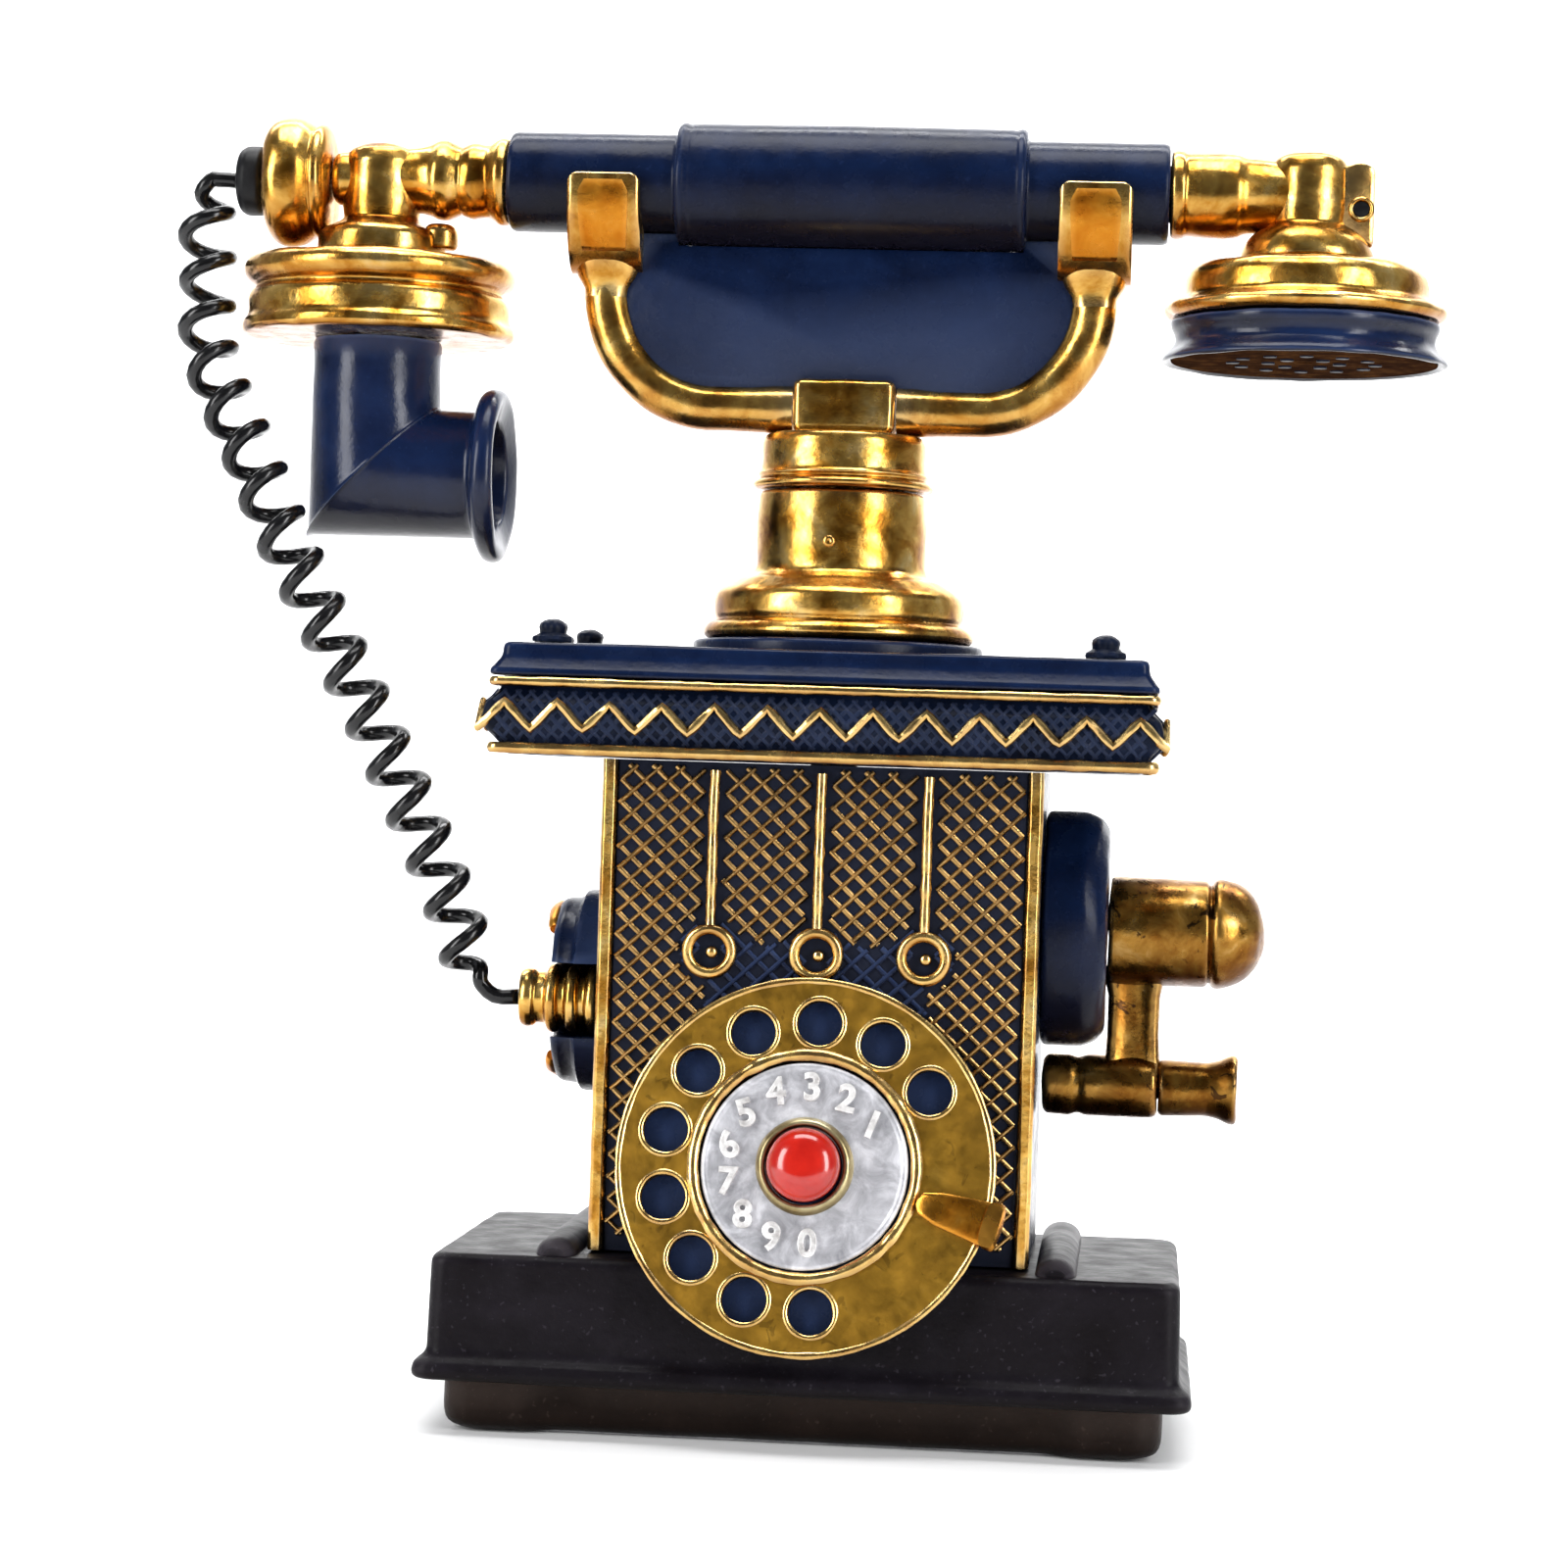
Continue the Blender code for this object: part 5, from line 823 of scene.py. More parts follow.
handle_low, handle_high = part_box("handle")
handle_z = (handle_low.z + handle_high.z) / 2
sleeve_radius = 0.0107
saddle_inner = sleeve_radius + 0.0003
saddle_outer = saddle_inner + 0.0025
tab_stretch = 1.45
saddle_width = 0.0155
bend_x = 0.0300
wrap_steps = 24
arm_radius = 0.0050
arm_level = block_foot + 0.0116 * 0.45
recessed_gold = gilt(
    "recessed_gold", ((0.26, 0.070, 0.004), (0.52, 0.175, 0.012), (0.66, 0.27, 0.025), (0.82, 0.42, 0.075)),
    (0.20, 0.38))
for side, word in ((-1, "left"), (1, "right")):
    arm_low, arm_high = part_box("cradle_arm_" + word)
    tab_top = arm_high.z
    saddle_x = max(abs(arm_low.x), abs(arm_high.x)) - saddle_width / 2
    rise = handle_z - saddle_outer - 0.0097 - arm_level
    line = [Vector((side * (block_half + 0.0003), 0, arm_level)), Vector((side * 0.0150, 0, arm_level)),
            Vector((side * 0.0200, 0, arm_level)), Vector((side * 0.0260, 0, arm_level + 0.0001))]
    for step in range(1, 25):
        angle = math.radians(90 * step / 24)
        line.append(Vector((side * (bend_x - 0.0020 + (saddle_x - bend_x + 0.0020) * math.sin(angle)), 0,
                            arm_level + rise - rise * math.cos(angle))))
    line += [Vector((side * saddle_x, 0, arm_level + rise + 0.0010 * step)) for step in range(1, 8)]
    widths = [1.0] * len(line)
    widths[0] = 1.10
    widths[1] = 1.06
    arm = skinned(swept(line, arm_radius, 28, widths))
    hand_cast(arm, 0.0003, 0.009)
    piece("cradle_arm_tube_" + word, arm, antique_gold, "cradle", "cradle_arm_" + word)

    # The tab is a plate wrapped under the sleeve. Its outline goes down the front tip's
    # outside, round beneath, over the rear tip and back along the inside.
    tab_rings = []
    half_turn = circle_of(2 * wrap_steps)[1:wrap_steps]
    lap = [(-saddle_outer, tab_top - 0.0004), (-saddle_outer, handle_z)]
    lap += [(-saddle_outer * cosine, handle_z - tab_stretch * saddle_outer * sine)
            for cosine, sine in half_turn]
    lap += [(saddle_outer, handle_z), (saddle_outer, tab_top - 0.0004),
            (saddle_outer - 0.0004, tab_top - 0.0001), (saddle_outer - 0.0010, tab_top),
            (saddle_inner + 0.0004, tab_top), (saddle_inner, tab_top - 0.0003), (saddle_inner, handle_z)]
    lap += [(saddle_inner * cosine, handle_z - saddle_inner * sine) for cosine, sine in half_turn]
    lap += [(-saddle_inner, handle_z), (-saddle_inner, tab_top - 0.0003), (-saddle_inner - 0.0004, tab_top),
            (-saddle_outer + 0.0010, tab_top), (-saddle_outer + 0.0004, tab_top - 0.0001)]
    half = saddle_width / 2
    for place, shrink, round_off in ((-half, 0.0007, 0.0018), (-half + 0.0003, 0.0003, 0.0012),
                                     (-half + 0.0010, 0.0, 0.0004), (-half + 0.0020, 0.0, 0.0),
                                     (0.0, 0.0, 0.0), (half - 0.0020, 0.0, 0.0),
                                     (half - 0.0010, 0.0, 0.0004), (half - 0.0003, 0.0003, 0.0012),
                                     (half, 0.0007, 0.0018)):
        ring = []
        for y, height in lap:
            reach = math.hypot(y, min(0.0, height - handle_z))
            pull = shrink if reach > (saddle_inner + saddle_outer) / 2 else 0.0
            near_tip = min(1.0, max(0.0, (height - handle_z + 0.0040) / (tab_top - handle_z + 0.0040)))
            ring.append(Vector((side * saddle_x + place, y * (1 - pull / max(reach, 1e-6)),
                                height - round_off * near_tip)))
        tab_rings.append(ring)
    tab = skinned(tab_rings, capped=False)
    tab.verts.ensure_lookup_table()
    # Each end is filled in strips between the outside and the inside, and at both tips.
    outside = 1
    inside = len(lap) - 5
    for end in (0, len(tab.verts) - len(lap)):
        row = tab.verts[end:end + len(lap)]
        for step in range(wrap_steps):
            tab.faces.new((row[outside + step], row[outside + 1 + step],
                           row[inside - 1 - step], row[inside - step]))
        tab.faces.new([row[0], row[outside]] + row[inside:])
        tab.faces.new(row[outside + wrap_steps:inside + 1 - wrap_steps])
    hand_cast(tab, 0.00008, 0.006)
    piece("saddle_" + word, tab, antique_gold, "cradle", sharp=45)
    for face, face_word in ((-1, "front"), (1, "rear")):
        inlay = bmesh.new()
        grid = []
        rows = 17
        columns = 11
        inlay_top = tab_top - 0.0017
        inlay_foot = handle_z - 0.0155
        for row in range(rows):
            share = row / (rows - 1)
            height = inlay_top - share * (inlay_top - inlay_foot)
            narrow = 0.0054 - 0.0007 * share ** 2
            line_points = []
            for column_step in range(columns):
                across = -1 + 2 * column_step / (columns - 1)
                corner = 1 - 0.25 * max(0.0, 1 - share * 6) * abs(across) ** 4
                drop = handle_z - height
                surface = math.sqrt(max(saddle_outer ** 2 - (max(drop, 0.0) / tab_stretch) ** 2, 0.0))
                edge = max(abs(across) ** 6, (1 - min(share, 1 - share) * 2) ** 14)
                dish = 0.00022 * (1 - edge) - 0.00002
                line_points.append(inlay.verts.new((side * saddle_x + across * narrow * corner,
                                                    face * (surface + 0.00030 - dish), height)))
            grid.append(line_points)
        for upper, lower in zip(grid, grid[1:]):
            for k in range(columns - 1):
                inlay.faces.new((upper[k], upper[k + 1], lower[k + 1], lower[k]))
        rim = grid[0] + [strip[-1] for strip in grid[1:-1]] + grid[-1][::-1]
        rim += [strip[0] for strip in grid[-2:0:-1]]
        sunk = [inlay.verts.new(vert.co - Vector((0, face * 0.0006, 0))) for vert in rim]
        for k in range(len(rim)):
            n = (k + 1) % len(rim)
            inlay.faces.new((rim[k], rim[n], sunk[n], sunk[k]))
        piece("saddle_inlay_%s_%s" % (word, face_word), inlay, recessed_gold, "cradle", sharp=60)
    shoulder_rings = []
    for drop, wide, deep in ((0.0112, 0.0047, 0.0049), (0.0092, 0.0050, 0.0050), (0.0082, 0.0056, 0.0052),
                             (0.0070, 0.0064, 0.0055), (0.0056, 0.0070, 0.0060), (0.0036, 0.0073, 0.0066),
                             (0.0010, 0.0074, 0.0070)):
        shoulder_rings.append([Vector((side * saddle_x + wide * squared(cosine, 0.7),
                                       deep * squared(sine, 0.8), handle_z - saddle_outer - drop))
                                       for cosine, sine in circle_of(32)])
    shoulder = skinned(shoulder_rings)
    hand_cast(shoulder, 0.0001, 0.004)
    piece("saddle_shoulder_" + word, shoulder, antique_gold, "cradle")

web_low, web_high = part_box("cradle_web")
clear = arm_radius - 0.0012
inner_x = saddle_x - saddle_width / 2 + 0.0006
web_right = [(0.0001, block_high.z - 0.0008), (block_half * 0.92, block_high.z - 0.0008),
             (block_half, arm_level + clear), (bend_x, arm_level + clear)]
for step in range(1, 17):
    angle = math.radians(90 * step / 16)
    web_right.append((bend_x + (saddle_x - bend_x - clear) * math.sin(angle),
                      arm_level + rise - (rise - clear) * math.cos(angle)))
grip_half = 0.0373
web_top = handle_z - 0.01325
sleeve_foot = handle_z - sleeve_radius - 0.0001
web_right += [(saddle_x - clear, handle_z - saddle_outer - 0.0068),
              (inner_x, handle_z - saddle_outer - 0.0040), (inner_x, sleeve_foot),
              (grip_half + 0.0003, sleeve_foot), (grip_half + 0.0003, web_top)]
web_outline = web_right + [(-x, height) for x, height in reversed(web_right)]
middle_z = (web_low.z + web_high.z) / 2
web_rings = []
for y, shrink in ((-0.0025, 0.0006), (-0.0022, 0.0), (0.0022, 0.0), (0.0025, 0.0006)):
    web_rings.append([Vector((x - math.copysign(min(shrink, abs(x)), x),
                              y, height - math.copysign(shrink, height - middle_z)))
                              for x, height in web_outline])
piece("cradle_web_plate", skinned(web_rings), navy, "cradle", "cradle_web")

# ---------------------------------------------------------------------- handle
# A turned handle in satin navy: a thick grip in the middle, with a thinner
# sleeve at each end where the cradle holds it.
grip_radius = handle_high.z - handle_z
handle_left = handle_low.x
handle_right = handle_high.x
along_x = (0, math.pi / 2, 0)
lathe("handle_turning", [
    (0.0060, handle_left), (sleeve_radius - 0.0005, handle_left), (sleeve_radius, handle_left + 0.0009),
    (sleeve_radius, -grip_half - 0.0006), (sleeve_radius + 0.0004, -grip_half),
    (grip_radius - 0.0007, -grip_half), (grip_radius, -grip_half + 0.0012),
    (grip_radius - 0.0005, -grip_half + 0.0024), (grip_radius - 0.0003, -grip_half + 0.0034),
    (grip_radius - 0.0001, 0.0), (grip_radius - 0.0003, grip_half - 0.0034),
    (grip_radius - 0.0005, grip_half - 0.0024), (grip_radius, grip_half - 0.0012),
    (grip_radius - 0.0007, grip_half), (sleeve_radius + 0.0004, grip_half),
    (sleeve_radius, grip_half + 0.0006), (sleeve_radius, handle_right - 0.0009),
    (sleeve_radius - 0.0005, handle_right), (0.0060, handle_right),
], navy, "handset", "handle", at=(0, 0, handle_z), turn=along_x,
    ease=0.0006, around=112, wave=0.00022)

# ------------------------------------------------------------------ transmitter
# The speaking end: a ribbed gold barrel and elbow over a spun gold housing
# with a deep groove round its rim.
transmitter_low, transmitter_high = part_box("transmitter_housing")
mic_x = (transmitter_low.x + transmitter_high.x) / 2
mic_top = transmitter_high.z
mic_rim = (transmitter_high.x - transmitter_low.x) / 2
mic_foot = transmitter_low.z
left_end = handle_left - 0.0003
lathe("transmitter_barrel", [
    (0.0057, left_end + 0.0079), (0.0057, left_end), (0.0088, left_end), (0.0094, left_end - 0.0009),
    (0.0094, left_end - 0.0022), (0.0086, left_end - 0.0034), (0.0078, left_end - 0.0046),
    (0.0079, left_end - 0.0062), (0.0083, left_end - 0.0080), (0.0078, left_end - 0.0098),
    (0.0073, left_end - 0.0106), (0.0079, left_end - 0.0118), (0.0087, left_end - 0.0136),
    (0.0086, left_end - 0.0156), (0.0077, left_end - 0.0172), (0.0072, left_end - 0.0190),
    (0.0066, mic_x + 0.0040), (0.0060, mic_x - 0.0030), (0.0058, mic_x - 0.0090), (0.0050, mic_x - 0.0104),
    (0, mic_x - 0.0104),
], antique_gold, "handset", "transmitter_bracket", at=(0, 0, handle_z), turn=along_x,
    ease=0.0007, around=80, wave=0.0003)
elbow = 0.0083
lathe("transmitter_neck", [
    (0, mic_top + 0.0003), (0.0132, mic_top + 0.0003), (0.0137, mic_top + 0.0012), (0.0136, mic_top + 0.0046),
    (0.0128, mic_top + 0.0060), (0.0100, mic_top + 0.0072), (elbow - 0.0002, mic_top + 0.0084),
    (elbow + 0.0002, mic_top + 0.0110), (elbow + 0.0001, mic_top + 0.0208),
    (elbow - 0.0010, mic_top + 0.0232), (elbow - 0.0040, mic_top + 0.0245), (0, mic_top + 0.0247),
], antique_gold, "handset", at=(mic_x, 0, 0), ease=0.0008, around=80, wave=0.0003)
lathe("transmitter_lug", [(0, 0), (0.0034, 0.0), (0.0038, 0.0010), (0.0038, 0.0040), (0.0028, 0.0054),
                          (0, 0.0058)],
      antique_gold, "handset", at=(mic_x + 0.0132, -0.0018, mic_top + 0.0020),
      ease=0.0008, around=32, wave=0.0002)
r = mic_rim
lathe("transmitter_housing_spun", [
    (0, mic_top), (0.0140, mic_top), (r - 0.0070, mic_top - 0.0003), (r - 0.0022, mic_top - 0.0008),
    (r - 0.0005, mic_top - 0.0020), (r, mic_top - 0.0036), (r - 0.0005, mic_top - 0.0052),
    (r - 0.0016, mic_top - 0.0063), (r - 0.0027, mic_top - 0.0070), (r - 0.0028, mic_top - 0.0077),
    (r - 0.0018, mic_top - 0.0085), (r - 0.0012, mic_top - 0.0098), (r - 0.0013, mic_top - 0.0126),
    (r - 0.0010, mic_top - 0.0138), (r - 0.0002, mic_top - 0.0148), (r, mic_top - 0.0158),
    (r - 0.0001, mic_foot + 0.0009), (r - 0.0010, mic_foot + 0.0001),
    (r - 0.0024, mic_foot), (0.0100, mic_foot), (0.0100, mic_foot + 0.0015), (0, mic_foot + 0.0015),
], antique_gold, "handset", "transmitter_housing", at=(mic_x, 0, 0),
    ease=0.0009, around=144, wave=0.0003)

# ------------------------------------------------------------------- mouthpiece
# A mitred navy elbow pipe, open to the transmitter above and ending in a rolled
# lip. The mitre shows as a crease across the front.
mouth_low, mouth_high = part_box("mouthpiece")
mouth_x = mouth_high.x
pipe = mic_x - mouth_low.x
pipe_inner = pipe - 0.0030
lip = (mouth_high.y - mouth_low.y) / 2
mouth_z = mouth_low.z + lip
# A glossier copy of the navy for the mouthpiece and ear cap; its colours are lighter than the navy's, which
# is painted light.
lit_polished_navy = brushed_paint(
    "lit_polished_navy_paint", ((0.0026, 0.0068, 0.0260), (0.0046, 0.0120, 0.0450), (0.0082, 0.0205, 0.0700)),
    (0.100, 0.140, 0.260), 0.65, (0.16, 0.28), 0.06, 0.26)
pipe_turns = circle_of(96)


def upright_ring(radius, height):
    """Ring round the pipe's upright half."""
    return [Vector((mic_x + radius * cosine, radius * sine, height)) for cosine, sine in pipe_turns]


def mitre_ring(radius, slide=0.0):
    """Slanting ring at the mitre, moved along the level half or up the upright one."""
    return [Vector((mic_x + radius * cosine + max(0.0, slide), radius * sine,
                    mouth_z + radius * cosine + max(0.0, -slide))) for cosine, sine in pipe_turns]


def level_ring(radius, along):
    """Ring round the pipe's level half."""
    return [Vector((along, radius * sine, mouth_z + radius * cosine)) for cosine, sine in pipe_turns]


pipe_rings = [upright_ring(pipe - 0.0003, mouth_high.z), upright_ring(pipe, mouth_high.z - 0.0008),
              upright_ring(pipe - 0.0001, mouth_high.z - 0.0060),
              upright_ring(pipe, mouth_z + pipe + 0.0022), mitre_ring(pipe, -0.0012),
              mitre_ring(pipe + 0.0001, -0.0005), mitre_ring(pipe + 0.0004),
              mitre_ring(pipe + 0.0001, 0.0005), mitre_ring(pipe, 0.0012)]
for radius, along in eased([(pipe, mic_x + pipe + 0.0012), (pipe - 0.0001, mouth_x - 0.0066),
                            (pipe + 0.0004, mouth_x - 0.0056), (lip - 0.0016, mouth_x - 0.0049),
                            (lip - 0.0004, mouth_x - 0.0040), (lip, mouth_x - 0.0026),
                            (lip - 0.0002, mouth_x - 0.0012), (lip - 0.0010, mouth_x - 0.0002),
                            (lip - 0.0024, mouth_x - 0.0001), (pipe_inner + 0.0008, mouth_x - 0.0016),
                            (pipe_inner, mouth_x - 0.0070), (pipe_inner, mouth_x - 0.0090)], 0.0007, 3):
    pipe_rings.append(level_ring(radius, along))
pipe_rings += [mitre_ring(pipe_inner), upright_ring(pipe_inner, mouth_high.z)]
pipe_skin = skinned(pipe_rings, closed=True)
hand_cast(pipe_skin, 0.00025, 0.010)
piece("mouthpiece_elbow", pipe_skin, lit_polished_navy, "handset", "mouthpiece", sharp=30)

# ------------------------------------------------------------ end knob and bush
# A double-ridged gold knob closes the handset's left end, and a black rubber
# bush in its middle lets the cord out.
knob_low, knob_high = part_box("end_knob")
knob_z = (knob_low.z + knob_high.z) / 2
knob_r = (knob_high.z - knob_low.z) / 2
right_face = knob_high.x
left_face = knob_low.x
lathe("end_knob_turning", [
    (0, right_face), (knob_r * 0.58, right_face), (knob_r * 0.78, right_face - 0.0006),
    (knob_r * 0.88, right_face - 0.0018), (knob_r * 0.88, right_face - 0.0030),
    (knob_r * 0.84, right_face - 0.0038), (knob_r * 0.88, right_face - 0.0044),
    (knob_r * 0.97, right_face - 0.0062), (knob_r, right_face - 0.0086), (knob_r * 0.99, left_face + 0.0036),
    (knob_r * 0.93, left_face + 0.0018), (knob_r * 0.80, left_face + 0.0005), (knob_r * 0.50, left_face),
    (0, left_face),
], antique_gold, "handset", "end_knob", at=(0, 0, knob_z), turn=along_x,
    ease=0.0009, around=96, wave=0.0004)
bush_low, bush_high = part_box("cord_bush")
bush_r = (bush_high.z - bush_low.z) / 2
rubber, rubber_tree, rubber_shader = finish_of("black_rubber")
rubber_tree.links.new(steps_of(rubber_tree, clouds(rubber_tree, 300, 3), (
    (0.3, (0.003, 0.003, 0.004)), (0.7, (0.010, 0.010, 0.011)))), rubber_shader.inputs["Base Color"])
rubber_tree.links.new(steps_of(rubber_tree, clouds(rubber_tree, 180, 3), ((0.3, 0.30), (0.7, 0.48))),
                      rubber_shader.inputs["Roughness"])
rubber_shader.inputs["Specular IOR Level"].default_value = 0.16
relief(rubber_tree, rubber_shader, ((clouds(rubber_tree, 700, 2), 0.15, 0.0002),))
lathe("cord_bush_moulding", [
    (0, bush_high.x), (bush_r - 0.0012, bush_high.x), (bush_r, bush_high.x - 0.0010),
    (bush_r, bush_low.x + 0.0020), (bush_r - 0.0008, bush_low.x + 0.0006), (bush_r - 0.0022, bush_low.x),
    (0.0034, bush_low.x), (0.0026, bush_low.x + 0.0008), (0, bush_low.x + 0.0010),
], rubber, "handset", "cord_bush", at=(0, 0, knob_z), turn=along_x,
    ease=0.0005, around=48, wave=0.0001)

# --------------------------------------------------------------------- receiver
# The listening end: a gold barrel and elbow with a small drilled lug, a domed
# gold housing, and a screwed navy ear cap with a dark, pierced face.
receiver_low, receiver_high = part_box("receiver_housing")
ear_x = (receiver_low.x + receiver_high.x) / 2
ear_top = receiver_high.z
ear_seat = receiver_low.z
ear_r = (receiver_high.x - receiver_low.x) / 2
right_end = handle_right + 0.0003
lathe("receiver_barrel", [
    (0.0057, right_end - 0.0079), (0.0057, right_end), (0.0089, right_end), (0.0095, right_end + 0.0008),
    (0.0094, right_end + 0.0026), (0.0088, right_end + 0.0034), (0.0089, right_end + 0.0060),
    (0.0091, right_end + 0.0118), (0.0088, right_end + 0.0142), (0.0080, right_end + 0.0158),
    (0.0076, right_end + 0.0190), (0.0072, ear_x - 0.0050), (0.0058, ear_x + 0.0050),
    (0.0030, ear_x + 0.0060), (0, ear_x + 0.0060),
], antique_gold, "handset", "receiver_bracket", at=(0, 0, handle_z), turn=along_x,
    ease=0.0007, around=80, wave=0.0003)
lathe("receiver_neck", [
    (0, ear_top + 0.0003), (0.0138, ear_top + 0.0003), (0.0142, ear_top + 0.0008), (0.0139, ear_top + 0.0024),
    (0.0130, ear_top + 0.0044), (0.0120, ear_top + 0.0056), (0.0108, ear_top + 0.0066),
    (elbow - 0.0001, ear_top + 0.0080), (elbow, ear_top + 0.0110), (elbow + 0.0002, ear_top + 0.0196),
    (elbow - 0.0008, ear_top + 0.0218), (elbow - 0.0030, ear_top + 0.0229), (0, ear_top + 0.0230),
], antique_gold, "handset", at=(ear_x, 0, 0), ease=0.0008, around=80, wave=0.0003)
lug_rings = []
for y, shrink in ((-0.0044, 0.0010), (-0.0040, 0.0003), (-0.0030, 0.0), (0.0030, 0.0), (0.0040, 0.0003),
                  (0.0044, 0.0010)):
    outline = eased([(ear_x + 0.0040, ear_top + 0.0060 + shrink),
                     (ear_x + 0.0136 - shrink, ear_top + 0.0030 + shrink),
                     (ear_x + 0.0136 - shrink, ear_top + 0.0205 - shrink),
                     (ear_x + 0.0104, ear_top + 0.0213 - shrink), (ear_x + 0.0040, ear_top + 0.0196 - shrink),
                     (ear_x + 0.0040, ear_top + 0.0060 + shrink)],
                    0.0018, 5)[:-1]
    lug_rings.append([Vector((x, y, height)) for x, height in outline])
lug = skinned(lug_rings)
hand_cast(lug, 0.0003, 0.004)
piece("receiver_lug", lug, antique_gold, "handset")
for face in (-1, 1):
    lathe("receiver_lug_eye_" + ("front" if face < 0 else "rear"),
          [(0.0015, -0.0006), (0.0028, -0.0006), (0.0028, 0.0001), (0.0021, 0.0006), (0.0016, 0.0001),
           (0.0015, -0.0006)], antique_gold, "handset",
          at=(ear_x + 0.0108, face * 0.0044, ear_top + 0.0112), turn=(face * -math.pi / 2, 0, 0),
          ease=0.0003, around=24, wave=0.0)
    # Painted shade: a black disc in each eye stands for the shade inside the drilled hole.
    lathe("receiver_lug_hole_shade_" + ("front" if face < 0 else "rear"),
          [(0, -0.0004), (0.0016, -0.0004), (0.0016, 0.0003), (0, 0.0003)], rubber, "handset",
          at=(ear_x + 0.0108, face * 0.0044, ear_top + 0.0112), turn=(face * -math.pi / 2, 0, 0),
          ease=0.0001, around=20, wave=0.0)
r = ear_r
lathe("receiver_housing_spun", [
    (0, ear_top), (0.0140, ear_top), (r - 0.0100, ear_top - 0.0005), (r - 0.0066, ear_top - 0.0012),
    (r - 0.0049, ear_top - 0.0026), (r - 0.0043, ear_top - 0.0046), (r - 0.0042, ear_top - 0.0076),
    (r - 0.0030, ear_top - 0.0086), (r - 0.0010, ear_top - 0.0093), (r - 0.0001, ear_top - 0.0102),
    (r - 0.0004, ear_top - 0.0113), (r - 0.0016, ear_seat), (0.0200, ear_seat),
], antique_gold, "handset", "receiver_housing", at=(ear_x, 0, 0),
    ease=0.0010, around=144, wave=0.0003)
cap_low, cap_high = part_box("ear_cap")
cap_r = (cap_high.x - cap_low.x) / 2
lathe("ear_cap_moulding", [
    (0.0100, cap_low.z + 0.0016), (cap_r * 0.93, cap_low.z + 0.0011), (cap_r - 0.0010, cap_low.z + 0.0004),
    (cap_r - 0.0003, cap_low.z + 0.0004), (cap_r, cap_low.z + 0.0010), (cap_r - 0.0007, cap_low.z + 0.0020),
    (cap_r - 0.0020, cap_low.z + 0.0032), (cap_r - 0.0029, cap_low.z + 0.0046),
    (cap_r - 0.0027, cap_low.z + 0.0062), (cap_r - 0.0018, cap_low.z + 0.0078), (cap_r - 0.0018, cap_high.z),
    (0.0220, cap_high.z),
], lit_polished_navy, "handset", "ear_cap", at=(ear_x, 0, 0), ease=0.0008, around=144, wave=0.0003)
brown_face, brown_tree, brown_shader = finish_of("worn_brown_paint")
brown_tree.links.new(steps_of(brown_tree, clouds(brown_tree, 160, 5, 0.65), (
    (0.3, (0.008, 0.004, 0.003)), (0.52, (0.026, 0.011, 0.005)), (0.75, (0.075, 0.032, 0.010)))),
    brown_shader.inputs["Base Color"])
brown_shader.inputs["Roughness"].default_value = 0.72
brown_shader.inputs["Specular IOR Level"].default_value = 0.0
relief(brown_tree, brown_shader, ((clouds(brown_tree, 400, 4, 0.6), 0.4, 0.0004),))
face_plate = bmesh.new()
face_z = cap_low.z + 0.0008
face_r = cap_r * 0.93
face_rings = [[face_plate.verts.new((reach * cosine, reach * sine, face_z + 0.0004 * (1 - reach / face_r)))
               for cosine, sine in circle_of(60)]
              for reach in (0.0017, 0.0030, 0.0052, 0.0098, 0.0140, 0.0210, face_r)]
for inner, outer in zip(face_rings, face_rings[1:]):
    for k in range(60):
        n = (k + 1) % 60
        face_plate.faces.new((inner[k], outer[k], outer[n], inner[n]))
rim_up = [face_plate.verts.new((vert.co.x, vert.co.y, vert.co.z + 0.0016)) for vert in face_rings[0]]
for k in range(60):
    n = (k + 1) % 60
    face_plate.faces.new((face_rings[0][k], face_rings[0][n], rim_up[n], rim_up[k]))
face_plate.faces.new(rim_up)
piece("ear_cap_face", face_plate, brown_face, "handset", at=(ear_x, 0, 0))
pit_skin = bmesh.new()
pit_radius = 0.0014
for ring_r, count in ((0.0075, 6), (0.0150, 12)):
    for index in range(count):
        angle = 2 * math.pi * index / count
        middle = Vector((ring_r * math.cos(angle), ring_r * math.sin(angle), face_z))
        rim = [pit_skin.verts.new(middle + Vector((pit_radius * cosine, pit_radius * sine, -0.0001)))
               for cosine, sine in circle_of(14)]
        top = [pit_skin.verts.new(vert.co + Vector((0, 0, 0.0012))) for vert in rim]
        for k in range(14):
            n = (k + 1) % 14
            pit_skin.faces.new((rim[k], rim[n], top[n], top[k]))
        pit_skin.faces.new(top)
        pit_skin.faces.new(list(reversed(rim)))
piece("ear_cap_pits", pit_skin, shadowed_navy, "handset", at=(ear_x, 0, 0))

# ----------------------------------------------------------------- cord gland
# A stepped round boss on the body's left wall, open towards the front. The
# ribbed gold gland lies in that channel and holds the cord's lower end.
boss_low, boss_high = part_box("cord_boss")
boss_z = (boss_low.z + boss_high.z) / 2
boss_r = (boss_high.z - boss_low.z) / 2
gland_y = -0.0120
gland_z = 0.0885
gap_half = 0.0079
wall_face = boss_high.x


def boss_ring(scale, out):
    """Boss outline at one depth: a disc with a round-ended slot in from the front."""
    radius = boss_r * scale
    low = math.asin(max(-1.0, (gland_z - gap_half - boss_z) / radius))
    high = math.asin(min(1.0, (gland_z + gap_half - boss_z) / radius))
    start = math.pi - low
    stop = math.pi - high + 2 * math.pi
    ring = [Vector((wall_face - out, radius * math.cos(start + (stop - start) * k / 88),
                    boss_z + radius * math.sin(start + (stop - start) * k / 88))) for k in range(89)]
    ring += [Vector((wall_face - out, gland_y + gap_half * math.sin(math.radians(9 * k)),
                     gland_z + gap_half * math.cos(math.radians(9 * k)))) for k in range(21)]
    return ring


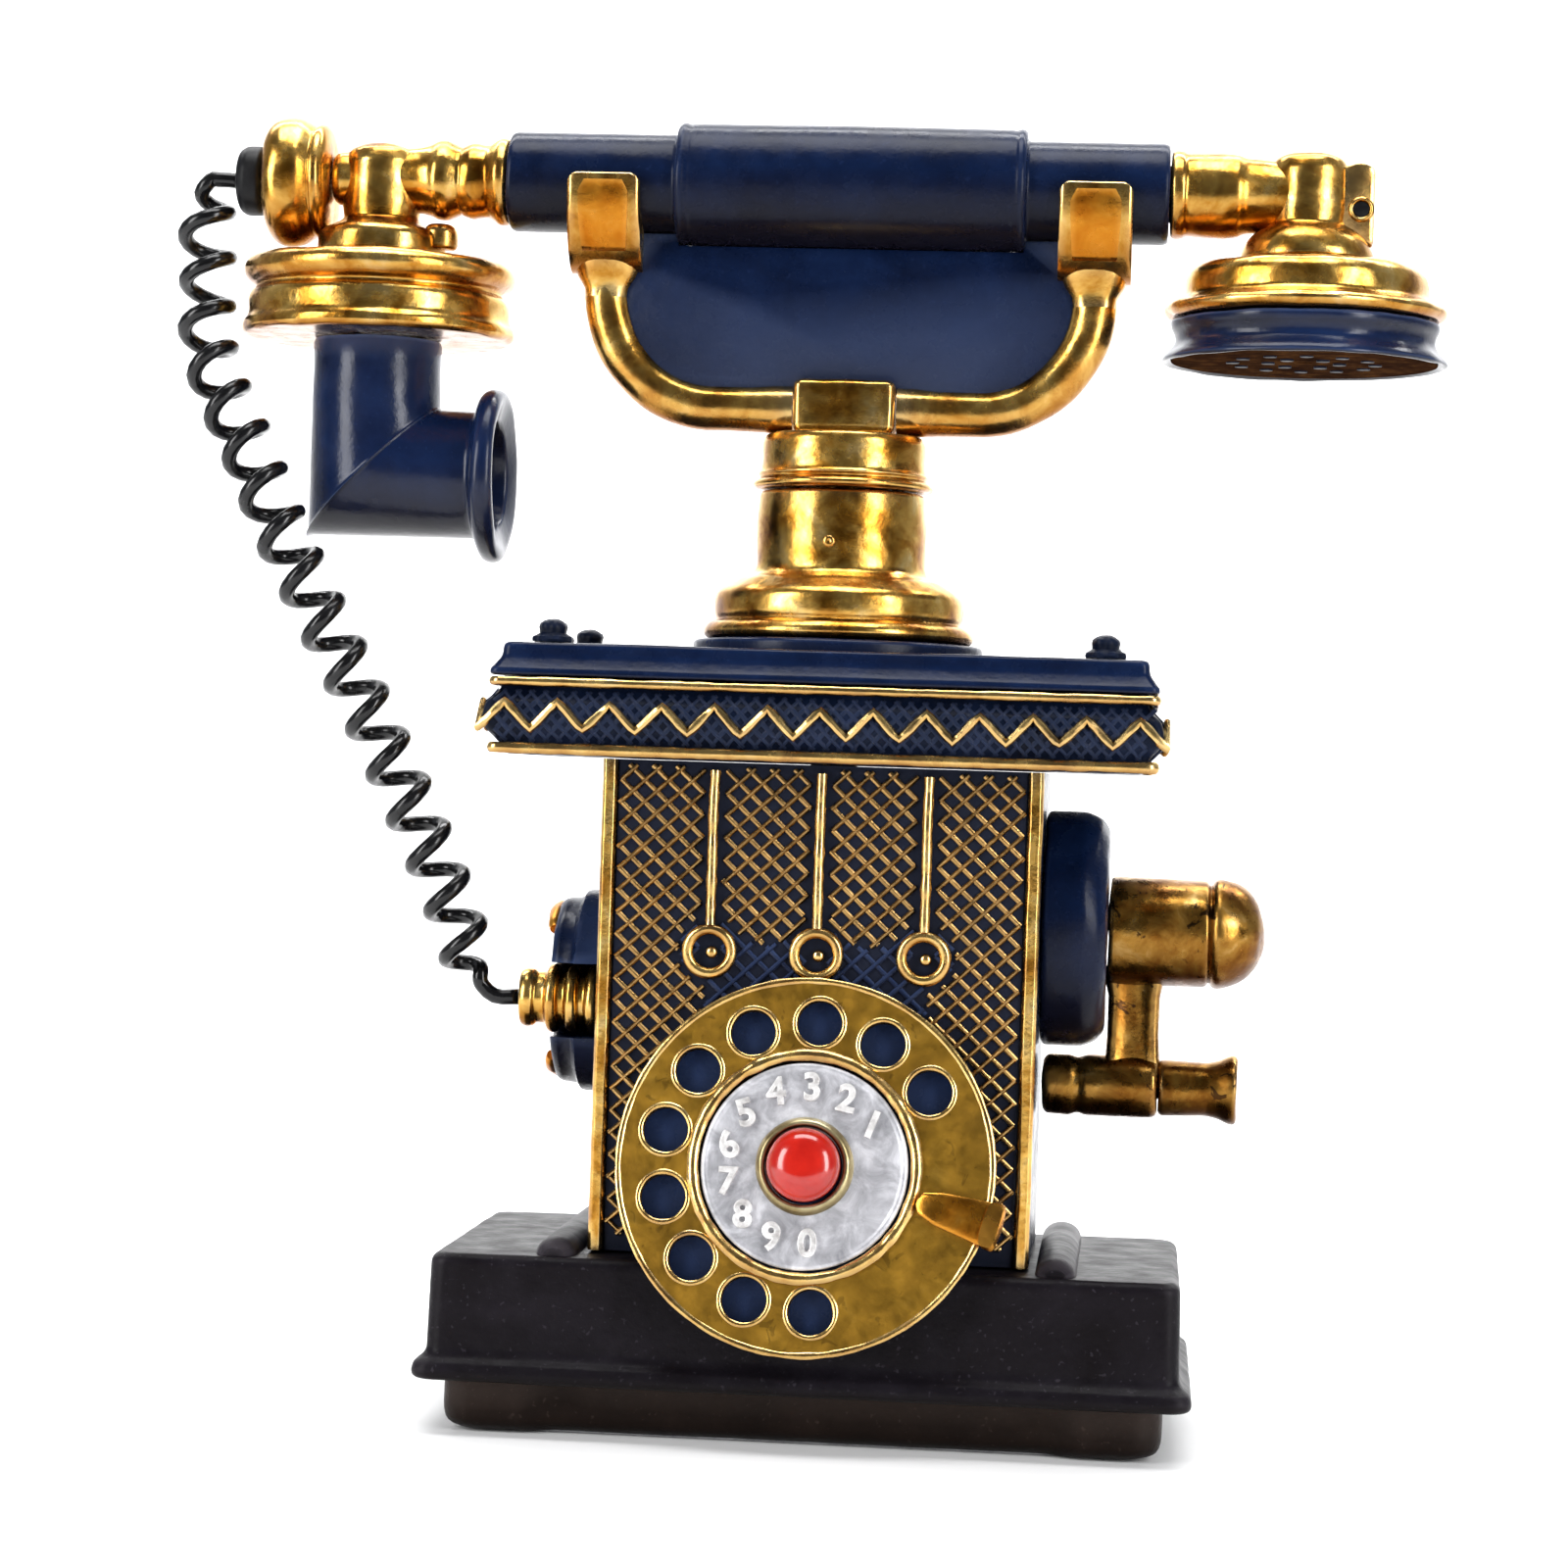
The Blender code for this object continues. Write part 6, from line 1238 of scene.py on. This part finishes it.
boss = skinned([boss_ring(scale, out) for scale, out in (
    (1.0, 0.0), (1.0, 0.0046), (0.992, 0.0056), (0.950, 0.0062), (0.925, 0.0068), (0.920, 0.0092),
    (0.908, 0.0102), (0.880, 0.0109), (0.850, 0.0110))])
hand_cast(boss, 0.00025, 0.006)
piece("cord_boss_casting", boss, navy, "housing", "cord_boss", sharp=45)
for word, low_angle, high_angle in (("upper", 62, 128), ("lower", 236, 300)):
    lug_line = [Vector((wall_face - 0.0112, (boss_r - 0.0050) * math.cos(math.radians(angle)),
                        boss_z + (boss_r - 0.0050) * math.sin(math.radians(angle))))
                for angle in [low_angle + (high_angle - low_angle) * k / 18 for k in range(19)]]
    widths = [0.55 + 0.45 * math.sin(math.pi * k / 18) ** 0.5 for k in range(19)]
    lug_skin = skinned(swept(lug_line, 0.0023, 14, widths, Vector((1, 0, 0))))
    hand_cast(lug_skin, 0.0005, 0.003)
    piece("boss_rib_" + word, lug_skin, recessed_gold, "housing")
gland_low, gland_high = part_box("cord_gland")
gland_face = gland_high.x
gland_end = gland_low.x
gland_outline = [(0, gland_face), (0.0056, gland_face)]
for rib in range(3):
    start = gland_face - 0.0010 - rib * 0.0043
    gland_outline += [(0.0056, start), (0.0070, start - 0.0003), (0.0074, start - 0.0013),
                      (0.0070, start - 0.0023), (0.0056, start - 0.0028)]
gland_outline += [(0.0054, gland_end + 0.0036), (0.0062, gland_end + 0.0028), (0.0063, gland_end + 0.0014),
                  (0.0058, gland_end + 0.0002), (0.0046, gland_end), (0.0036, gland_end + 0.0008),
                  (0.0030, gland_end + 0.0040), (0, gland_end + 0.0040)]
lathe("cord_gland_turning", gland_outline, antique_gold, "housing", "cord_gland",
      at=(0, gland_y, gland_z), turn=along_x, ease=0.0005, around=64, wave=0.0003)
lathe("gland_socket", [(0, gland_end + 0.0006), (0.0045, gland_end + 0.0006), (0.0045, gland_end + 0.0012),
                       (0, gland_end + 0.0012)], rubber, "housing",
      at=(0, gland_y, gland_z), turn=along_x, ease=0.0002, around=32, wave=0.0)

# ------------------------------------------------------------------- curly cord
# A coiled black plastic cord hangs from the handset's bush to the gland. Its
# route is the CAD cord's; the coil closes onto the route at both ends.
cord_route = (
    (-0.1403, 0.0000, 0.2620), (-0.1403, -0.0010, 0.2530), (-0.1392, -0.0030, 0.2430),
    (-0.1388, -0.0045, 0.2330), (-0.1372, -0.0070, 0.2240), (-0.1330, -0.0100, 0.2150),
    (-0.1280, -0.0130, 0.2060), (-0.1230, -0.0160, 0.1965), (-0.1180, -0.0185, 0.1860),
    (-0.1125, -0.0190, 0.1755), (-0.1070, -0.0185, 0.1650), (-0.1018, -0.0175, 0.1550),
    (-0.0970, -0.0165, 0.1455), (-0.0922, -0.0155, 0.1355), (-0.0877, -0.0145, 0.1260),
    (-0.0832, -0.0137, 0.1162), (-0.0795, -0.0130, 0.1072), (-0.0766, -0.0124, 0.0990),
    (-0.0738, -0.0120, 0.0925), (-0.0700, -0.0120, 0.0886), (-0.0647, -0.0120, 0.0885))
cord_turns = 18
cord_wire = 0.0034
coil_radius = 0.0048
points_per_turn = 16
bush_mouth = Vector((bush_low.x - 0.0001, 0, (bush_low.z + bush_high.z) / 2))
knots = [bush_mouth, bush_mouth + Vector((-0.0042, 0, 0.0002))] + [Vector(spot) for spot in cord_route]
knots = [2 * knots[0] - knots[1]] + knots + [2 * knots[-1] - knots[-2]]
smooth_route = []
for index in range(1, len(knots) - 2):
    a, b, c, d = knots[index - 1:index + 3]
    for step in range(24):
        t = step / 24
        smooth_route.append(0.5 * (2 * b + (c - a) * t + (2 * a - 5 * b + 4 * c - d) * t ** 2
                                   + (3 * b - a - 3 * c + d) * t ** 3))
smooth_route.append(knots[-2])
run = [0.0]
for before, after in zip(smooth_route, smooth_route[1:]):
    run.append(run[-1] + (after - before).length)
route_length = run[-1]


def along_route(distance):
    """Point and direction of the route at a distance from the handset."""
    index = 0
    while index < len(run) - 2 and run[index + 1] < distance:
        index += 1
    share = (distance - run[index]) / (run[index + 1] - run[index])
    return smooth_route[index].lerp(smooth_route[index + 1], share), \
        (smooth_route[index + 1] - smooth_route[index]).normalized()


lead_in = 0.0060
lead_out = 0.0085
coil_steps = cord_turns * points_per_turn
cord_line = [along_route(lead_in * step / 5)[0] for step in range(5)]
coil_side = Vector((0, -1, 0))
for step in range(coil_steps + 1):
    share = step / coil_steps
    spot, direction = along_route(lead_in + (route_length - lead_in - lead_out) * share)
    coil_side = (coil_side - direction * coil_side.dot(direction)).normalized()
    coil_other = direction.cross(coil_side)
    opening = min(1.0, share * cord_turns / 0.8, (1 - share) * cord_turns / 0.8)
    opening = opening * opening * (3 - 2 * opening)
    reach = coil_radius * opening * (1 + 0.03 * noise.noise(spot * 90))
    angle = 2 * math.pi * cord_turns * share
    cord_line.append(spot + reach * (coil_side * math.cos(angle) + coil_other * math.sin(angle)))
cord_line += [along_route(route_length - lead_out + lead_out * step / 5)[0] for step in range(1, 6)]
gloss_black, cord_tree, cord_shader = finish_of("gloss_black_plastic")
cord_tree.links.new(steps_of(cord_tree, clouds(cord_tree, 260, 3), (
    (0.3, (0.0020, 0.0020, 0.0022)), (0.7, (0.0060, 0.0060, 0.0068)))), cord_shader.inputs["Base Color"])
cord_tree.links.new(steps_of(cord_tree, clouds(cord_tree, 160, 3), ((0.3, 0.16), (0.7, 0.30))),
                    cord_shader.inputs["Roughness"])
cord_shader.inputs["Specular IOR Level"].default_value = 0.38
relief(cord_tree, cord_shader, ((clouds(cord_tree, 600, 2), 0.10, 0.0002),))
cord_skin = skinned(swept(cord_line, cord_wire / 2, 12))
bmesh.ops.recalc_face_normals(cord_skin, faces=cord_skin.faces)
cord_mesh = bpy.data.meshes.new("coiled_cord")
cord_skin.to_mesh(cord_mesh)
cord_skin.free()
cord_mesh.shade_smooth()
cord_mesh.materials.append(gloss_black)
coiled_cord = bpy.data.objects.new("coiled_cord", cord_mesh)
bpy.context.scene.collection.objects.link(coiled_cord)
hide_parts("curly_cord")
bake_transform(coiled_cord)

# ------------------------------------------------------------ magneto and crank
# A navy drum covers the shaft on the right wall. The gold crank has a round
# hub with a domed end, worn through to dark, a fluted arm and a turning grip.
drum_low, drum_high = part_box("magneto_drum")
crank_z = (drum_low.z + drum_high.z) / 2
drum_r = (drum_high.z - drum_low.z) / 2
x = drum_low.x
face_x = drum_high.x
lathe("magneto_drum_spun", [
    (drum_r - 0.0010, x), (drum_r, x + 0.0006), (drum_r, face_x - 0.0052), (drum_r - 0.0004, face_x - 0.0040),
    (drum_r - 0.0014, face_x - 0.0018), (drum_r - 0.0034, face_x - 0.0002), (drum_r - 0.0050, face_x),
    (0.0135, face_x - 0.0001), (0.0043, face_x),
], navy, "housing", "magneto_drum", at=(0, 0, crank_z), turn=along_x,
    ease=0.0009, around=112, wave=0.0003)
worn_gold = gilt(
    "worn_crank_gold", ((0.070, 0.024, 0.004), (0.22, 0.090, 0.013), (0.40, 0.210, 0.040),
                        (0.84, 0.58, 0.23)),
    (0.19, 0.40), spots=0.9, grain=1.5)
arm_box_low, arm_box_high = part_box("crank_arm")
hub_x = face_x + 0.0003
hub_end = arm_box_high.x
hub_r = 0.0115
groove = hub_x + (hub_end - hub_x) * 0.645
lathe("crank_hub", [
    (0, hub_x), (hub_r - 0.0006, hub_x), (hub_r, hub_x + 0.0006), (hub_r - 0.0001, groove - 0.0012),
    (hub_r - 0.0003, groove - 0.0006), (hub_r - 0.0012, groove), (hub_r - 0.0001, groove + 0.0007),
    (hub_r + 0.0003, groove + 0.0016), (hub_r + 0.0002, hub_end - 0.0092), (hub_r * 0.94, hub_end - 0.0062),
    (hub_r * 0.80, hub_end - 0.0036), (hub_r * 0.58, hub_end - 0.0016), (hub_r * 0.28, hub_end - 0.0003),
    (0, hub_end),
], worn_gold, "crank", "crank_arm", at=(0, 0, crank_z), turn=along_x,
    ease=0.0011, around=96, wave=0.0004)
grip_low, grip_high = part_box("crank_grip")
grip_z = (grip_low.z + grip_high.z) / 2
web_x = hub_x + 0.0003 + 0.0055
web_rings = []
for share, wide, deep in ((0.0, 0.0060, 0.0052), (0.10, 0.0056, 0.0048), (0.25, 0.0050, 0.0043),
                          (0.55, 0.0049, 0.0042), (0.75, 0.0052, 0.0043), (0.88, 0.0056, 0.0045),
                          (1.0, 0.0054, 0.0044)):
    height = crank_z - 0.0075 - (crank_z - 0.0075 - grip_z) * share
    ring = []
    for cosine, sine in circle_of(40):
        across = squared(cosine, 0.6)
        flute = 1 - 0.55 * (1 - across ** 2) ** 2
        ring.append(Vector((web_x + 1.12 * wide * across, deep * flute * squared(sine, 0.6), height)))
    web_rings.append(ring)
crank_web = skinned(web_rings)
hand_cast(crank_web, 0.0004, 0.004)
piece("crank_web", crank_web, worn_gold, "crank")
stub_left = arm_box_low.x
stub_right = hub_x + 0.0112
lathe("crank_stub", [
    (0, stub_left), (0.0052, stub_left), (0.0064, stub_left + 0.0010), (0.0064, stub_left + 0.0060),
    (0.0058, stub_left + 0.0076), (0.0064, stub_left + 0.0092), (0.0066, stub_right - 0.0040),
    (0.0064, stub_right - 0.0008), (0.0058, stub_right), (0.0022, stub_right),
    (0.0022, stub_right + 0.0163), (0, stub_right + 0.0165),
], worn_gold, "crank", at=(0, 0, grip_z), turn=along_x, ease=0.0007, around=56, wave=0.0004)
grip_r = 0.0059
lathe("crank_grip_turning", [
    (0.0025, grip_low.x), (grip_r - 0.0006, grip_low.x), (grip_r, grip_low.x + 0.0006),
    (grip_r - 0.0001, grip_high.x - 0.0062), (grip_r + 0.0003, grip_high.x - 0.0038),
    (grip_r + 0.0011, grip_high.x - 0.0018), (grip_r + 0.0013, grip_high.x - 0.0005),
    (grip_r + 0.0006, grip_high.x), (0.0025, grip_high.x), (0.0025, grip_low.x),
], worn_gold, "crank_grip", "crank_grip", at=(0, 0, grip_z), turn=along_x,
    ease=0.0006, around=64, wave=0.0003)

# ------------------------------------------------------------------------- dial
# A dull bronze finger wheel with gold lips round its ten holes turns over a
# navy plate. Inside it lie a silvered number plate, a pale collar and a red
# button; a folded gold finger stop reaches over from the right.
dial_tilt = math.radians(12)
dial_r = (dial_high.x - dial_low.x) / 2
dial_z = base_top + 0.0200
dial_y = -(base_depth / 2 + 0.0005 / math.cos(dial_tilt)) + 0.0200 * math.tan(dial_tilt)
dial_at = (0, dial_y, dial_z)
dial_turn = (math.pi / 2 - dial_tilt, 0, 0)
wheel_back = 0.0023
wheel_face = 0.0048
hole_circle = 0.0296
hole_r = 0.0046
bronze = gilt(
    "dull_bronze", ((0.100, 0.045, 0.003), (0.230, 0.110, 0.008), (0.365, 0.186, 0.016), (0.59, 0.34, 0.055)),
    (0.34, 0.52), bright=0.35, spots=0.35, grain=1.4)
lathe("dial_back_plate", [(0.0050, 0.0003), (0.0364, 0.0003), (0.0364, 0.0012), (0.0361, 0.0015),
                          (0.0050, 0.0015)],
      navy, "housing", "dial_plate", at=dial_at, turn=dial_turn, ease=0.0003, around=112, wave=0.0)
hole_angles = [math.radians(33.0 + 26.9 * k) for k in range(10)]
hole_middles = [(hole_circle * math.cos(angle), hole_circle * math.sin(angle)) for angle in hole_angles]
wheel = bmesh.new()
inner_r = 0.0216
outer_r = dial_r - 0.0006
rim_count = 240


def wheel_level(height, inset):
    """Points of the wheel's flat ring at one height: outer rim, inner rim, holes."""
    circles = [((0, 0), outer_r - inset, rim_count), ((0, 0), inner_r + inset, rim_count)]
    circles += [(middle, hole_r + inset, 40) for middle in hole_middles]
    return [[wheel.verts.new((middle[0] + radius * cosine, middle[1] + radius * sine, height))
             for cosine, sine in circle_of(count)] for middle, radius, count in circles]


top_level = wheel_level(wheel_face - 0.0003, 0.0004)
low_level = wheel_level(wheel_back, 0.0)
for loops in (top_level, low_level):
    edges = [wheel.edges.new((loop[k], loop[(k + 1) % len(loop)])) for loop in loops
             for k in range(len(loop))]
    bmesh.ops.triangle_fill(wheel, use_beauty=True, use_dissolve=False, edges=edges)
for upper, lower in zip(top_level, low_level):
    for k in range(len(upper)):
        n = (k + 1) % len(upper)
        wheel.faces.new((lower[k], lower[n], upper[n], upper[k]))
piece("finger_wheel_plate", wheel, bronze, "dial", "finger_wheel", at=dial_at, turn=dial_turn,
      sharp=30)


def lip_round(bm, middle, radius, wide, rise, around, height):
    """Add a half-round raised lip, laid by hand, round a circle on the wheel."""
    rows = []
    for cosine, sine in circle_of(around):
        way = Vector((cosine, sine, 0))
        wander = 1 + 0.24 * noise.noise((middle + way * radius) * 330)
        rows.append([bm.verts.new(middle + way * (radius + wide * offset * wander)
                                  + Vector((0, 0, height + rise * up * wander)))
                     for offset, up in ((-1, -0.8), (-0.9, 0.35), (-0.45, 0.9), (0, 1.0), (0.45, 0.9),
                                        (0.9, 0.35), (1, -0.8))])
    for k in range(around):
        n = (k + 1) % around
        for j in range(7):
            m = (j + 1) % 7
            bm.faces.new((rows[k][j], rows[k][m], rows[n][m], rows[n][j]))


lips = bmesh.new()
for middle in hole_middles:
    lip_round(lips, Vector((*middle, 0)), hole_r + 0.00055, 0.00055, 0.00035, 48, wheel_face - 0.0003)
lip_round(lips, Vector((0, 0, 0)), dial_r - 0.0007, 0.0007, 0.00040, 220, wheel_face - 0.0004)
lip_round(lips, Vector((0, 0, 0)), inner_r + 0.0013, 0.0013, 0.00100, 200, wheel_face - 0.0001)
piece("finger_wheel_lips", lips, antique_gold, "dial", at=dial_at, turn=dial_turn)

silver, silver_tree, silver_shader = finish_of("silvered_plate")
silver_base = steps_of(silver_tree, clouds(silver_tree, 170, 5, 0.65, 0.6), (
    (0.28, (0.26, 0.26, 0.28)), (0.48, (0.46, 0.46, 0.49)), (0.72, (0.78, 0.78, 0.82))))
# Painted shade: the plate's hollows are darkened.
silver_hollow_shade = steps_of(silver_tree, edges_and_hollows(silver_tree), ((0.40, 0.8), (0.48, 0.0)))
silver_tree.links.new(laid_over(silver_tree, silver_hollow_shade, silver_base, (0.10, 0.09, 0.10)),
                      silver_shader.inputs["Base Color"])
silver_shader.inputs["Metallic"].default_value = 0.40
silver_tree.links.new(steps_of(silver_tree, clouds(silver_tree, 240, 4), ((0.3, 0.30), (0.7, 0.50))),
                      silver_shader.inputs["Roughness"])
relief(silver_tree, silver_shader, ((clouds(silver_tree, 220, 4, 0.6), 0.35, 0.0004),))
plate_face = 0.0054
plate_r = 0.0212
button_r = 0.0077
lathe("number_plate_disc", [
    (button_r + 0.0002, plate_face - 0.0008), (button_r + 0.0009, plate_face - 0.0001),
    (button_r + 0.0016, plate_face - 0.0001), (plate_r - 0.0016, plate_face - 0.0002),
    (plate_r - 0.0008, plate_face + 0.0001), (plate_r, plate_face - 0.0003), (plate_r, plate_face - 0.0014),
    (button_r, plate_face - 0.0014)], silver, "housing", "number_plate", at=dial_at, turn=dial_turn,
    ease=0.0003, around=112, wave=0.00005)
pale_gold_collar = gilt(
    "pale_collar_gold", ((0.16, 0.11, 0.04), (0.34, 0.26, 0.12), (0.54, 0.46, 0.26), (0.78, 0.72, 0.48)),
    (0.25, 0.42), bright=0.5)
lathe("button_collar", [
    (button_r + 0.0003, plate_face - 0.0006), (button_r + 0.0003, plate_face + 0.0011),
    (button_r + 0.0009, plate_face + 0.0016), (button_r + 0.0017, plate_face + 0.0012),
    (button_r + 0.0023, plate_face + 0.0002), (button_r + 0.0024, plate_face - 0.0004),
], pale_gold_collar, "housing", at=dial_at, turn=dial_turn, ease=0.0005, around=80, wave=0.0002)

# Raised figures, 1 to 9 and 0, stand beside the holes, run anticlockwise from the top right.
white_figures, figure_tree, figure_shader = finish_of("raised_silver_figures")
figure_tree.links.new(steps_of(figure_tree, clouds(figure_tree, 400, 4, 0.6), (
    (0.3, (0.45, 0.43, 0.42)), (0.55, (0.80, 0.79, 0.78)), (0.8, (0.95, 0.94, 0.93)))),
    figure_shader.inputs["Base Color"])
figure_shader.inputs["Metallic"].default_value = 0.35
figure_shader.inputs["Roughness"].default_value = 0.36
figures = bmesh.new()
for index, angle in enumerate(hole_angles):
    letter = bpy.data.curves.new("figure", 'FONT')
    letter.body = str((index + 1) % 10)
    letter.size = 0.0077
    letter.align_x = 'CENTER'
    letter.align_y = 'CENTER'
    letter.extrude = 0.0005
    letter.bevel_depth = 0.00022
    letter.bevel_resolution = 1
    letter.offset = 0.00005
    holder = bpy.data.objects.new("figure", letter)
    bpy.context.scene.collection.objects.link(holder)
    bpy.context.view_layer.update()
    shape = bpy.data.meshes.new_from_object(holder.evaluated_get(bpy.context.evaluated_depsgraph_get()))
    lean = math.radians(7) * noise.noise(Vector((index * 2.3, 1, 4)))
    place = Matrix.Translation((0.0160 * math.cos(angle), 0.0160 * math.sin(angle), plate_face + 0.0002)) \
        @ Matrix.Rotation(lean + 0.35 * (angle - math.pi / 2 if angle < math.pi else 0.0), 4, 'Z')
    shape.transform(place)
    figures.from_mesh(shape)
    bpy.data.objects.remove(holder)
    bpy.data.curves.remove(letter)
    bpy.data.meshes.remove(shape)
bmesh.ops.remove_doubles(figures, verts=figures.verts, dist=1e-6)
piece("raised_figures", figures, white_figures, "housing", at=dial_at, turn=dial_turn)

red_gloss, red_tree, red_shader = finish_of("glossy_red_plastic")
red_tree.links.new(steps_of(red_tree, clouds(red_tree, 180, 3), (
    (0.3, (0.34, 0.006, 0.003)), (0.7, (0.52, 0.014, 0.006)))), red_shader.inputs["Base Color"])
red_tree.links.new(steps_of(red_tree, clouds(red_tree, 120, 3), ((0.3, 0.14), (0.7, 0.26))),
                   red_shader.inputs["Roughness"])
red_shader.inputs["Coat Weight"].default_value = 0.5
relief(red_tree, red_shader, ((clouds(red_tree, 160, 2), 0.12, 0.0004),))
button_low = plate_face + 0.0017
lathe("red_button", [
    (0, button_low - 0.0008), (button_r - 0.0003, button_low - 0.0008),
    (button_r - 0.0001, button_low + 0.0006), (button_r * 0.965, button_low + 0.0018),
    (button_r * 0.88, button_low + 0.0031), (button_r * 0.72, button_low + 0.0043),
    (button_r * 0.48, button_low + 0.0051), (button_r * 0.22, button_low + 0.0054), (0, button_low + 0.0055),
], red_gloss, "call_button", "call_button", at=dial_at, turn=dial_turn,
    ease=0.0009, around=80, wave=0.0001)

# The finger stop: a thin gold arm over the wheel with a folded, brighter end.
stop_angle = math.radians(-15.5)
stop_at = Vector((math.cos(stop_angle), math.sin(stop_angle), 0))
stop_beside = Vector((-math.sin(stop_angle), math.cos(stop_angle), 0))
stop_rings = []
for reach, wide, height, thick in (
        (inner_r + 0.0026, 0.0008, wheel_face + 0.0016, 0.0004),
        (inner_r + 0.0034, 0.0022, wheel_face + 0.0018, 0.0006),
        (0.0290, 0.0034, wheel_face + 0.0019, 0.0007), (0.0345, 0.0041, wheel_face + 0.0018, 0.0007),
        (0.0378, 0.0045, wheel_face + 0.0016, 0.0007), (0.0402, 0.0046, wheel_face + 0.0012, 0.0007),
        (0.0414, 0.0044, wheel_face + 0.0008, 0.0007)):
    stop_rings.append([stop_at * reach + stop_beside * wide * squared(cosine, 0.5)
                       + Vector((0, 0, height + thick * squared(sine, 0.5)))
                       for cosine, sine in circle_of(20)])
stop_skin = skinned(stop_rings)
hand_cast(stop_skin, 0.00015, 0.003)
piece("finger_stop_arm", stop_skin, recessed_gold, "housing", "finger_stop", at=dial_at,
      turn=dial_turn)
fold_rings = []
for height, inner, outer, wide in ((0.0016, 0.0398, 0.0416, 0.0036), (0.0030, 0.0398, 0.0418, 0.0040),
                                   (wheel_face + 0.0004, 0.0398, 0.0421, 0.0046),
                                   (wheel_face + 0.0020, 0.0386, 0.0421, 0.0050),
                                   (wheel_face + 0.0030, 0.0380, 0.0415, 0.0046)):
    fold_rings.append([stop_at * ((inner + outer) / 2 + (outer - inner) / 2 * squared(cosine, 0.5))
                       + stop_beside * wide * squared(sine, 0.5) + Vector((0, 0, height))
                       for cosine, sine in circle_of(24)])
fold = skinned(fold_rings)
hand_cast(fold, 0.00025, 0.003)
piece("finger_stop_fold", fold, recessed_gold, "housing", at=dial_at, turn=dial_turn)

# ------------------------------------------------------------------ inner works
# What the casing hides: ringer, coils, capacitor, gears, switch and capsules.
# They are the CAD solids, in the metals and plastics of their kind.


def machined(name, colours, metallic, gloss, stretch=(1, 1, 1)):
    """Bare metal or moulded plastic with fine streaks and dulling."""
    material, tree, shader = finish_of(name)
    streaks = clouds(tree, 240, 4, 0.6, 0.0, stretch)
    tree.links.new(steps_of(tree, streaks, ((0.3, colours[0]), (0.5, colours[1]), (0.72, colours[2]))),
                   shader.inputs["Base Color"])
    shader.inputs["Metallic"].default_value = metallic
    tree.links.new(steps_of(tree, clouds(tree, 90, 4, 0.6), ((0.3, gloss[0]), (0.7, gloss[1]))),
                   shader.inputs["Roughness"])
    relief(tree, shader, ((clouds(tree, 500, 3, 0.55, 0.0, stretch), 0.18, 0.0003),))
    return material


dull_steel = machined("dull_steel", ((0.22, 0.22, 0.23), (0.36, 0.36, 0.37), (0.50, 0.50, 0.51)), 1.0,
                      (0.30, 0.48))
bell_steel = machined("bell_steel", ((0.44, 0.44, 0.45), (0.58, 0.58, 0.59), (0.70, 0.70, 0.71)), 1.0,
                      (0.14, 0.26))
copper_wire = machined("copper_wire", ((0.36, 0.12, 0.05), (0.58, 0.24, 0.10), (0.74, 0.36, 0.17)), 1.0,
                       (0.30, 0.45), (0.2, 0.2, 6.0))
phenolic = machined("brown_phenolic", ((0.020, 0.009, 0.005), (0.040, 0.018, 0.010), (0.065, 0.030, 0.016)),
                    0.0, (0.32, 0.50))
tinned_can = machined("tinned_can", ((0.40, 0.40, 0.40), (0.52, 0.52, 0.51), (0.62, 0.62, 0.60)), 0.9,
                      (0.34, 0.52))
for finish, nodes in (
        (dull_steel, ("bottom_plate", "magnet", "dial_cup", "dial_gear", "governor", "crank_gear",
                      "switch_lever", "clapper", "transmitter_capsule", "receiver_capsule")),
        (bell_steel, ("gong_left", "gong_right")),
        (copper_wire, ("ringer_coils", "induction_coil", "armature")),
        (phenolic, ("terminal_block", "switch_stack")),
        (tinned_can, ("capacitor",))):
    for node in nodes:
        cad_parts[node].data.materials.clear()
        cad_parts[node].data.materials.append(finish)
